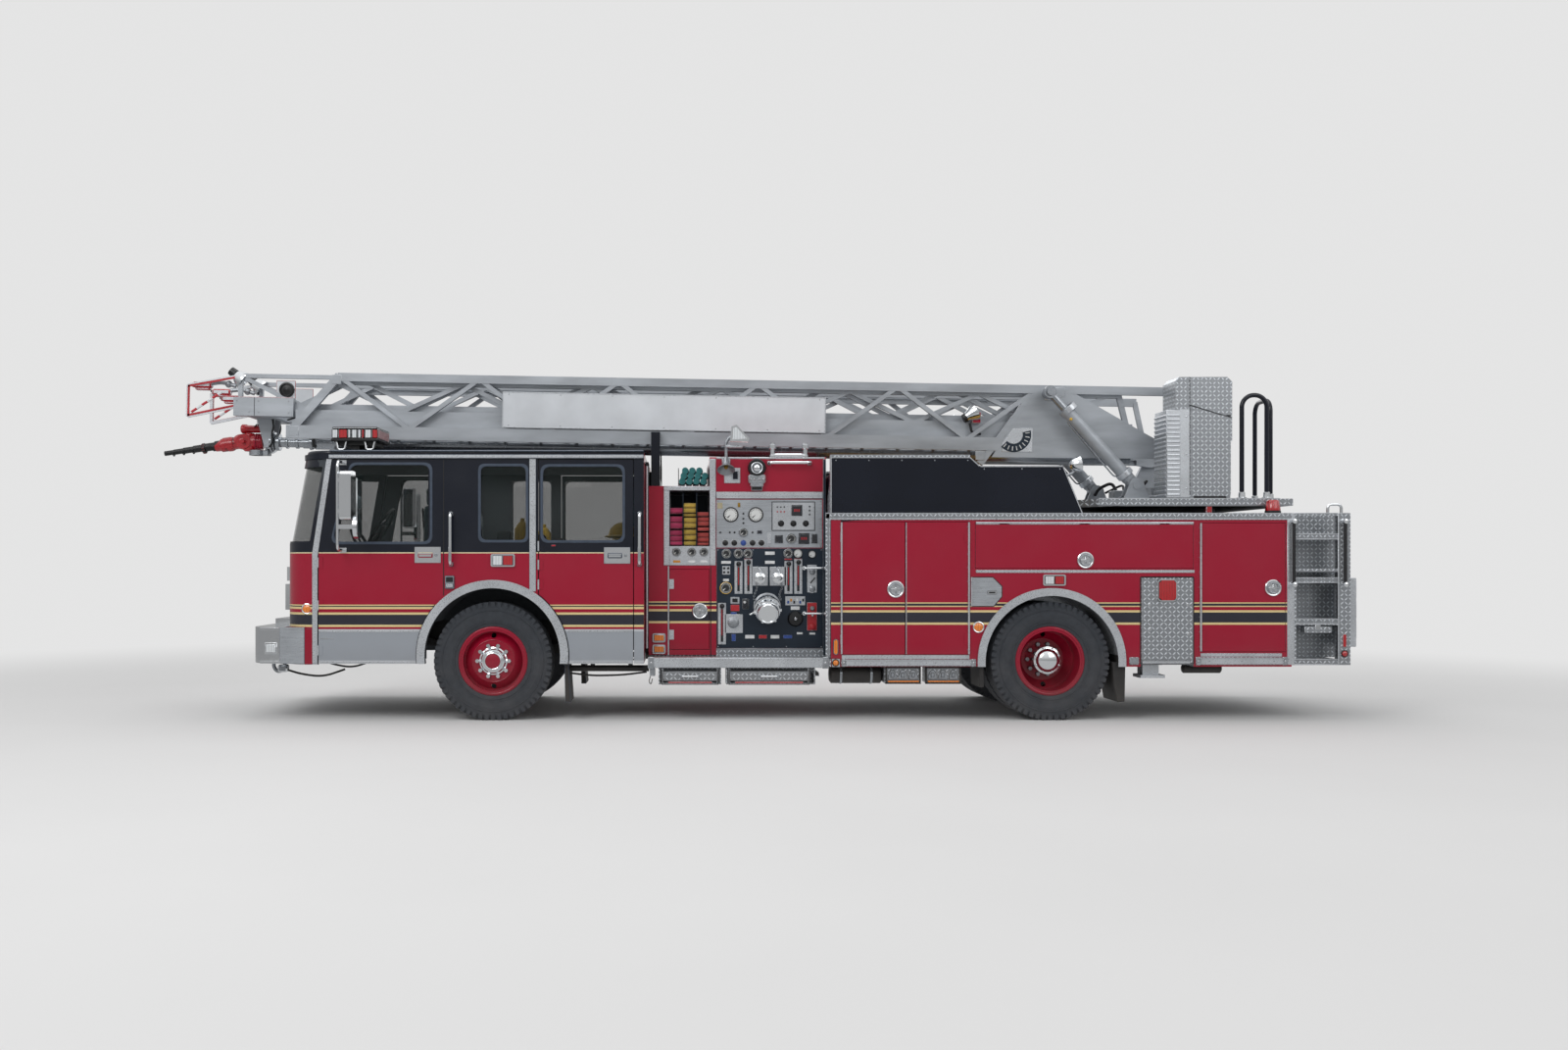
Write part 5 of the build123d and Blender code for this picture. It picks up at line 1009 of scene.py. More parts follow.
def choose_pump_door(centre, normal):
    outward = normal.y * (1 if centre.y > 0 else -1)
    if abs(centre.y) > PANEL_SIDE + 0.5:
        return "anodised_trim"
    return "locker_enamel" if outward > 0.5 and abs(centre.y) > PANEL_SIDE - 1 else "anodised_trim"


def choose_pump_house(centre, normal):
    if abs(normal.y) > 0.5 and abs(centre.y) > PANEL_SIDE - 2:
        return "locker_enamel"
    if abs(centre.y) > PANEL_SIDE - 60 and centre.z < 1500 and abs(normal.y) < 0.5:
        return "red_enamel"
    if BAY_FLOOR < centre.z < BAY_TOP and BAY_FRONT < centre.x < BAY_REAR:
        return "brushed_stainless"
    return "treadplate" if normal.z > 0.5 and centre.x < BAY_REAR else "red_enamel"


def choose_tail(centre, normal):
    if abs(centre.y) > HALF_WIDTH - LAMP_STACK_WIDTH and centre.x > LAMP_STACKS:
        return None  # the lamp stacks are made afresh
    return "treadplate"


def choose_turntable(centre, normal):
    if centre.z < DECK_PLATE:
        return "treadplate" if abs(normal.z) < 0.9 or normal.z > 0 else "chassis_black"
    if abs(centre.y) > DECK_MIDDLE or centre.x > DECK_HOOPS:
        return "navy_enamel"
    return "ladder_silver"


def choose_stabiliser(centre, normal):
    if abs(centre.y) > HALF_WIDTH - 40:
        return "treadplate"
    return "chassis_black"


def choose_lamp(centre, normal):
    if centre.z > BAR_COVER or centre.x > TAIL_LAMPS:
        return None  # the light bars' covers and the beacons are made afresh
    if centre.z > ROOF_LAMPS:
        return "black_abs"
    if centre.x < HEADLAMPS:
        return "chrome"
    if normal.x < -0.9:
        return "clear_lens"
    return "chrome"


def choose_ladder_base(centre, normal):
    along = HEEL_STATION - centre.x
    if abs(centre.y) > 500.5 and SIGN_START < along < SIGN_END:
        return "white_enamel"
    return choose_mid(centre, normal)


def choose_mid(centre, normal):
    """Bare steel for the waterway along the middle, silver paint for the rest."""
    up = (LADDER.inverted() @ centre).z
    return "ground_steel" if abs(centre.y) < 75 and up < 60 else "ladder_silver"


def choose_nozzle(centre, normal):
    return "bright_red_enamel" if centre.x > -2745 or -2860 < centre.x < -2790 else "black_abs"


def choose_fly(centre, normal):
    along = HEEL_STATION - centre.x
    if along > 9195 and centre.z > 2700 and abs(centre.y) > 325:
        return "white_enamel"
    return choose_mid(centre, normal)


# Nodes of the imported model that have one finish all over
WHOLE_NODES = {
    "chassis_black": "axles chassis_frame engine knuckle_left knuckle_right torque_box",
    "treadplate": "pedestal running_boards",
    "chrome": "front_bumper mirror_left mirror_right",
    "anodised_trim": "water_tank jack_left jack_right",
    "red_enamel": "front_rim_left front_rim_right rear_rims_left rear_rims_right",
    "tyre_rubber": "front_tyre_left front_tyre_right rear_tyres_left rear_tyres_right",
    "grey_lining": "cab_floor", "tinted_glass": "cab_glass", "black_abs": "dashboard", "navy_enamel": "cradle",
    "ground_steel": "lift_rods", "ladder_silver": "lift_barrels",
}
# Nodes whose faces are painted by a rule
RULED_NODES = (
    (choose_body, "body"), (choose_pump_house, "pump_house"), (choose_tail, "tail"), (choose_turntable, "turntable"),
    (choose_stabiliser, "stabiliser_left stabiliser_right"), (choose_lamp, "lamps"),
    (choose_ladder_base, "ladder_base"), (choose_mid, "ladder_mid"), (choose_fly, "ladder_fly"),
    (choose_nozzle, "monitor_nozzle"), (choose_pump_door, "pump_door_left pump_door_right"),
    (choose_cab, "cab_front cab_walls cab_roof"),
    (choose_door, "front_door_left front_door_right crew_door_left crew_door_right"),
    (choose_locker_door, "front_leaf_door_left rear_leaf_door_left high_door_left rear_door_left "
                         "front_leaf_door_right rear_leaf_door_right high_door_right rear_door_right"),
)


def body_named(node):
    """The body that carries a CAD node."""
    return frame["nodes"][node]["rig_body"]


class PaintModel(bpy.types.Operator):
    """Paint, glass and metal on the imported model's own pieces"""

    bl_idname = "fire_engine.paint_model"
    bl_label = "Paint the model"

    def execute(self, context):
        for finish, names in WHOLE_NODES.items():
            for node in names.split():
                materials = frame["nodes"][node].data.materials
                materials.clear()
                materials.append(finishes[finish])
        for rule, names in RULED_NODES:
            for node in names.split():
                shape = Shape()
                shape.cad(node, rule)
                shape.finish(f"painted_{node}", body_named(node), node, node, sharp=30.0)
        return {"FINISHED"}


FRONT_GAP = (-449, -441)  # rear shut line of the front door
ARCH_CENTRE, ARCH_REACH = 590.0, 700.0
WINDOWS = {
    # columns: outline of the seal's outer edge as (station, height), radius of its corners
    "front_door": ([(-1484, 1606), (-1296, 2352), (-546, 2352), (-546, 1606)], 78),
    "middle": ([(-130, 1622), (-130, 2340), (328, 2340), (328, 1622)], 62),
    "crew_door": ([(437, 1619), (437, 2336), (1208, 2336), (1208, 1619)], 74),
}


def round_off(outline, radius, steps=5):
    """Rounds the corners of a flat outline."""
    points = [Vector((a, b, 0)) for a, b in outline]
    count = len(points)
    line = []
    for i, corner in enumerate(points):
        before, after = (points[i - 1] - corner).normalized(), (points[(i + 1) % count] - corner).normalized()
        opening = before.angle(after)
        reach = radius / max(0.3, (1 - cos(opening)) / sin(opening) if sin(opening) else 1)
        start, end = corner + before * reach, corner + after * reach
        for step in range(steps + 1):
            t = step / steps
            bent = start * (1 - t) ** 2 + corner * 2 * t * (1 - t) + end * t * t
            line.append((bent.x, bent.y))
    return line


def shrink(outline, amount):
    """Moves every point of an outline towards its middle by about the amount on each axis."""
    mid_a = (min(a for a, _ in outline) + max(a for a, _ in outline)) / 2
    mid_b = (min(b for _, b in outline) + max(b for _, b in outline)) / 2
    half_a = max(a for a, _ in outline) - mid_a
    half_b = max(b for _, b in outline) - mid_b
    return [(mid_a + (a - mid_a) * (1 - amount / half_a), mid_b + (b - mid_b) * (1 - amount / half_b))
            for a, b in outline]


def seal(shape, outline, radius, out, width=24, finish="seal_rubber_highlit"):
    """A rubber frame round a window: a raised lip with a lower flange inside it."""
    outer = round_off(outline, radius)
    for start, end, near, far in ((-4, 5, 0, width), (5, 8, 5, width - 7)):
        shape.band(shrink(outer, far), shrink(outer, near), "Y", out + start, out + end, finish)


def grab_bar(shape, station, low, high, out, stand, radius, along="Z"):
    """A chromed hand rail on two cast feet."""
    spots = [(station, low), (station, high)] if along == "Z" else [(low, station), (high, station)]
    reach = 26
    ends = []
    for a, b in spots:
        inward = 1 if (a, b) == spots[0] else -1
        shift = (0, reach * inward) if along == "Z" else (reach * inward, 0)
        shape.box((a - 19, out, b - 19), (a + 19, out + 8, b + 19), "chrome", 3)
        ends.append((Vector((a, out + 4, b)), Vector((a + shift[0] * 0.1, out + stand, b + shift[1] * 0.1))))
    line = [ends[0][0], ends[0][1], ends[1][1], ends[1][0]]
    shape.tube(line, radius, "chrome", bend=30)
    for a, b in spots:
        shape.lathe((a, out, b), "Y", [(0, 0), (0, 22), (stand * 0.55, 18), (stand * 0.7, 0)], "cast_alloy", 16)


def handle_plate(shape, left, right, low, high, out):
    """A chromed door-handle dish: a plate with a pressed hollow, a paddle across it and a lock."""
    shape.box((left, out, low), (right, out + 5, high), "chrome", 2)
    shape.band(rounded(left + 16, right - 16, low + 16, high - 16, 22),
               rounded(left + 6, right - 6, low + 6, high - 6, 24), "Y", out + 4, out + 11, "chrome")
    mid = (low + high) / 2
    shape.plates(
        out,
        (left + 34, right - 74, mid - 26, mid + 22, 4, 20, "chrome", 6),
        (left + 40, right - 80, mid - 20, mid + 6, 18, 26, "chrome", 4),
    )
    shape.disc((right - 44, out + 4, mid), "Y", 14, 0, 8, "cast_alloy", 3, 20)
    for a in (left + 10, right - 10):
        for b in (low + 9, high - 9):
            shape.disc((a, out + 3, b), "Y", 5, 0, 4, "cast_alloy", 1.5, 10)


def lamp_box(shape, left, right, low, high, out, lenses, depth=26, rim=14):
    """A chromed bezel round lens blocks that share its width; lenses are finishes from left to right."""
    shape.band(rounded(left + rim, right - rim, low + rim, high - rim, 8), rounded(left, right, low, high, 16),
               "Y", out - 2, out + depth * 0.8, "chrome")
    width = (right - left - 2 * rim) / len(lenses)
    for i, lens in enumerate(lenses):
        start = left + rim + i * width
        shape.box((start + 1, out, low + rim - 2), (start + width - 1, out + depth, high - rim + 2), lens, 5)


def round_lamp(shape, station, height, radius, out, lens, depth=24, bezel="chrome"):
    """A round marker lamp in a bezel."""
    shape.ring((station, out + depth * 0.3, height), "Y", radius, radius * 0.16, bezel, steps=28, sides=8)
    shape.lathe((station, out, height), "Y", [(0, 0), (0, radius * 0.92), (depth * 0.55, radius * 0.84),
                                              (depth * 0.9, radius * 0.5), (depth, 0)], lens, 28)


class TrimCab(bpy.types.Operator):
    """Window seals, rails, handles, grab bars and lamps of the cab"""

    bl_idname = "fire_engine.trim_cab"
    bl_label = "Trim the cab"

    def execute(self, context):
        bar_radius = context.scene.fire_engine_sizes.grab_bar_radius / MM
        for label, flank in both_flanks():
            self.fixed_side(label, flank, bar_radius)
            self.front_door(label, flank)
            self.crew_door(label, flank)
        self.front()
        return {"FINISHED"}

    def fixed_side(self, label, flank, bar_radius):
        out = HALF_WIDTH
        shape = Shape(flank)
        seal(shape, *WINDOWS["middle"], out)
        # Drip rail along the roof, the bright roof edge above it, and the post strips.
        shape.plates(
            out,
            (-1490, 1379, 2389, 2424, -8, 17, "anodised_trim", 4),
            (-1490, 1379, 2389, 2396, -6, 20, "anodised_trim", 2),
            (-1490, 1379, 2450, 2466, -34, 6, "anodised_trim", 7),
            (336, 396, 1176, 2388, -1, 5, "anodised_trim", 2),
        )
        shape.prism([(-1642, 522), (-1593, 522), (-1593, 1500), (-1461, 2388), (-1512, 2388), (-1642, 1520)], "Y",
                    out - 16, out + 5, "anodised_trim", 2)
        # The front door's shut line, a grab bar beside each door and the small lock box.
        low_gap = ARCH_CENTRE + sqrt(ARCH_REACH ** 2 - FRONT_GAP[0] ** 2) + 12
        shape.box((FRONT_GAP[0], out - 2, low_gap), (FRONT_GAP[1], out + 1, 2380), "black_rubber")
        grab_bar(shape, -376, 1424, 1884, out, 66, bar_radius)
        grab_bar(shape, 1340, 1424, 1884, out, 66, bar_radius)
        shape.plates(
            out,
            (-431, -346, 1201, 1320, -1, 20, "cast_alloy", 4),
            (-421, -356, 1262, 1308, 19, 25, "black_abs", 2),
            (-424, -353, 1210, 1252, 19, 28, "anodised_trim", 4),
        )
        lamp_box(shape, -14, 206, 1402, 1518, out, ("clear_lens", "red_lens"))
        self.mudflap(shape)
        # The bumper's end wraps round the corner up to a red filler, and a dark seal and a pipe fill the gap behind.
        shape.plates(
            out,
            (-1940, -1712, 518, 848, -16, 2, "brushed_stainless", 3),
            (-1940, -1712, 840, 850, -40, 3, "anodised_trim", 2),
            (-1712, -1640, 512, 836, -14, 1, "red_enamel", 2),
        )
        shape.box((1382, 560, 600), (1412, 872, 2380), "black_rubber")
        shape.tube([(1397, 893, 640), (1397, 893, 2340)], 13, "anodised_trim")
        shape.finish(f"cab_side_trim_{label}", "chassis", "cab_walls")
        front = Shape(flank)
        round_lamp(front, -1693, 1018, 44, 1204, "amber_lens")
        front.finish(f"cab_corner_trim_{label}", "chassis", "cab_front", sharp=35.0)

    def mudflap(self, shape):
        shape.prism([(652, 512), (690, 512), (712, 165), (660, 165)], "Y", 830, 1190, "black_rubber", 4)
        shape.box((650, 820, 500), (696, 1195, 530), "chassis_black", 3)
        shape.tube([(665, 1000, 462), (1420, 1000, 462)], 29, "chassis_black")
        shape.tube([(700, 1040, 420), (900, 1045, 396), (1180, 1040, 402), (1400, 1030, 430)], 9, "black_rubber",
                   bend=120)
        for station in (900, 1250):
            shape.box((station - 20, 985, 470), (station + 20, 1015, 560), "chassis_black", 3)

    def front_door(self, label, flank):
        out = HALF_WIDTH
        shape = Shape(flank)
        # The door's skin carries on over the post to its shut line.
        lip = [(-540, ARCH_CENTRE + sqrt(ARCH_REACH ** 2 - 540 ** 2) + 10)]
        lip += [(s, ARCH_CENTRE + sqrt(ARCH_REACH ** 2 - s ** 2) + 10) for s in (-510, -480, -450)]
        shape.prism(lip + [(-450, 2378), (-540, 2378)], "Y", out - 1, out + 2, "livery_enamel")
        seal(shape, *WINDOWS["front_door"], out)
        handle_plate(shape, -710, -469, 1435, 1584, out + 2)
        shape.plates(
            out,
            (-1580, -742, 528, 540, -1, 3, "anodised_trim", 1),
            (-1580, -676, 806, 822, -1, 4, "anodised_trim", 1),
            (-1570, -1440, 742, 752, -1, 3, "chrome", 1),
        )
        shape.finish(f"front_door_trim_{label}", f"front_door_{label}", f"front_door_{label}")

    def crew_door(self, label, flank):
        out = HALF_WIDTH
        shape = Shape(flank)
        seal(shape, *WINDOWS["crew_door"], out)
        handle_plate(shape, 1015, 1256, 1429, 1580, out)
        shape.plates(
            out,
            (742, 1276, 528, 540, -1, 3, "anodised_trim", 1),
            (694, 1276, 806, 822, -1, 4, "anodised_trim", 1),
            (536, 578, 1586, 1604, -1, 8, "red_lens", 3),
        )
        shape.finish(f"crew_door_trim_{label}", f"crew_door_{label}", f"crew_door_{label}")

    def front(self):
        shape = Shape()
        front = -1922.0
        # Bumper: bright upper and lower edges, side lamps and the tow eye under it.
        for side in (-1, 1):
            shape.box((-2120, side * 1216, 828), (-1935, side * 1222, 846), "chrome", 2)
            shape.box((-2120, side * 1216, 520), (-1935, side * 1222, 545), "chrome", 2)
            shape.box((-2075, side * 1212, 606), (-1962, side * 1226, 712), "chrome", 5)
            shape.box((-2063, side * 1220, 622), (-1974, side * 1232, 696), "clear_lens", 4)
            shape.tube([(-2100, side * 640, 560), (-2170, side * 640, 470), (-2130, side * 640, 400),
                        (-2060, side * 640, 420), (-2050, side * 640, 520)], 18, "cast_alloy", bend=40)
            shape.box((-2110, side * 600, 400), (-2020, side * 690, 470), "cast_alloy", 12)
            shape.tube([(-2050, side * 660, 430), (-1900, side * 640, 380), (-1700, side * 600, 350),
                        (-1500, side * 560, 420)],
                       10, "black_rubber", bend=100)
        # Bright frame round the grille.
        shape.box((front - 36, -478, 1496), (front - 2, 478, 1516), "chrome", 5)
        shape.box((front - 36, -478, 912), (front - 2, 478, 932), "chrome", 5)
        for side in (-1, 1):
            shape.box((front - 36, side * 462, 912), (front - 2, side * 486, 1516), "chrome", 5)
        shape.finish("front_trim", "chassis", "front_bumper")


PANEL_SCREWS = ((2062, 2010), (2380, 2014), (2680, 2014), (3020, 2010), (2062, 1592), (3020, 1592), (2540, 1590))
# Dials of the pump panel by face; columns: station, height, radius
DIALS = {
    "white_dial": ((2182, 1887, 64), (2414, 1887, 64), (2807, 1525, 40), (2939, 1517, 33)),
    "dark_dial": ((2299, 1721, 40), (2744, 1664, 44), (2140, 1523, 41), (2252, 1523, 41), (2341, 1523, 41),
                  (2716, 1525, 41), (1674, 1539, 38), (1817, 1539, 38), (1930, 1539, 38), (2135, 1203, 49)),
}
# Turning knobs by finish; columns: station, height, radius
KNOBS = {
    "black_abs": ((2130, 1623, 28), (2214, 1623, 28), (2384, 1623, 28), (2467, 1623, 28), (2650, 1804, 24),
                  (2765, 1804, 24), (2881, 1804, 24)),
    "tag_blue": ((2299, 1623, 28),),
    "cast_alloy": ((2941, 1354, 30), (2941, 1195, 32), (2941, 1012, 24)),
    "chrome": ((2941, 949, 16),),
    "tag_red": ((2941, 842, 31),),
}
# Screens; columns: station, height, width, height of the screen
SCREENS = ((2450, 1725, 48, 38), (2629, 1659, 78, 78), (2863, 1664, 104, 104), (2961, 1664, 58, 92),
           (2797, 1926, 104, 104), (2319, 1054, 62, 96))
# Blank tags by finish; columns: station, height, width, height of the tag
TAGS = {
    "hose_cream": ((2080, 1971, 52, 58),),
    "tag_white": ((2546, 1527, 92, 32), (2546, 1442, 92, 30), (2137, 1442, 92, 27), (2137, 1277, 56, 24),
                  (2358, 748, 88, 34), (2593, 748, 82, 34), (2824, 780, 56, 20), (2942, 778, 56, 20),
                  (2782, 1015, 84, 34), (1817, 1450, 68, 22), (1930, 1450, 68, 22)),
    "anodised_trim": ((2220, 1088, 84, 62), (2538, 1667, 42, 104)),
    "tag_red": ((2220, 1017, 82, 60), (2479, 748, 76, 34), (2716, 1471, 72, 14), (2807, 1471, 72, 14),
                (2341, 1471, 72, 14)),
    "tag_blue": ((2208, 968, 56, 22), (2208, 740, 40, 66), (2712, 748, 82, 32)),
    "tag_amber": ((1677, 1450, 68, 24),),
    "brass": ((2258, 1977, 26, 44),),
}
PANEL_LAMPS = ((2299, 1896), (2299, 1850), (2299, 1808), (2084, 1721), (2172, 1721), (2216, 1721), (2384, 1721))
# Pull levers; columns: station of the slot, its bottom and top, height of the knob
LEVERS = ((2253, 1172, 1420, 1426), (2345, 1172, 1440, 1442), (2719, 1172, 1420, 1428), (2810, 1172, 1440, 1442),
          (2099, 700, 1030, 1034))


def grouped(table):
    """Each row of a table by finish, with its finish."""
    return [(finish, row) for finish, rows in table.items() for row in rows]


class BuildPumpPanel(bpy.types.Operator):
    """Gauges, levers, valves and outlets of the pump panel, with the frame round the crosslay"""

    bl_idname = "fire_engine.build_pump_panel"
    bl_label = "Build the pump panel"

    def execute(self, context):
        for label, flank in both_flanks():
            panel = Shape(flank)
            self.sheets(panel)
            self.controls(panel)
            panel.finish(f"pump_panel_{label}", "chassis", "pump_house")
            fittings = Shape(flank)
            self.valves(fittings)
            self.header(fittings)
            fittings.finish(f"pump_fittings_{label}", "chassis", "pump_house")
            self.dials(label, flank)
            self.small_door(label, flank)
            self.boards(label, flank)
        return {"FINISHED"}

    def sheets(self, shape):
        out = PANEL_SIDE
        shape.plates(
            out,
            (2048, 3034, 1579, 2028, -2, 4, "brushed_stainless", 1.5),
            (2048, 3042, 642, 1573, -2, 5, "black_panel", 1.5),
            (2572, 2959, 1745, 1999, 2, 8, "anodised_trim", 2),
        )
        shape.band(rounded(2568, 2963, 1741, 2003, 6), rounded(2562, 2969, 1735, 2009, 8), "Y", out + 2, out + 5,
                   "black_abs")
        # Treadplate kick strip with its folded ends, the header strip and the crosslay's frame.
        shape.plates(
            out,
            (2045, 3066, 566, 640, -2, 9, "treadplate", 2),
            (2045, 3040, 2036, 2101, -2, 16, "anodised_trim", 5),
            (2045, 3040, 2060, 2068, 10, 20, "anodised_trim", 1),
            (1983, 2042, 1413, 2408, -14, 10, "anodised_trim", 4),
            (1554, 1610, 1413, 2118, -14, 10, "anodised_trim", 4),
            (1554, 1984, 2112, 2152, -14, 14, "anodised_trim", 4),
        )
        shape.box((1608, 6, 1596), (1982, 12, 2112), "black_panel")
        shape.box((1732, 20, 1596), (1739, out - 12, 2090), "black_panel")
        shape.box((1859, 20, 1596), (1866, out - 12, 2090), "black_panel")
        shape.plates(
            out,
            (1608, 1985, 1413, 1594, -10, 8, "anodised_trim", 3),
            (1593, 1606, 574, 1408, -1, 8, "anodised_trim", 2),
            (1990, 1998, 574, 1400, -1, 2, "black_rubber"),
            (3042, 3068, 574, 2402, -1, 14, "black_panel", 2),
        )
        for low, high in ((696, 780), (590, 675)):
            lamp_box(shape, 1452, 1572, low, high, out, ("amber_lens",), depth=20, rim=7)
            shape.box((1462, out + 16, low + 10), (1562, out + 24, high - 10), "amber_lens", 6)
        shape.studs(out + 3, PANEL_SCREWS, 6, 4, "cast_alloy", 1.5, 10)
        for station in (2062, 2390, 2700, 3026):
            for height in (1558, 656):
                shape.disc((station, out + 4, height), "Y", 6, 0, 4, "cast_alloy", 1.5, 10)

    def controls(self, shape):
        out = PANEL_SIDE + 4
        for station, height, width, tall in SCREENS:
            shape.plates(
                out,
                (station - width / 2, station + width / 2, height - tall / 2, height + tall / 2, 0, 10, "black_abs", 3),
                (station - width * 0.4, station + width * 0.4, height - tall * 0.38, height + tall * 0.38, 9, 12,
                 "dark_screen", 1),
            )
        for station, height in ((2863, 1664), (2797, 1926)):
            for shift in (-20, 0, 20):
                shape.box((station + shift - 6, out + 11, height - 12), (station + shift + 6, out + 13, height + 12),
                          "tag_red")
        for finish, (station, height, width, tall) in grouped(TAGS):
            shape.box((station - width / 2, out, height - tall / 2), (station + width / 2, out + 5, height + tall / 2),
                      finish, 1.5)
        for finish, (station, height, radius) in grouped(KNOBS):
            shape.disc((station, out, height), "Y", radius * 1.25, 0, 4, "chrome", 1, 24)
            shape.lathe((station, out, height), "Y",
                        [(3, 0), (3, radius), (22, radius * 0.86), (28, radius * 0.6), (28, 0)], finish, 20)
        shape.studs(out, PANEL_LAMPS, 9, 9, "black_abs", 3, 14)
        for row in range(2):
            for column in range(3):
                spot = (2616 + column * 32, out + 4, 1958 - row * 44)
                shape.disc(spot, "Y", 7, 0, 6, "tag_red" if row else "black_abs", 2, 10)
        for height in (1962, 1925, 1888):
            shape.disc((2916, out + 4, height), "Y", 8, 0, 6, "black_abs", 2, 12)
        # Lever plates with their slots, gates and ball knobs.
        for station, low, high, knob in LEVERS:
            shape.plates(
                out,
                (station - 38, station + 38, low - 24, high + 34, 0, 6, "anodised_trim", 2),
                (station - 12, station + 12, low, high, 5, 8, "black_abs", 1),
                (station - 4, station + 4, low + 60, high, 7, 9, "tag_red"),
            )
            shape.tube([(station, out + 6, knob - 30), (station, out + 70, knob)], 7, "chrome")
            shape.lathe((station, out + 62, knob), "Y", ball(23), "black_abs", 20)
            for spot in (low - 12, high + 22):
                shape.disc((station, out + 5, spot), "Y", 6, 0, 4, "cast_alloy", 1, 10)
        shape.plates(
            out,
            (2891, 2985, 806, 1068, 0, 7, "tag_red", 3),
            (2893, 2985, 1160, 1420, 0, 7, "anodised_trim", 3),
        )
        shape.tube([(2925, out + 8, 1250), (2945, out + 24, 1275), (2965, out + 24, 1300)], 6, "black_abs", bend=10)
        # Round throttle knob with its chromed middle, a plate of four buttons, a plate of tags and a switch.
        shape.lathe((2783, out, 916), "Y", [(0, 0), (0, 74), (16, 70), (30, 60), (34, 20), (46, 16), (46, 0)],
                    "black_abs", 32)
        shape.disc((2783, out + 34, 916), "Y", 15, 0, 18, "chrome", 4, 20)
        shape.box((2101, out, 1327), (2176, out + 6, 1408), "anodised_trim", 2)
        for a in (2120, 2157):
            for b in (1349, 1387):
                shape.disc((a, out + 5, b), "Y", 11, 0, 8, "black_abs", 2, 14)
        shape.box((2689, out, 1041), (2875, out + 6, 1126), "anodised_trim", 2)
        for i, finish in enumerate(("tag_blue", "tag_amber", "black_abs", "tag_white", "tag_blue", "black_abs")):
            a = 2706 + 28 * i
            shape.box((a, out + 5, 1056 + 20 * (i % 2)), (a + 20, out + 10, 1086 + 20 * (i % 2)), finish, 2)
        shape.box((2194, out, 1068), (2246, out + 12, 1108), "black_abs", 3)
        shape.disc((2310, out + 10, 1070), "Y", 12, 0, 12, "tag_white", 3, 14)

    def valves(self, shape):
        out = PANEL_SIDE + 4
        # Two small outlets on their plates, each with a lugged cap, a rocker and a chain.
        for station in (2452, 2622):
            shape.box((station - 78, out, 1224), (station + 76, out + 6, 1401), "anodised_trim", 3)
            shape.lathe((station, out, 1296), "Y",
                        [(0, 0), (0, 52), (14, 52), (20, 38), (60, 36), (66, 47), (96, 47), (100, 34),
                         (112, 20), (112, 0)], "chrome", 32)
            for i in range(3):
                turn = 2 * pi * i / 3 + 0.5
                spot = Vector((station + 46 * cos(turn), out + 80, 1296 + 46 * sin(turn)))
                shape.lathe(spot, "Y", [(-14, 0), (-12, 11), (12, 11), (14, 0)], "chrome", 12)
            shape.tube([(station + 20, out + 30, 1340), (station - 4, out + 44, 1388), (station - 18, out + 50, 1392)],
                       9, "chrome", bend=20)
        for start, end in (((2416, 1252), (2400, 1060)), ((2650, 1252), (2640, 1090))):
            self.chain(shape, start, end, out + 34)
        # The large intake: a flange, a collar tilted downwards and a ribbed cap with long lugs.
        shape.lathe((2520, out, 1030), "Y", [(0, 0), (0, 128), (12, 128), (18, 112), (60, 108), (60, 0)], "cast_alloy",
                    48)
        tilt = tipped((2520, out + 36, 1030), radians(-26), "X")
        shape.lathe((0, 0, 0), "Y",
                    [(0, 0), (0, 116), (18, 120), (40, 120), (46, 108), (70, 106), (76, 116), (112, 114), (116, 103),
                     (150, 100), (158, 94), (158, 84), (150, 80), (150, 0)], "chrome", 48, tilt)
        for turn in (0.4, 1.45, 2.5, 3.55, 4.6, 5.65):
            lug = tilt @ Matrix.Rotation(turn, 4, "Y") @ Matrix.Translation((0, 0, 114))
            shape.box((-12, 84, -10), (12, 108, 16), "chrome", 3, lug)
        shape.tube([(-110, 96, 10), (-150, 100, -24), (-168, 104, -30)], 9, "chrome", bend=20, place=tilt)
        # Drain plate low on the left with its round cap.
        shape.box((2124, out, 782), (2294, out + 6, 958), "anodised_trim", 3)
        shape.lathe((2204, out, 882), "Y", [(0, 0), (0, 54), (16, 54), (22, 44), (52, 42), (58, 30), (58, 0)],
                    "cast_alloy", 28)
        shape.ring((2135, out + 8, 1203), "Y", 52, 5, "yellow_lens", steps=32, sides=8)
        # Two polished grab rods that run back to the body's corner post.
        for height in (1388, 966):
            shape.tube([(2866, out + 2, height), (2866, out + 64, height), (3074, out + 64, height)], 10, "chrome",
                       bend=16)
            shape.lathe((2866, out, height), "Y", [(0, 0), (0, 20), (8, 18), (12, 0)], "chrome", 16)
            shape.lathe((3062, out + 64, height), "Z", ball(19), "chrome", 16)

    def chain(self, shape, start, end, out):
        """A hanging chain of thin steel links."""
        count = 15
        for i in range(count):
            t = i / (count - 1)
            a = start[0] + (end[0] - start[0]) * t + 10 * sin(t * 7)
            b = start[1] + (end[1] - start[1]) * t
            flat = i % 2
            shape.ring((a, out, b), "Y" if flat else "X", 8, 2.2, "cast_alloy", steps=10, sides=5)

    def header(self, shape):
        out = PANEL_SIDE
        top = 2408.0
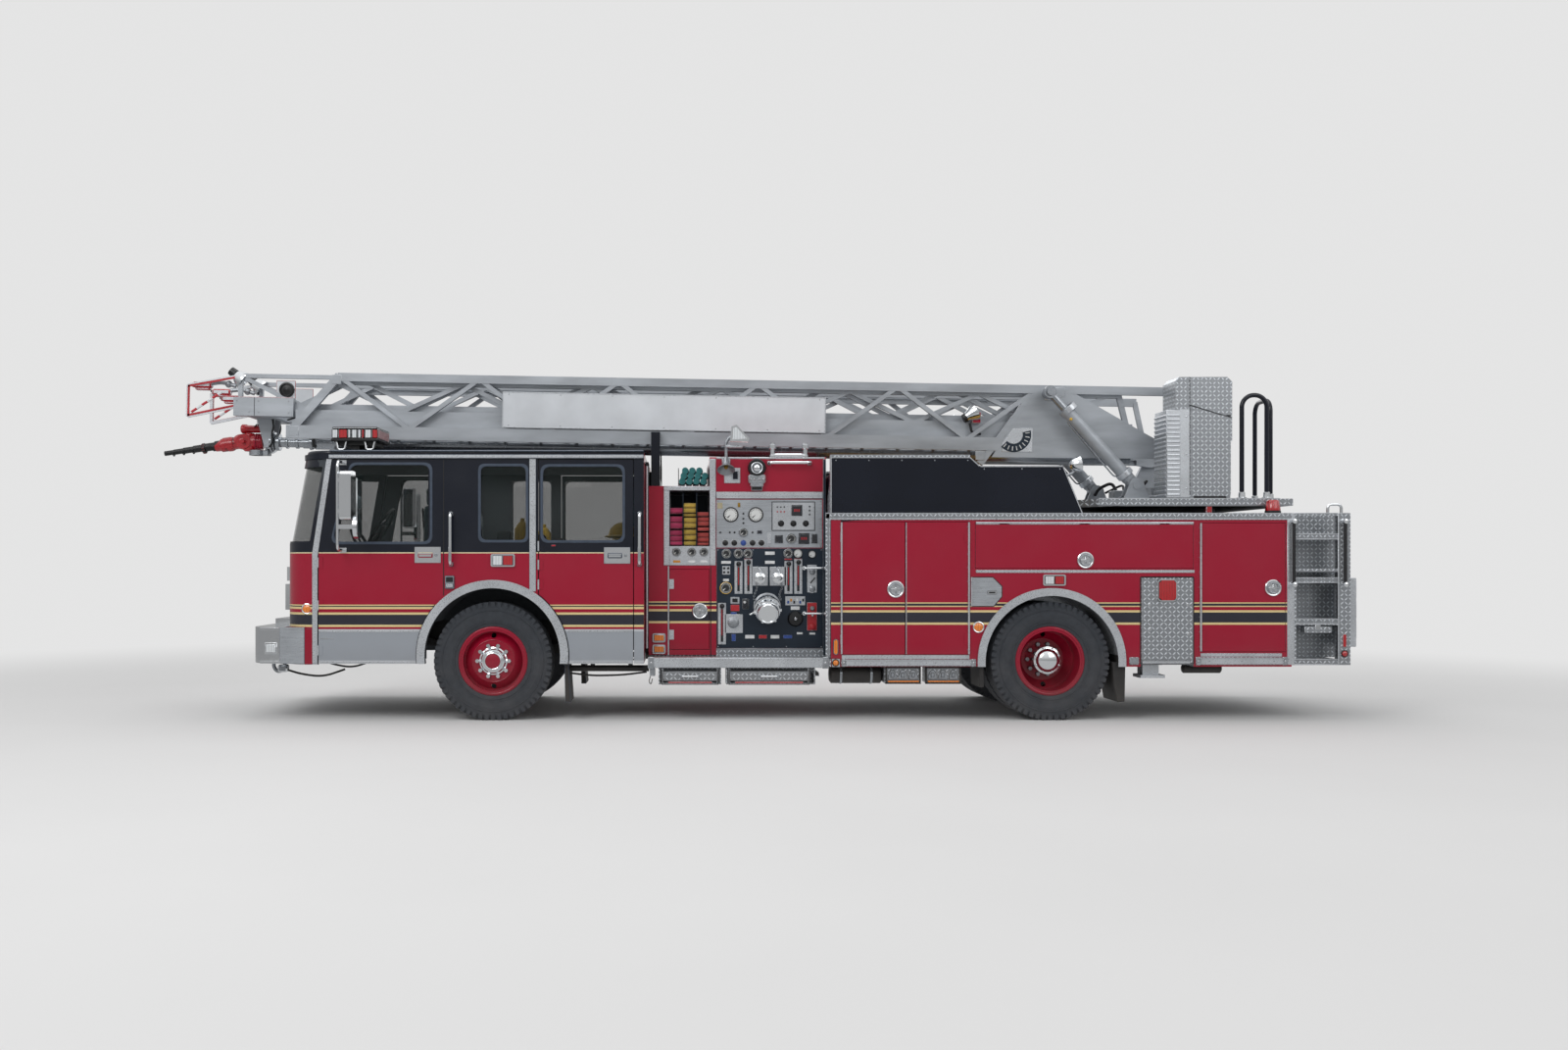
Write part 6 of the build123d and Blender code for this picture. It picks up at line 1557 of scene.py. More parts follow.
        # Floodlight on a post, with the bell-mouthed horn under it.
        shape.tube([(2137, out + 20, top - 60), (2137, out + 20, 2560), (2160, out + 20, 2600), (2196, out + 30, 2616)],
                   15, "cast_alloy", bend=40)
        shape.box((2098, out - 2, 2330), (2176, out + 20, 2408), "cast_alloy", 6)
        shape.prism([(2170, 2566), (2186, 2700), (2232, 2714), (2352, 2588), (2340, 2560)], "Y", out - 30, out + 110,
                    "chrome")
        shape.prism([(2192, 2578), (2204, 2684), (2228, 2694), (2326, 2586)], "Y", out + 108, out + 116, "clear_lens")
        shape.box((2130, out - 10, 2508), (2290, out + 60, 2532), "anodised_trim", 5)
        horn = tipped((2135, out + 30, 2390), radians(34), "X")
        shape.lathe((0, 0, 0), "Z",
                    [(20, 0), (20, 26), (-40, 30), (-70, 44), (-100, 74), (-110, 84), (-114, 80), (-96, 58),
                     (-60, 30), (-40, 0)], "cast_alloy", 32, horn)
        shape.lathe((0, 0, 0), "Z", [(-50, 0), (-52, 24), (-92, 16), (-98, 0)], "brass", 20, horn)
        # A framed window with a dark insert.
        shape.plates(
            out,
            (2118, 2270, 2180, 2324, -2, 10, "anodised_trim", 4),
            (2190, 2256, 2206, 2300, 8, 16, "navy_enamel", 10),
        )
        # Round siren: black ring, polished dome, and its silver gear case below.
        shape.lathe((2423, out, 2321), "Y", [(0, 0), (0, 84), (40, 84), (52, 76), (52, 62), (38, 56), (38, 0)],
                    "black_abs", 40)
        shape.ring((2423, out + 44, 2321), "Y", 50, 7, "anodised_trim", steps=36, sides=8)
        shape.lathe((2423, out + 34, 2321), "Y", [(0, 0), (0, 40), (14, 34), (26, 18), (30, 0)], "chrome", 28)
        shape.plates(
            out,
            (2342, 2504, 2176, 2262, -2, 52, "cast_alloy", 14),
            (2362, 2486, 2146, 2180, -2, 40, "cast_alloy", 8),
            (2372, 2476, 2112, 2150, -2, 22, "black_abs", 4),
        )
        for a in (2366, 2400, 2446, 2482):
            shape.disc((a, out + 50, 2214), "Y", 9, 0, 8, "chrome", 3, 12)
        # Hand rail under the roof edge and the two chromed stanchions joined by a pipe.
        grab_bar(shape, 2368, 2540, 2915, out, 62, 15, along="X")
        for station in (2570, 2876):
            shape.box((station - 32, out - 40, 2404), (station + 32, out + 22, 2420), "chrome", 4)
            shape.lathe((station, out - 8, 2410), "Z",
                        [(0, 0), (0, 30), (30, 30), (36, 22), (86, 22), (92, 33), (128, 33),
                         (134, 24), (146, 24), (150, 0)], "chrome", 24)
        shape.tube([(2570, out - 8, 2440), (2876, out - 8, 2440)], 20, "chrome")
        # Bright edge along the roof line.
        shape.box((2045, out - 30, 2404), (3060, out + 4, 2424), "anodised_trim", 6)

    def dials(self, label, flank):
        """Gauge faces with their own UV map, behind bezels."""
        out = PANEL_SIDE + 4
        shape = Shape(flank)
        layer = shape.mesh.loops.layers.uv.new("dial")
        for face, (station, height, radius) in grouped(DIALS):
            first = len(shape.mesh.faces)
            ring_points = [(station + radius * cos(a), out + 9, height + radius * sin(a)) for a in
                           (2 * pi * i / 32 for i in range(32))]
            shape.add(ring_points, [tuple(range(32))], face)
            shape.mesh.faces.ensure_lookup_table()
            for face_made in shape.mesh.faces[first:]:
                for loop in face_made.loops:
                    across = (loop.vert.co.x - station) / radius
                    loop[layer].uv = (0.5 + across * 0.5, 0.5 + (loop.vert.co.z - height) / radius * 0.5)
            bezel = "cast_alloy" if face == "dark_dial" else "black_abs"
            shape.lathe((station, out, height), "Y",
                        [(0, radius * 0.9), (0, radius * 1.12), (12, radius * 1.08), (14, radius),
                         (8, radius * 0.9), (0, radius * 0.9)], bezel, 32)
        shape.finish(f"pump_dials_{label}", "chassis", "pump_house")

    def small_door(self, label, flank):
        shape = Shape(flank)
        d_latch(shape, 1892, 988, PANEL_SIDE)
        shape.finish(f"pump_door_latch_{label}", f"pump_door_{label}", f"pump_door_{label}")

    def boards(self, label, flank):
        """The running board's channel, the hanging steps and the small gear beside them."""
        shape = Shape(flank)
        out = HALF_WIDTH
        shape.plates(
            out,
            (1415, 3062, 480, 574, -22, 3, "anodised_trim", 4),
            (1415, 3062, 492, 500, 2, 7, "anodised_trim", 1),
            (1415, 3062, 556, 566, 2, 7, "anodised_trim", 1),
        )
        for a in (1418, 3006):
            shape.box((a, out - 24, 474), (a + 56, out + 12, 580), "cast_alloy", 4)
            shape.disc((a + 28, out + 10, 527), "Y", 9, 0, 6, "chrome", 2, 12)
        shape.box((1470, PANEL_SIDE + 8, 562), (3010, out - 20, 568), "treadplate")
        for low, high in ((1540, 2060), (2150, 2890)):
            shape.plates(
                out,
                (low, high, 326, 338, -4, 3, "chassis_black", 2),
                (low, low + 16, 326, 474, -6, 4, "chassis_black", 3),
                (high - 16, high, 326, 474, -6, 4, "chassis_black", 3),
                (low + 18, high - 18, 362, 448, -14, -2, "treadplate", 2),
            )
            mid = (low + high) / 2
            grab_bar(shape, 404, mid - 74, mid + 74, out - 4, 26, 8, along="X")
            shape.box((low + 60, out - 8, 340), (high - 60, out + 2, 356), "red_lens", 2)
        # Air coupling with its safety loop in front, and a rubber buffer behind.
        shape.box((1432, out - 60, 404), (1482, out - 14, 478), "cast_alloy", 8)
        shape.tube([(1440, out - 40, 410), (1424, out - 40, 350), (1444, out - 40, 326), (1456, out - 40, 380)], 4,
                   "black_rubber", bend=16)
        shape.prism([(2898, 462), (2930, 470), (2976, 440), (2982, 402), (2940, 404)], "Y", out - 80, out - 20,
                    "black_rubber", 6)
        shape.finish(f"running_board_trim_{label}", "chassis", "running_boards")


def ball(radius, steps=8):
    """Profile of a ball for a lathe."""
    return [(-radius * cos(pi * i / steps), radius * sin(pi * i / steps) if 0 < i < steps else 0)
            for i in range(steps + 1)]


def d_latch(shape, station, height, out, radius=74):
    """A flush round latch: a chromed dish with a D-shaped ring handle folded into it."""
    shape.lathe((station, out, height), "Y",
                [(0, 0), (0, radius), (16, radius * 0.98), (20, radius * 0.9), (18, radius * 0.8),
                 (15, radius * 0.76), (15, 0)], "chrome", 40)
    shape.ring((station, out + 20, height), "Y", radius * 0.62, 6.5, "cast_alloy", steps=28, sides=8)
    shape.plates(
        out,
        (station - radius * 0.62, station + radius * 0.62, height - 8, height + 8, 14, 27, "chrome", 4),
        (station - 8, station + 8, height - radius * 0.6, height + radius * 0.6, 14, 24, "cast_alloy", 3),
    )
    shape.disc((station, out + 20, height), "Y", 14, 0, 9, "chrome", 3, 20)


BED_PANEL = ((3084, 1890), (3084, 2402), (4353, 2402), (4442, 2321), (5201, 2321), (5379, 1890))
FUEL_DOOR = ((4368, 1310), (4560, 1310), (4646, 1225), (4646, 1128), (4568, 1037), (4368, 1037))
# Bright channels that guard the body's lower edge; columns: front and rear station, bottom and top
RUB_RAILS = ((3181, 4401, 495, 558), (6410, 7240, 508, 578))
# Flat bright strips under and between the lockers; same columns
PLAIN_STRIPS = ((3181, 4346, 561, 598), (4404, 6396, 1346, 1373), (6450, 7192, 582, 614))
# Full-height hinges; columns: station, bottom, top
HINGE_LINES = ((3180, 606, 1806), (4340, 606, 1806), (6453, 632, 1798))


def rivet_line(shape, start, end, facing=(0, 1, 0), finish="cast_alloy", radius=7.0, pitch=None):
    """A row of domed rivets from start to end."""
    sizes = bpy.context.scene.fire_engine_sizes
    span = (Vector(end) - Vector(start)).length
    count = max(1, round(span / (pitch or sizes.rivet_pitch / MM)))
    shape.grown(grow(trees["rivets"], finish, Start=start, End=end, Pitch=span / count, Radius=radius, Facing=facing))


def edge_strip(shape, start, end, width, low, high, finish, bevel=0.0):
    """A flat strip on a flank that runs from start to end, with its width to the right of that way."""
    along = Vector((end[0] - start[0], end[1] - start[1])).normalized()
    shift = Vector((along.y, -along.x)) * width
    outline = [start, end, (end[0] + shift.x, end[1] + shift.y), (start[0] + shift.x, start[1] + shift.y)]
    shape.prism(outline, "Y", low, high, finish, bevel)


def rub_rail(shape, front, rear, low, high, out):
    """A bright channel with two ridges, end caps and bolts."""
    shape.box((front, out - 20, low), (rear, out + 8, high), "anodised_trim", 3)
    for z in (low + 4, high - 12):
        shape.box((front + 4, out + 6, z), (rear - 4, out + 15, z + 8), "anodised_trim", 2)
    for a in (front - 4, rear - 44):
        shape.box((a, out - 20, low - 3), (a + 48, out + 13, high + 3), "cast_alloy", 5)
        shape.disc((a + 24, out + 12, (low + high) / 2), "Y", 8, 0, 4, "chrome", 2, 12)
    rivet_line(shape, (front + 120, out + 8, (low + high) / 2), (rear - 120, out + 8, (low + high) / 2), radius=6,
               pitch=240)


class TrimBody(bpy.types.Operator):
    """Strips, hinges, latches, lamps and fittings of the locker sides"""

    bl_idname = "fire_engine.trim_body"
    bl_label = "Trim the body"

    def execute(self, context):
        for label, flank in both_flanks():
            self.bright_work(label, flank)
            self.bed_panel(label, flank)
            self.fittings(label, flank)
            self.doors(label, flank)
            self.stabiliser(label, flank)
        return {"FINISHED"}

    def bright_work(self, label, flank):
        shape, out = Shape(flank), HALF_WIDTH
        shape.plates(
            out,
            (3036, 3073, 574, 1891, -40, 5, "treadplate", 3),
            (3070, 3077, 600, 1891, -1, 6, "anodised_trim", 2),
            (3036, 7281, 1842, 1886, -3, 5, "treadplate", 1),
            (3073, 7281, 1828, 1843, -3, 10, "anodised_trim", 3),
            (3036, 7281, 1883, 1892, -9, 6, "anodised_trim", 2),
        )
        rivet_line(shape, (3110, out + 5, 1864), (7240, out + 5, 1864))
        for front, rear, low, high in PLAIN_STRIPS:
            shape.box((front, out - 2, low), (rear, out + 4, high), "anodised_trim", 2)
        for front, rear, low, high in RUB_RAILS:
            rub_rail(shape, front, rear, low, high, out)
        for station, low, high in HINGE_LINES:
            shape.box((station - 8, out - 1, low), (station + 8, out + 5, high), "anodised_trim", 1)
            shape.tube([(station, out + 7, low), (station, out + 7, high)], 9, "anodised_trim", sides=10)
            rivet_line(shape, (station - 12, out + 1, low + 40), (station - 12, out + 1, high - 40), radius=4,
                       pitch=130)
        shape.box((4404, out - 1, 1786), (6384, out + 5, 1803), "anodised_trim", 1)
        shape.tube([(4404, out + 7, 1802), (6384, out + 7, 1802)], 9, "anodised_trim", sides=10)
        shape.box((5801, out - 24, 508), (5890, out + 10, 578), "cast_alloy", 6)
        shape.finish(f"body_trim_{label}", "chassis", "body")

    def bed_panel(self, label, flank):
        """The painted panel beside the hose bed, with its treadplate and bright edges."""
        shape, out = Shape(flank), HALF_WIDTH
        shape.prism(list(BED_PANEL), "Y", out - 2, out + 2, "navy_enamel")
        for start, end in zip(BED_PANEL[1:], BED_PANEL[2:]):
            edge_strip(shape, start, end, 12, out - 26, out + 5, "anodised_trim", 2)
        edge_strip(shape, (3084, 2424), (4353, 2424), 24, out - 60, out + 3, "treadplate", 2)
        shape.box((3076, out - 40, 1890), (3092, out + 6, 2424), "anodised_trim", 3)
        rivet_line(shape, (3130, out + 2, 2370), (4330, out + 2, 2370), radius=6)
        rivet_line(shape, (4480, out + 2, 2292), (5170, out + 2, 2292), radius=6)
        # Spotlight on a stub at the panel's rear end, turned towards the turntable.
        shape.tube([(5270, out - 150, 2240), (5330, out - 150, 2262), (5372, out - 150, 2330)], 13, "cast_alloy",
                   bend=30)
        turned = tipped((5372, out - 150, 2342), radians(82), "Y")
        shape.lathe((0, 0, 0), "Z", [(-74, 0), (-72, 26), (-50, 52), (0, 72), (26, 78), (30, 70), (20, 40), (20, 0)],
                    "chrome", 32, turned)
        shape.finish(f"bed_panel_{label}", "chassis", "body")

    def fittings(self, label, flank):
        shape, out = Shape(flank), HALF_WIDTH
        # Fuel filler door: a dark shut line, the flap proud of it, its hinge and its slotted latch.
        shape.prism(list(FUEL_DOOR), "Y", out - 2, out + 1, "black_rubber")
        shape.prism(shrink(list(FUEL_DOOR), 7), "Y", out - 1, out + 3, "brushed_stainless", 0.8)
        shape.tube([(4366, out + 4, 1042), (4366, out + 4, 1306)], 9, "anodised_trim", sides=10)
        shape.plates(
            out,
            (4509, 4594, 1150, 1184, 1, 8, "chrome", 3),
            (4522, 4580, 1160, 1174, 7, 9, "black_abs", 1),
        )
        lamp_box(shape, 5012, 5219, 1229, 1331, out, ("clear_lens", "red_lens"))
        round_lamp(shape, 4427, 852, 46, out, "amber_lens")
        # Orange reflector in a six-cornered grey bezel, and the small round amber lamp under it.
        six = [(3105, 615), (3118, 600), (3138, 600), (3150, 615), (3150, 728), (3138, 743), (3118, 743), (3105, 728)]
        shape.prism(six, "Y", out - 1, out + 12, "cast_alloy", 2)
        shape.prism(shrink(six, 6), "Y", out + 10, out + 15, "amber_lens", 1)
        shape.box((3088, out - 20, 486), (3168, out + 6, 566), "anodised_trim", 4)
        round_lamp(shape, 3126, 527, 29, out + 5, "amber_lens", bezel="black_abs")
        self.chock_boxes(shape, out)
        # Long air tank under the front lockers and the short one ahead of the tail.
        shape.lathe((3330, 1010, 408), "X", [(-250, 0), (-244, 60), (-226, 84), (226, 84), (244, 60), (250, 0)],
                    "chassis_black", 28)
        for station in (3190, 3470):
            shape.ring((station, 1010, 408), "X", 86, 5, "ground_steel", steps=32, sides=6, flat=2.4)
        shape.lathe((6530, 1020, 462), "X", [(-186, 0), (-180, 30), (-168, 44), (168, 44), (180, 30), (186, 0)],
                    "chassis_black", 24)
        for station in (6420, 6640):
            shape.box((station - 14, 1000, 440), (station + 14, 1040, 566), "chassis_black", 3)
        shape.prism([(5655, 530), (5775, 530), (5768, 172), (5700, 166), (5668, 330)], "Y", 760, 1196, "black_rubber",
                    4)
        shape.prism([(4440, 530), (4478, 530), (4486, 300), (4446, 300)], "Y", 780, 1190, "black_rubber", 3)
        shape.finish(f"body_fittings_{label}", "chassis", "body")

    def chock_boxes(self, shape, out):
        """Black frames under the lockers, each with three wheel chocks and an orange strip."""
        for left, right in ((3583, 3906), (3949, 4272)):
            for low, high in ((333, 345), (476, 488)):
                shape.box((left, out - 60, low), (right, out - 12, high), "chassis_black", 2)
            for a in (left, right - 14):
                shape.box((a, out - 60, 333), (a + 14, out - 12, 488), "chassis_black", 2)
            shape.box((left + 8, out - 58, 340), (right - 8, out - 50, 480), "black_abs")
            width = (right - left - 40) / 3
            for i in range(3):
                a = left + 20 + i * width
                wedge = [(a + 4, 372), (a + width - 6, 372), (a + width - 6, 404), (a + width * 0.62, 462),
                         (a + width * 0.3, 462), (a + 4, 404)]
                shape.prism(wedge, "Y", out - 50, out - 24, "cast_alloy", 4)
                shape.box((a + width * 0.3, out - 26, 392), (a + width * 0.64, out - 18, 436), "ground_steel", 4)
            shape.box((left + 18, out - 24, 348), (right - 18, out - 10, 364), "amber_lens", 2)

    def doors(self, label, flank):
        out = HALF_WIDTH
        for kind, station, height, radius in (
            ("front_leaf", 3672, 1198, 78), ("high", 5400, 1462, 76), ("rear", 7108, 1210, 76),
        ):
            shape = Shape(flank)
            d_latch(shape, station, height, out, radius)
            shape.finish(f"{kind}_door_latch_{label}", f"{kind}_door_{label}", f"{kind}_door_{label}")
        # Folded bright edge of the second leaf beside the gap between the two.
        shape = Shape(flank)
        shape.box((3767, out - 1, 606), (3774, out + 3, 1804), "anodised_trim", 1)
        shape.finish(f"rear_leaf_door_edge_{label}", f"rear_leaf_door_{label}", f"rear_leaf_door_{label}")

    def stabiliser(self, label, flank):
        """Shut line, warning lamp, bolts and rail on the stabiliser's outer panel."""
        shape, out = Shape(flank), HALF_WIDTH
        shape.band(rounded(5903, 6387, 521, 1302, 10), rounded(5897, 6393, 514, 1309, 12), "Y", out - 20, out + 1,
                   "black_rubber")
        shape.box((5910, out - 3, 524), (6384, out + 3, 1300), "treadplate", 1.5)
        shape.prism(rounded(6057, 6234, 1085, 1290, 26), "Y", out, out + 12, "chrome", 3)
        shape.prism(rounded(6069, 6222, 1097, 1278, 22), "Y", out + 8, out + 24, "red_lens", 7)
        shape.studs(out + 2, ((5987, 1055), (6335, 1055), (5992, 831), (6340, 787)), 15, 9, "chrome", 3, 18)
        shape.box((5916, out, 513), (6357, out + 10, 555), "anodised_trim", 3)
        for z in (517, 543):
            shape.box((5920, out + 8, z), (6353, out + 15, z + 7), "anodised_trim", 2)
        shape.finish(f"stabiliser_trim_{label}", f"stabiliser_{label}", f"stabiliser_{label}")
        mid = 6035 if label == "left" else 6260
        foot = Shape(flank)
        foot.box((mid - 110, 940, 384), (mid + 110, 1160, 398), "chassis_black", 4)
        foot.finish(f"jack_foot_{label}", f"jack_{label}", f"jack_{label}")


RECESS = 940.0
DECK_SIDE, DECK_TOP = 1080.0, 2030.0
PEDESTAL_SIDE = 1075.0


def post_rail(shape, station, low, high, out):
    """A black-gripped hand rail on chromed stanchions."""
    for z in (low, high):
        shape.box((station - 20, out, z - 24), (station + 20, out + 8, z + 24), "chrome", 3)
        shape.lathe((station, out + 6, z), "Y", [(0, 20), (20, 16), (34, 22), (58, 22), (64, 12), (66, 0)], "chrome",
                    16)
    shape.tube([(station, out + 42, low), (station, out + 42, high)], 15, "black_rubber")


class TrimTail(bpy.types.Operator):
    """Corner posts, steps, rails and lamps of the tail"""

    bl_idname = "fire_engine.trim_tail"
    bl_label = "Trim the tail"

    def execute(self, context):
        for label, flank in both_flanks():
            shape, out = Shape(flank), HALF_WIDTH
            shape.box((7240, out - 60, 508), (7307, out + 4, 1891), "anodised_trim", 3)
            rivet_line(shape, (7252, out + 4, 560), (7252, out + 4, 1860), radius=6, pitch=215)
            post_rail(shape, 7286, 1240, 1815, out)
            shape.plates(
                out,
                (7700, 7800, 508, 1891, -64, 4, "treadplate", 3),
                (7700, 7712, 508, 1891, -30, 6, "anodised_trim", 2),
            )
            post_rail(shape, 7752, 1240, 1815, out)
            self.steps(shape, out)
            self.rear_face(shape, out)
            six = [(7743, 682), (7750, 670), (7768, 670), (7775, 682), (7775, 775), (7768, 787), (7750, 787),
                   (7743, 775)]
            shape.prism(six, "Y", out + 2, out + 13, "red_lens", 2)
            round_lamp(shape, 7761, 610, 29, out + 2, "red_lens", bezel="black_abs")
            # Loop handle on top, the recess with its brass cap, drawn as a bright frame round a black plate that is
            # painted shade, and the latch of the folding step.
            shape.tube([(7637, out - 60, 1886), (7637, out - 60, 1972), (7761, out - 60, 1972), (7761, out - 60, 1886)],
                       13, "chrome", bend=40)
            shape.box((7326, RECESS + 2, 1006), (7446, RECESS + 9, 1134), "anodised_trim", 3)
            # The black plate is painted shade inside the recess
            shape.box((7334, RECESS + 8, 1014), (7438, RECESS + 11, 1126), "black_abs", 2)
            shape.disc((7386, RECESS + 10, 1066), "Y", 36, 0, 26, "brass", 6, 24)
            shape.box((7494, out - 36, 826), (7546, out + 4, 878), "chrome", 5)
            shape.finish(f"tail_trim_{label}", "chassis", "tail")
        self.hitch()
        return {"FINISHED"}

    def steps(self, shape, out):
        for low, high in ((1650, 1703), (1255, 1302), (879, 928), (508, 561)):
            shape.box((7308, RECESS, low), (7702, out - 2, high), "treadplate", 3)
            shape.plates(
                out,
                (7308, 7702, low - 2, low + 8, -6, 3, "anodised_trim", 2),
                (7308, 7702, high - 6, high + 3, -6, 3, "anodised_trim", 2),
            )
        shape.box((7400, out - 90, 799), (7650, out + 1, 857), "treadplate", 4)
        shape.box((7312, RECESS - 4, 561), (7698, RECESS + 3, 1888), "treadplate", 1)
        for station in (7440, 7560):
            shape.box((station - 3, RECESS, 930), (station + 3, RECESS + 6, 1250), "anodised_trim", 1)
        shape.box((7308, out - 60, 1866), (7800, out + 2, 1893), "treadplate", 3)

    def rear_face(self, shape, out):
        """Stacked lamps in a pale housing, and the treads that cross the back."""
        shape.box((7798, out - 372, 668), (7900, out - 60, 1300), "anodised_trim", 6)
        for low, high, lens in ((1112, 1276, "red_lens"), (928, 1092, "amber_lens"), (744, 908, "clear_lens")):
            shape.plates(
                out,
                (7896, 7911, low, high, -352, -80, lens, 5),
                (7892, 7903, low - 8, high + 8, -362, -70, "chrome", 4),
            )
        shape.box((7798, 40, 560), (7806, out - 380, 1886), "treadplate", 1)
        for z in (640, 1000, 1360, 1720):
            shape.box((7800, 60, z), (7812, out - 400, z + 30), "anodised_trim", 3)

    def hitch(self):
        shape = Shape()
        for y in (-240, 240):
            shape.tube([(7700, y, 700), (7840, y, 690), (7880, y, 640), (7840, y, 590), (7700, y, 590)], 18,
                       "cast_alloy", bend=50)
        shape.box((7690, -330, 560), (7722, 330, 760), "chassis_black", 6)
        shape.finish("tail_hitch", "chassis", "tail")


class TrimTurntable(bpy.types.Operator):
    """Cabinet, console, lamps, lift fittings and hoops on the turntable"""

    bl_idname = "fire_engine.trim_turntable"
    bl_label = "Trim the turntable"

    def execute(self, context):
        self.cabinet()
        self.deck()
        self.cylinders()
        return {"FINISHED"}

    def cabinet(self):
        shape, out = Shape(flipped(-1)), PEDESTAL_SIDE
        inner = 738
        # Ribbed front part, the plain screwed edge beside it, and the treadplate box with its hood.
        shape.box((6192, inner, 2040), (6404, out + 1, 2846), "anodised_trim", 3)
        for i in range(19):
            z = 2066 + i * 40.5
            shape.tube([(6196, out + 1, z), (6308, out + 1, z)], 11, "anodised_trim", sides=8)
            shape.tube([(6192, out - 8, z), (6192, inner + 8, z)], 11, "anodised_trim", sides=8)
        shape.box((6312, out - 2, 2040), (6404, out + 4, 2852), "anodised_trim", 2)
        for z in (2120, 2440, 2780):
            shape.disc((6372, out + 3, z), "Y", 9, 0, 6, "chrome", 2, 14)
        shape.box((6404, out - 2, 2060), (6782, out + 4, 2800), "treadplate", 2)
        shape.prism([(6278, 2868), (6404, 2886), (6404, 3148), (6316, 3148), (6278, 3116)], "Y", out - 2, out + 3,
                    "treadplate", 1)
        shape.prism([(6404, 2894), (6792, 2776), (6792, 3104), (6752, 3148), (6404, 3148)], "Y", out - 2, out + 4,
                    "treadplate", 1)
        edge_strip(shape, (6404, 2894), (6788, 2777), 7, out + 1, out + 5, "black_rubber")
        shape.box((6400, out - 1, 2060), (6406, out + 5, 3148), "black_rubber")
        shape.studs(out + 3, ((6428, 2850), (6760, 2740), (6428, 2100), (6760, 2100)), 8, 5, "cast_alloy", 2, 12)
        shape.box((6440, inner, 2034), (6740, out + 2, 2052), "black_rubber")
        # The console's face looks to the rear: levers and dials.
        for i in range(4):
            y = inner + 60 + i * 62
            shape.tube([(6780, y, 2530), (6815, y, 2590)], 6, "chrome")
            shape.lathe((6815, y, 2592), "X", ball(15), "black_abs", 14)
        for y in (inner + 80, inner + 170, inner + 260):
            shape.disc((6778, y, 2420), "X", 32, 0, 12, "chrome", 3, 24)
            shape.disc((6788, y, 2420), "X", 26, 0, 4, "black_panel", 1, 24)
        shape.finish("pedestal_trim", body_named("pedestal"), "pedestal")

    def deck(self):
        shape = Shape()
        # Bright edge of the deck, the drum it turns on, and the sockets of the hoops.
        for side in (-1, 1):
            shape.box((5560, side * (DECK_SIDE - 6), 1964), (7230, side * (DECK_SIDE + 3), 2028), "treadplate", 2)
            shape.box((5560, side * (DECK_SIDE - 4), 2024), (7230, side * (DECK_SIDE + 5), 2034), "anodised_trim", 2)
            shape.box((7150, side * 700, 1964), (7355, side * (DECK_SIDE - 2), 2029), "treadplate", 2)
            shape.box((6556, side * 1040, 1896), (6613, side * 1074, 1962), "red_lens", 6)
        # The drum stands for the slewing ring; its chassis black is also painted shade of the gap under the deck
        slew = (6396, 0, 1962)
        shape.lathe(slew, "Z", [(-2, 560), (-46, 560), (-46, 600), (-2, 600)], "chassis_black", 64)
        for spot in ((6895, -1045), (7125, -1045), (7300, -700), (7300, -330)):
            shape.lathe((*spot, DECK_TOP), "Z", [(0, 0), (0, 46), (8, 46), (14, 30), (58, 28), (62, 22)], "chrome", 24)
        shape.finish("deck_trim", "turntable", "turntable")
        gear = Shape()
        # Swivel, hoses and boxes between the ladder's feet.
        gear.lathe((6396, 0, DECK_TOP), "Z", [(0, 0), (0, 150), (60, 150), (80, 110), (150, 105), (150, 0)],
                   "cast_alloy", 36)
        for side in (-1, 1):
            gear.box((6080, side * 180, DECK_TOP), (6230, side * 360, 2170), "ladder_silver", 8)
            gear.tube([(6150, side * 300, 2150), (6120, side * 380, 2260), (6010, side * 470, 2200),
                       (6000, side * 560, 2140)], 16,
                      "black_rubber", bend=60)
            gear.tube([(6200, side * 240, 2150), (6240, side * 400, 2240), (6100, side * 540, 2160)], 12,
                      "black_rubber", bend=60)
            gear.tube([(6090, side * 590, 2060), (5960, side * 590, 2080), (5900, side * 600, 2060)], 10,
                      "ground_steel", bend=30)
        gear.finish("deck_gear", "turntable", "turntable")

    def cylinders(self):
        """Clevis blocks, gland rings and feed tubes of the lift cylinders."""
        foot, eye = self.ends()
        along = (eye - foot).normalized()
        lean = Matrix.Translation(foot) @ Vector((0, 0, 1)).rotation_difference(along).to_matrix().to_4x4()
        for label, flank in both_flanks():
            shape = Shape(flank)
            across = 650
            turned = Matrix.Translation((0, across, 0)) @ lean
            shape.box((-52, -48, -44), (52, 48, 130), "cast_alloy", 12, turned)
            shape.disc((0, 0, 0), "Y", 26, 46, 58, "ground_steel", 5, 24, turned)
            shape.lathe((0, 0, 0), "Z", [(930, 66), (938, 80), (985, 80), (992, 60)], "anodised_trim", 36, turned)
            shape.lathe((0, 0, 0), "Z", [(120, 70), (126, 80), (170, 80), (176, 70)], "anodised_trim", 36, turned)
            shape.tube([(-62, 0, 170), (-92, 0, 200), (-92, 0, 860), (-76, 0, 890)], 8, "ground_steel", bend=20,
                       place=turned)
            shape.disc((-60, 40, 880), "Y", 14, 0, 22, "yellow_lens", 4, 14, turned)
            shape.finish(f"lift_trim_{label}", "lift_barrels", "lift_barrels")

    def ends(self):
        """Middles of the cylinders' foot and rod pins."""
        return Vector((6030, 0, 2170)), (LADDER @ Vector((1340, 0, 545)))


GUARD = ((9168, 600), (9680, 499), (9680, 195), (9200, 302))
SIGN_BOARD = (3492, 6601, 125, 470)


def on_ladder(side):
    """Ladder tables hold (along, out, up) with out positive on the flank."""
    return LADDER @ flipped(side)


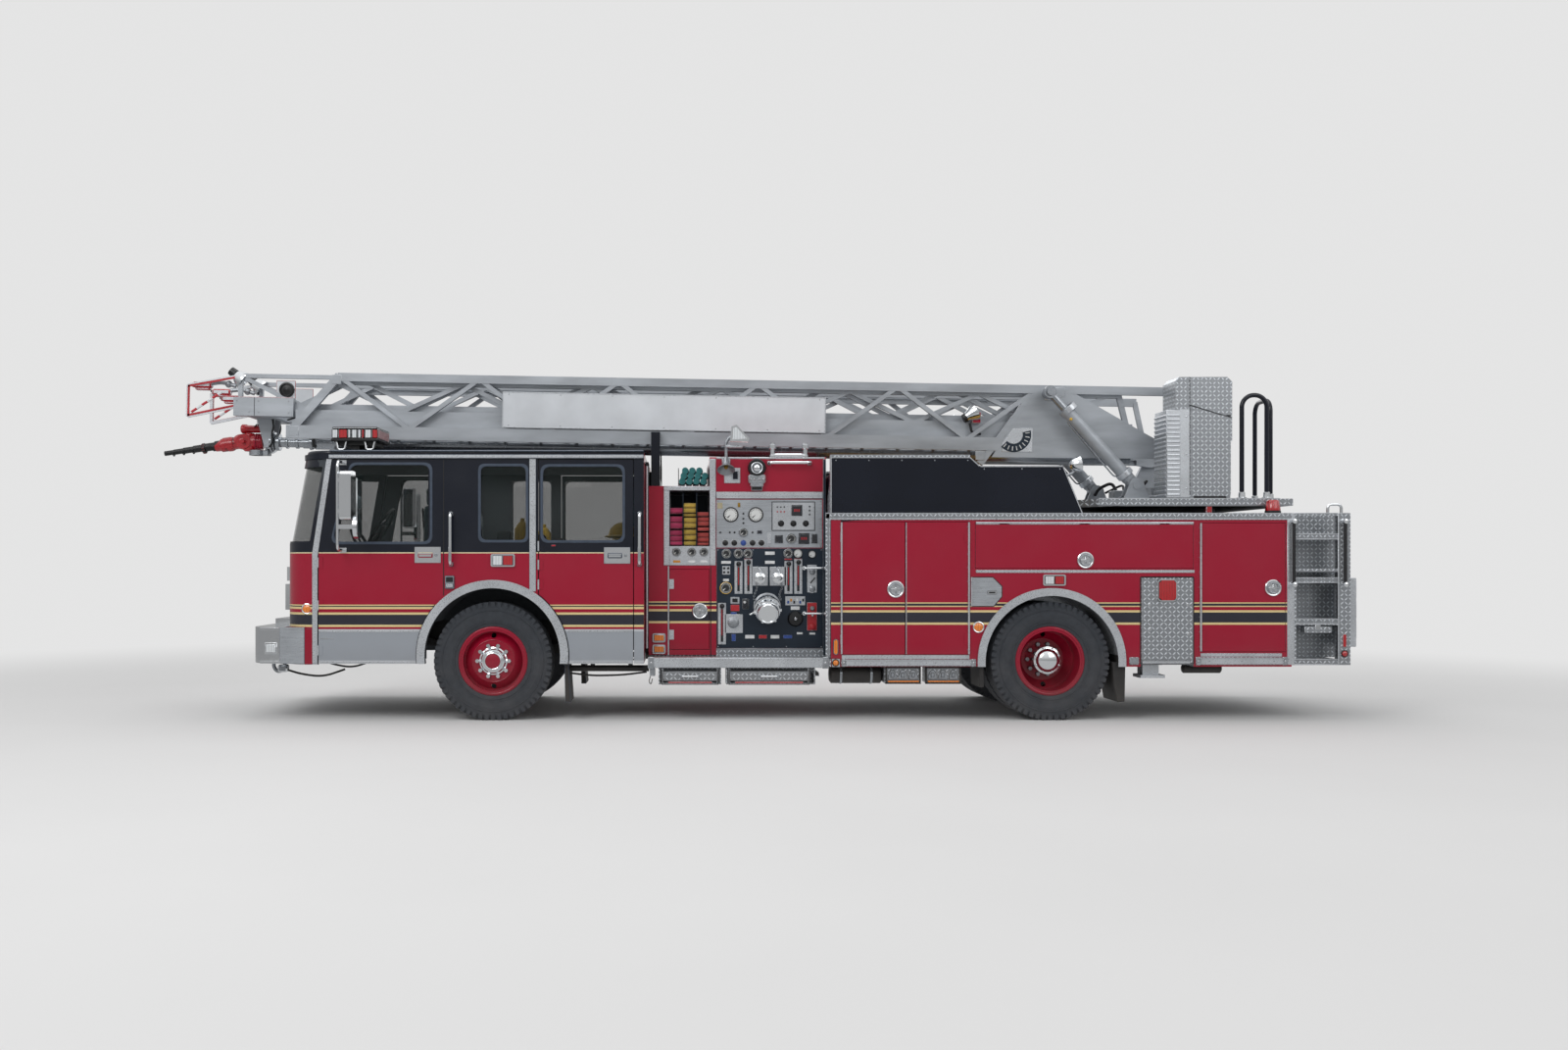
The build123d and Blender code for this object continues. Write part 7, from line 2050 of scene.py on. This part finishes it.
class TrimLadder(bpy.types.Operator):
    """Guards, lamps, pipework and plates of the ladder"""

    bl_idname = "fire_engine.trim_ladder"
    bl_label = "Trim the ladder"

    def execute(self, context):
        for label, side in SIDES.items():
            self.base_side(label, side)
            self.tip_side(label, side)
        self.tip_pipework()
        self.monitor()
        return {"FINISHED"}

    def base_side(self, label, side):
        shape = Shape(on_ladder(side))
        u0, u1, v0, v1 = SIGN_BOARD
        # The blank sign board: a bright rim and two rows of rivets.
        shape.band([(u0 + 9, v0 + 9), (u1 - 9, v0 + 9), (u1 - 9, v1 - 9), (u0 + 9, v1 - 9)],
                   [(u0, v0), (u1, v0), (u1, v1), (u0, v1)], "Y", 505, 509, "anodised_trim")
        rivet_line(shape, (u0 + 60, 506, v1 - 24), (u1 - 60, 506, v1 - 24), radius=6, pitch=500)
        rivet_line(shape, (u0 + 60, 506, v0 + 24), (u1 - 60, 506, v0 + 24), radius=6, pitch=500)
        # Elevation scale on the side plate: a pale plate and a dark arc with plain ticks.
        middle = (1683, 145)
        shape.prism([(1500, -20), (1792, -20), (1792, 60), (1690, 205), (1500, 215)], "Y", 498, 504, "anodised_trim", 2)
        arc = [radians(-45 - 7.5 * i) for i in range(21)]
        low, high = 88, 168
        ring_line = [(middle[0] + high * cos(a), middle[1] + high * sin(a)) for a in arc]
        ring_line += [(middle[0] + low * cos(a), middle[1] + low * sin(a)) for a in reversed(arc)]
        shape.prism(ring_line, "Y", 502, 506, "black_panel")
        for i in range(9):
            angle = radians(-52 - 17 * i)
            tick = tipped((middle[0], 0, middle[1]), -angle, "Y")
            shape.box((low + 26, 505, -4), (high - 14, 508, 4), "tag_white", place=tick)
        # Weld plates at the truss corners and the latch of the ladder's bed lock.
        for u, v in ((2000, -60), (1240, 560), (8200, 560), (8600, 60)):
            shape.box((u - 45, 496, v - 45), (u + 45, 503, v + 45), "ladder_silver", 3)
        shape.box((1290, 500, 480), (1390, 516, 590), "cast_alloy", 8)
        shape.disc((1340, 512, 545), "Y", 34, 0, 14, "ground_steel", 5, 24)
        self.floodlight(shape)
        shape.finish(f"ladder_base_trim_{label}", "ladder_base", "ladder_base")

    def floodlight(self, shape):
        """A chromed lamp on a bent red bracket between the braces."""
        shape.tube([(1990, 440, 150), (2080, 470, 160), (2100, 470, 250)], 12, "black_rubber", bend=30)
        shape.box((1995, 430, 250), (2080, 490, 360), "red_enamel", 6)
        tilt = tipped((2090, 470, 330), radians(-62), "Y")
        shape.lathe((0, 0, 0), "Z", [(-70, 0), (-70, 42), (-30, 50), (20, 78), (60, 84), (64, 76), (50, 60), (50, 0)],
                    "chrome", 32, tilt)
        shape.lathe((0, 0, 0), "Z", [(-84, 0), (-84, 40), (-50, 46)], "black_abs", 28, tilt)

    def tip_side(self, label, side):
        shape = Shape(on_ladder(side))
        half = 360
        # Red sheeting on the outer face of the guard's rails.
        for start, end in zip(GUARD, GUARD[1:]):
            edge_strip(shape, start, end, 20, half - 6, half - 1, "bright_red_enamel")
        edge_strip(shape, GUARD[0], GUARD[1], -9, half - 28, half - 3, "white_enamel")
        # Striped stay across the guard.
        shape.tube([(9650, half - 18, 235), (9350, half - 18, 440)], 13, "striped_sheeting", sides=8)
        # Tip box: seam, lid strip and screws.
        shape.box((9008, half + 58, 206), (9013, half + 64, 382), "black_rubber")
        shape.box((8636, half + 10, 380), (9212, half + 63, 388), "anodised_trim", 2)
        shape.studs(half + 60, ((8680, 240), (8680, 350), (8970, 240), (8970, 350), (9060, 240), (9180, 350)), 8, 5,
                    "cast_alloy", 2, 12)
        self.lamp_head(shape, (9560, half - 70, 505), 10)
        self.lamp_head(shape, (9290, half - 110, 380), 8)
        shape.tube([(9490, half - 70, 520), (9360, half - 60, 540), (9230, half - 60, 500)], 20, "cast_alloy", bend=60)
        shape.lathe((9300, half - 62, 520), "Y", ball(36), "cast_alloy", 20)
        shape.tube([(9230, half - 110, 370), (9200, half - 90, 330)], 16, "cast_alloy")
        # Spotlight with its dark rear cap, and the round speaker on its plate.
        tilt = tipped((9190, half - 60, 580), radians(-128), "Y")
        shape.lathe((0, 0, 0), "Z", [(-118, 0), (-118, 42), (-58, 48), (-58, 40)], "black_abs", 28, tilt)
        shape.lathe((0, 0, 0), "Z", [(-60, 40), (-40, 56), (10, 82), (48, 88), (52, 78), (30, 60), (24, 0)], "chrome",
                    32, tilt)
        shape.box((8640, half - 38, 300), (8826, half - 26, 560), "white_enamel", 4)
        shape.lathe((8722, half - 30, 470), "Y",
                    [(0, 0), (0, 74), (26, 72), (30, 58), (16, 52), (16, 26), (26, 14), (28, 0)], "black_abs", 36)
        # Signal cable looped out of the box and the hose that follows the bracket.
        shape.tube([(8610, half - 20, 330), (8560, half - 10, 300), (8600, half - 20, 215), (8720, half - 60, 180)], 9,
                   "black_rubber", bend=50)
        shape.tube([(8920, 120, 200), (8905, 126, 130), (8925, 124, 60), (8915, 122, -30), (8950, 118, -70)], 9,
                   "black_rubber", bend=50)
        shape.finish(f"ladder_tip_trim_{label}", "ladder_fly", "ladder_fly")

    def lamp_head(self, shape, spot, reach):
        """A white lamp head: body, lens at the front and a cable gland."""
        u, y, v = spot
        shape.box((u - 95, y - 45, v - 26), (u + 85, y + 45, v + 32), "white_enamel", 14)
        shape.box((u - 80, y - 40, v - 48), (u + 60, y + 40, v - 22), "white_enamel", 10)
        shape.box((u + 80, y - 36, v - 20), (u + 92, y + 36, v + 24), "clear_lens", 4)
        shape.disc((u + 90, y, v + reach), "X", 12, 0, 22, "black_abs", 4, 12)

    def tip_pipework(self):
        shape = Shape(on_ladder(-1))
        # Swivel flange and clamp collars where the waterway ends.
        for u, radius, width in ((8950, 112, 20), (8925, 100, 12), (8890, 84, 40), (8800, 62, 24), (8700, 60, 30),
                                 (8560, 72, 30)):
            shape.disc((u, 0, -15), "X", radius, -width / 2, width / 2, "ground_steel", 4, 36)
        for i in range(8):
            angle = 2 * pi * i / 8
            shape.disc((8962, 92 * cos(angle), -15 + 92 * sin(angle)), "X", 9, 0, 12, "chrome", 2, 10)
        shape.box((8500, -80, -70), (8540, 80, 40), "chassis_black", 6)
        shape.box((8975, -60, -150), (9030, 60, -100), "ladder_silver", 5)
        shape.finish("waterway_trim", "ladder_fly", "ladder_fly")

    def monitor(self):
        shape = Shape(on_ladder(-1))
        # The swivelling valve: a bulging body, a drive box above it and a ribbed collar.
        shape.lathe((9235, 0, -15), "X", [(-66, 0), (-66, 58), (-52, 70), (0, 80), (56, 72), (84, 58), (88, 0)],
                    "bright_red_enamel", 36)
        shape.finish("monitor_bulge", "monitor_nozzle", "monitor_nozzle")
        drive = Shape(on_ladder(-1))
        for spot, axis, profile in (
            ((9150, 0, -15), "X", [(-112, 0), (-112, 66), (-92, 78), (-40, 70), (20, 72), (36, 58), (36, 0)]),
            ((9180, 0, -15), "Z", [(-96, 0), (-96, 44), (-78, 62), (60, 62), (84, 46), (92, 0)]),
            ((9160, 0, 112), "X",
             [(-118, 0), (-118, 28), (-106, 36), (40, 38), (52, 46), (92, 46), (104, 34), (110, 0)]),
        ):
            drive.lathe(spot, axis, profile, "bright_red_enamel", 36)
        for u in (9060, 9084, 9108):
            drive.disc((u, 0, -15), "X", 84, -8, 8, "red_enamel", 3, 32)
        drive.tube([(9120, 40, 130), (9090, 60, 160), (9050, 40, 120)], 7, "black_rubber", bend=20)
        drive.finish("monitor_drive", "monitor_body", "monitor_body", "monitor_body")
        self.tips()

    def tips(self):
        """Couplings and stacked tips along the nozzle's own drooping line."""
        drop = radians(9.4)
        pin = LADDER @ Vector((9220, 0, -15))
        line = Matrix((
            (-cos(drop), 0, -sin(drop), pin.x), (0, 1, 0, 0), (-sin(drop), 0, cos(drop), pin.z), (0, 0, 0, 1),
        ))
        shape = Shape(line)
        shape.lathe((0, 0, 0), "X",
                    [(110, 50), (116, 66), (140, 73), (176, 70), (186, 56), (196, 56), (204, 66), (236, 66),
                     (250, 54), (300, 50)], "bright_red_enamel", 36)
        for start, end, radius in ((300, 330, 44), (400, 432, 50), (520, 534, 37), (620, 633, 33), (720, 732, 29)):
            shape.lathe((0, 0, 0), "X",
                        [(start, radius - 4), (start + 3, radius), (end - 3, radius), (end, radius - 4)], "black_abs",
                        28)
        for i in range(14):
            angle = 2 * pi * i / 14
            shape.box((404, 48 * cos(angle) - 4, 48 * sin(angle) - 4), (430, 48 * cos(angle) + 4, 48 * sin(angle) + 4),
                      "black_abs", 1)
        shape.finish("nozzle_tips", "monitor_nozzle", "monitor_nozzle")


SEAT_HEIGHT = 1385
# Seats; columns: front and rear station, middle across, 1 with the back at the rear or -1 at the front
SEATS = (
    (-1060, -590, -700, 1), (-1060, -590, 700, 1), (-500, -40, -820, -1), (-500, -40, 820, -1), (800, 1325, -720, 1),
    (800, 1325, 0, 1), (800, 1325, 720, 1),
)
# Crosslay stacks: front and rear station, colour, layers as (bottom, top)
CROSSLAY = (
    (1612, 1731, "hose_pink", ((1600, 1638), (1638, 1745), (1757, 1875), (1896, 1955))),
    (1740, 1858, "hose_yellow", ((1600, 1640), (1647, 1753), (1762, 1862), (1872, 1897), (1905, 1999))),
    (1868, 1978, "hose_coral", ((1600, 1626), (1630, 1723), (1737, 1770), (1782, 1867), (1875, 1914))),
)


def pad(shape, low, high, radius, crown):
    """A stuffed cushion: a rounded block whose faces swell by the crown, with sunk seams across it."""
    steps = 12
    centre = (Vector(low) + Vector(high)) / 2
    half = (Vector(high) - Vector(low)) / 2
    block = bmesh.new()
    bmesh.ops.create_cube(block, size=2)
    bmesh.ops.subdivide_edges(block, edges=block.edges, cuts=steps, use_grid_fill=True)
    for vertex in block.verts:
        unit = vertex.co.copy()
        inner = Vector([max(-1 + radius / h, min(1 - radius / h, c)) for c, h in zip(unit, half)])
        spot = Vector([c * h for c, h in zip(inner, half)])
        away = Vector([(c - i) * h for c, i, h in zip(unit, inner, half)])
        if away.length:
            spot += away.normalized() * radius
        swell = Vector([(1 - unit[(k + 1) % 3] ** 2) * (1 - unit[(k + 2) % 3] ** 2) * unit[k] for k in range(3)])
        spot += swell * crown
        thin = min(range(3), key=lambda k: half[k])
        long = max(range(3), key=lambda k: half[k])
        seam = abs(unit[long]) - 0.36
        spot[thin] -= unit[thin] * crown * 0.9 * max(0, 1 - (seam / 0.07) ** 2) * (1 if abs(unit[thin]) > 0.99 else 0)
        vertex.co = spot + centre
    points = [vertex.co.copy() for vertex in block.verts]
    for i, vertex in enumerate(block.verts):
        vertex.index = i
    faces = [tuple(vertex.index for vertex in face.verts) for face in block.faces]
    block.free()
    shape.add(points, faces, "seat_cloth")


class FurnishCab(bpy.types.Operator):
    """Seats, belts, wheel and stowed gear inside the cab"""

    bl_idname = "fire_engine.furnish_cab"
    bl_label = "Furnish the cab"

    def execute(self, context):
        for number, row in enumerate(SEATS):
            self.seat(number, *row)
        self.stands()
        self.gear()
        return {"FINISHED"}

    def seat(self, number, front, rear, across, facing):
        height = SEAT_HEIGHT
        back = (rear - 95, rear) if facing > 0 else (front, front + 95)
        room = (front, rear - 100) if facing > 0 else (front + 100, rear)
        parts = (
            ("cushion", (room[0], across - 240, height - 8), (room[1], across + 240, height + 88), 36, 12, 0.8),
            ("back", (back[0], across - 230, height + 14), (back[1], across + 230, height + 582), 34, 10, 0.8),
            ("headrest", (back[0] + 10, across - 130, height + 588), (back[1] - 10, across + 130, height + 758), 30, 6,
             0.9),
        )
        for part, low, high, radius, crown, fill in parts:
            shape = Shape()
            pad(shape, low, high, radius, crown)
            nodes = ("seats",) if number == 0 and part == "cushion" else ()
            shape.finish(f"seat_{number}_{part}", "chassis", "seats", *nodes, sharp=60)

    def stands(self):
        """Seat boxes, headrest posts and belts."""
        shape = Shape()
        height = SEAT_HEIGHT
        for front, rear, across, facing in SEATS:
            foot = 1290 if front < 400 else 940
            driver_row = facing > 0 and front < 0
            near, far = (-1030, -725) if driver_row else (front + 90, rear - 90)
            shape.box((near, across - 170, foot), (far, across + 170, height - 12), "grey_lining", 10)
            middle = (rear - 48) if facing > 0 else (front + 48)
            for y in (across - 62, across + 62):
                shape.tube([(middle, y, height + 560), (middle, y, height + 620)], 8, "chrome")
            face = rear - 108 if facing > 0 else front + 108
            shape.tube([(face, across - 190, height + 560), (face - 8 * facing, across - 60, height + 360),
                        (face - 20 * facing, across + 150, height + 110)], 9, "black_rubber", bend=80)
        shape.finish("seat_stands", "chassis", "seats")

    def gear(self):
        shape = Shape()
        # Steering wheel on its column, ahead of the driver's seat.
        tilt = tipped((-1130, -700, 1750), radians(-58), "Y")
        turns = [2 * pi * i / 10 for i in range(11)]
        shape.lathe((0, 0, 0), "Z", [(15 * sin(t), 225 + 15 * cos(t)) for t in turns], "black_rubber", 48, tilt)
        for turn in (0, 2.2, -2.2):
            shape.tube([(0, 0, -8), (218 * cos(turn), 218 * sin(turn), 0)], 11, "black_abs", place=tilt)
        shape.disc((0, 0, -30), "Z", 60, 0, 34, "black_abs", 12, 28, tilt)
        shape.tube([(-1130, -700, 1738), (-1290, -700, 1480)], 28, "black_abs")
        # Helmets, coats and breathing sets stowed against the rear wall, and the radio rack.
        for y, finish in ((-980, "gear_yellow"), (-430, "gear_yellow"), (430, "gear_yellow"), (980, "gear_yellow")):
            shape.lathe((1180, y, 1700), "Z",
                        [(-24, 170), (-16, 176), (-4, 136), (50, 122), (92, 82), (112, 30), (114, 0)], finish, 28)
            shape.tube([(1180, y, 1560), (1180, y, 1690)], 14, "grey_lining")
        for y in (-1010, 1010):
            shape.box((330, y - 60, 1500), (470, y + 60, 1700), "gear_yellow", 24)
            shape.lathe((250, y, 1420), "Z",
                        [(0, 0), (0, 64), (14, 74), (330, 74), (380, 44), (400, 22), (430, 20), (430, 0)],
                        "gear_yellow", 24)
            shape.box((-20, y - 80, 1360), (180, y + 80, 1620), "black_abs", 16)
            shape.box((20, y - 60, 1630), (150, y + 60, 1730), "grey_lining", 12)
        for i in range(4):
            shape.box((-350, -260 + 140 * i, 1560), (-120, -150 + 140 * i, 1640), "black_abs", 6)
            shape.box((-356, -250 + 140 * i, 1575), (-350, -160 + 140 * i, 1625), "dark_screen", 2)
        for y in (-1060, 1060):
            shape.tube([(-1500, y, 1860), (-1440, y * 0.99, 1900), (-1380, y * 0.97, 1860)], 10, "chrome", bend=20)
        shape.finish("cab_gear", "chassis", "dashboard")


class LoadHose(bpy.types.Operator):
    """Folded hose in the crosslay, the bundle above it and the beds behind"""

    bl_idname = "fire_engine.load_hose"
    bl_label = "Load the hose"

    def execute(self, context):
        fold = context.scene.fire_engine_sizes.hose_fold / MM
        shape = Shape()
        for front, rear, finish, layers in CROSSLAY:
            for number, (low, high) in enumerate(layers):
                count = max(1, round((high - low) / fold))
                thick = (high - low) / count
                reach = PANEL_SIDE - 34 - 14 * (number % 2)
                mesh = grow(trees["folds"], finish, Count=count, Fold=thick, Width=float(rear - front - 6),
                            Depth=2 * reach, Stray=10.0, Seed=number + len(finish))
                shape.grown(mesh, Matrix.Translation(((front + rear) / 2, 5, low + thick / 2)))
        # A bundle of narrow hose rolls on the cover, tied with two straps, at the left.
        for row, count, height in ((0, 4, 2200), (1, 4, 2252), (2, 3, 2300)):
            for i in range(count):
                station = 1728 + i * 66 + row * 14
                shape.tube([(station, -860, height), (station + 8, -640, height + 3), (station - 4, -420, height)], 31,
                           "hose_teal", bend=90)
        for y in (-760, -520):
            shape.box((1694, y - 16, 2157), (1978, y + 16, 2163), "black_rubber")
            for station in (1692, 1978):
                shape.box((station - 3, y - 16, 2157), (station + 3, y + 16, 2330), "black_rubber")
        # Long loads in the bed: flat folds that run from front to rear, in two colours.
        for side, finish in ((-1, "hose_yellow"), (1, "hose_cream")):
            for row in range(9):
                y = side * (80 + row * 112)
                turn = tipped((4082, y, 1902), pi / 2, "Z")
                mesh = grow(trees["folds"], finish if row % 3 else "hose_red", Count=6, Fold=fold, Width=104.0,
                            Depth=1850.0, Stray=24.0, Seed=row + 20)
                shape.grown(mesh, turn)
        shape.finish("folded_hose", "chassis", "hose_loads", "hose_loads", sharp=50)
        return {"FINISHED"}


# Modules along each roof light bar; columns: front and rear station, lens
LIGHT_BAR = (
    (-1482, -1424, "clear_lens"), (-1420, -1340, "red_lens"), (-1336, -1306, "clear_lens"),
    (-1302, -1250, "clear_lens"), (-1246, -1214, "white_enamel"), (-1210, -1184, "red_lens"),
    (-1180, -1118, "clear_lens"), (-1114, -1060, "red_lens"),
)


class FitBeacons(bpy.types.Operator):
    """Roof light bars, beacons and mirrors"""

    bl_idname = "fire_engine.fit_beacons"
    bl_label = "Fit the beacons"

    def execute(self, context):
        for label, flank in both_flanks():
            shape = Shape(flank)
            # Base plate, the clear cover's top, a row of lamp modules along the bar and the ribs across them.
            shape.box((-1490, 636, 2552), (-1052, 1154, 2578), "black_abs", 6)
            shape.box((-1480, 640, 2662), (-1062, 1150, 2684), "clear_lens", 9)
            for start, end, lens in LIGHT_BAR:
                shape.box((start, 644, 2578), (end, 1151 if lens == "clear_lens" else 1146, 2664), lens, 7)
            for i in range(11):
                y = 668 + i * 46
                shape.box((-1486, y, 2580), (-1056, y + 6, 2674), "clear_lens", 2)
            for station in (-1400, -1140):
                shape.tube([(station - 44, 1120, 2556), (station - 30, 1126, 2478), (station + 30, 1126, 2478),
                            (station + 44, 1120, 2556)],
                           9, "chrome", bend=16)
            shape.finish(f"light_bar_{label}", "chassis", "lamps")
            beacon = Shape(flank)
            beacon.lathe((7138, 1150, 1891), "Z", [(0, 0), (0, 70), (22, 70), (26, 60)], "black_abs", 32)
            beacon.lathe((7138, 1150, 1891), "Z", [(22, 0), (22, 66), (34, 67), (110, 56), (122, 44), (124, 0)],
                         "red_lens", 32)
            beacon.finish(f"rear_beacon_{label}", "chassis", "lamps")
            self.mirror(label, flank)
        return {"FINISHED"}

    def mirror(self, label, flank):
        shape = Shape(flank)
        body = body_named(f"mirror_{label}")
        rear = (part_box(f"mirror_{label}")[1].x - FRONT_AXLE) / MM
        shape.box((rear - 4, 1330, 1700), (rear + 2, 1520, 2180), "mirror_glass", 2)
        shape.box((rear - 8, 1322, 1690), (rear - 2, 1530, 2190), "chrome", 2)
        shape.finish(f"mirror_glass_{label}", body, f"mirror_{label}")


BACKDROP = 0.78
FLOOR_REACH = 60
# Area lights; columns: name, place, watts, width
LAMPS = (
    ("key_light", (-7, -11, 10), 620, 7), ("fill_light", (9, -10, 8), 260, 8), ("top_light", (0, 1, 12), 420, 9),
    ("back_light", (2, 12, 7), 240, 8), ("cabin_light", (-2.4, 0, 2.36), 22, 1.6),
)
# The camera as fitted to the photograph: its width and focal length in pixels, and the shift of its middle.
PHOTO_WIDTH, FOCAL_LENGTH, SENSOR_WIDTH = 1600, 1456, 36
CAMERA_PLACE, CAMERA_SHIFT = (-0.477, -14.22, 1.429), (0.0625, 0.0247)


class SetStage(bpy.types.Operator):
    """Pale floor and backdrop, soft lights and the camera"""

    bl_idname = "fire_engine.set_stage"
    bl_label = "Set the stage"

    def execute(self, context):
        scene = context.scene
        self.finish_floor()
        mesh = bpy.data.meshes.new("floor")
        corners = [(a * FLOOR_REACH, b * FLOOR_REACH, 0) for a, b in ((-1, -1), (1, -1), (1, 1), (-1, 1))]
        mesh.from_pydata(corners, [], [(0, 1, 2, 3)])
        mesh.materials.append(finishes["studio_floor"])
        floor = bpy.data.objects.new("floor", mesh)
        scene.collection.objects.link(floor)
        self.light_world(scene)
        for name, place, energy, size in LAMPS:
            lamp = bpy.data.lights.new(name, "AREA")
            lamp.energy, lamp.size = energy, size
            holder = bpy.data.objects.new(name, lamp)
            scene.collection.objects.link(holder)
            holder.location = place
            aim = Vector((place[0], place[1], 0)) if name == "cabin_light" else Vector((0, 0, 1.4))
            holder.rotation_euler = (aim - Vector(place)).to_track_quat("-Z", "Y").to_euler()
        self.place_camera(scene)
        scene.view_settings.view_transform = "Standard"
        return {"FINISHED"}

    def finish_floor(self):
        """Pale paper: lit near the vehicle so that its shadow shows, then fading into the backdrop's own tone."""
        pale = linear("E2E2E2")
        tree, shader = start_finish("studio_floor", pale, 0.9)
        mottle(tree, shader, pale, 2500, 0.98)
        distance = calc_vector(tree, "LENGTH", places(tree)).outputs["Value"]
        far = add_node(tree, "ShaderNodeMapRange", {"interpolation_type": "SMOOTHSTEP"}, {
            "Value": distance, "From Min": 6.5, "From Max": 15.0,
        }).outputs["Result"]
        # Mirrored in paint and chrome, the floor is as dark as the tarmac that such a vehicle stands on.
        rays = add_node(tree, "ShaderNodeLightPath")
        mirrored = ramp(tree, far, (0, grey(0.5)), (0.8, grey(0.3)))
        tone = blend_colours(tree, rays.outputs["Is Glossy Ray"], grey(BACKDROP), mirrored)
        plain = add_node(tree, "ShaderNodeEmission", inputs={"Color": tone, "Strength": 1.0})
        far = calc(tree, "MAXIMUM", far, rays.outputs["Is Glossy Ray"])
        mixed = add_node(tree, "ShaderNodeMixShader", inputs={"Fac": far})
        tree.links.new(shader.outputs["BSDF"], mixed.inputs[1])
        tree.links.new(plain.outputs["Emission"], mixed.inputs[2])
        tree.links.new(mixed.outputs["Shader"], tree.nodes["Material Output"].inputs["Surface"])

    def light_world(self, scene):
        world = bpy.data.worlds.new("studio")
        scene.world = world
        world.use_nodes = True
        tree = world.node_tree
        background = tree.nodes["Background"]
        rays = add_node(tree, "ShaderNodeLightPath")
        seen = calc(tree, "MAXIMUM", rays.outputs["Is Camera Ray"], rays.outputs["Is Transmission Ray"])
        height = parts_of(tree, add_node(tree, "ShaderNodeTexCoord").outputs["Generated"])
        # Paint and metal mirror a dark horizon under a bright sky, so that colours stay deep and chrome reads as metal.
        sky = ramp(tree, height.outputs["Z"], (0.0, grey(0.4)), (0.06, grey(0.38)), (0.3, grey(0.7)), (0.9, grey(1.0)))
        lit = blend_colours(tree, rays.outputs["Is Glossy Ray"], grey(0.5), sky)
        tree.links.new(blend_colours(tree, seen, lit, grey(BACKDROP)), background.inputs["Color"])
        background.inputs["Strength"].default_value = 1.0

    def place_camera(self, scene):
        camera = bpy.data.cameras.new("camera")
        camera.sensor_width = SENSOR_WIDTH
        camera.lens = FOCAL_LENGTH / PHOTO_WIDTH * SENSOR_WIDTH
        camera.shift_x, camera.shift_y = CAMERA_SHIFT
        camera.clip_end = 200
        holder = bpy.data.objects.new("camera", camera)
        holder.location = CAMERA_PLACE
        holder.rotation_euler = (pi / 2, 0, 0)
        scene.collection.objects.link(holder)
        scene.camera = holder


OPERATORS = (
    DressWheels, PaintModel, TrimCab, BuildPumpPanel, TrimBody, TrimTail, TrimTurntable, TrimLadder, FurnishCab,
    LoadHose, FitBeacons, SetStage,
)


class FireEnginePanel(bpy.types.Panel):
    """Sizes, colours and building steps of the fire engine"""

    bl_idname = "VIEW3D_PT_fire_engine"
    bl_label = "Fire engine"
    bl_space_type = "VIEW_3D"
    bl_region_type = "UI"
    bl_category = "Fire engine"

    def draw(self, context):
        for group in (context.scene.fire_engine_paint, context.scene.fire_engine_sizes):
            column = self.layout.column()
            for name in group.bl_rna.properties.keys():
                if name not in ("rna_type", "name"):
                    column.prop(group, name)
        for operator in OPERATORS:
            self.layout.operator(operator.bl_idname)


CLASSES = (PaintChoices, FittingSizes, *OPERATORS, FireEnginePanel)


def register():
    for kind in CLASSES:
        bpy.utils.register_class(kind)
    bpy.types.Scene.fire_engine_paint = bpy.props.PointerProperty(type=PaintChoices)
    bpy.types.Scene.fire_engine_sizes = bpy.props.PointerProperty(type=FittingSizes)


def unregister():
    del bpy.types.Scene.fire_engine_sizes
    del bpy.types.Scene.fire_engine_paint
    for kind in reversed(CLASSES):
        bpy.utils.unregister_class(kind)


def main():
    register()
    mix_finishes(bpy.context.scene.fire_engine_paint)
    plan_trees()
    for operator in OPERATORS:
        group, step = operator.bl_idname.split(".")
        getattr(getattr(bpy.ops, group), step)()


if __name__ == "__main__":
    main()
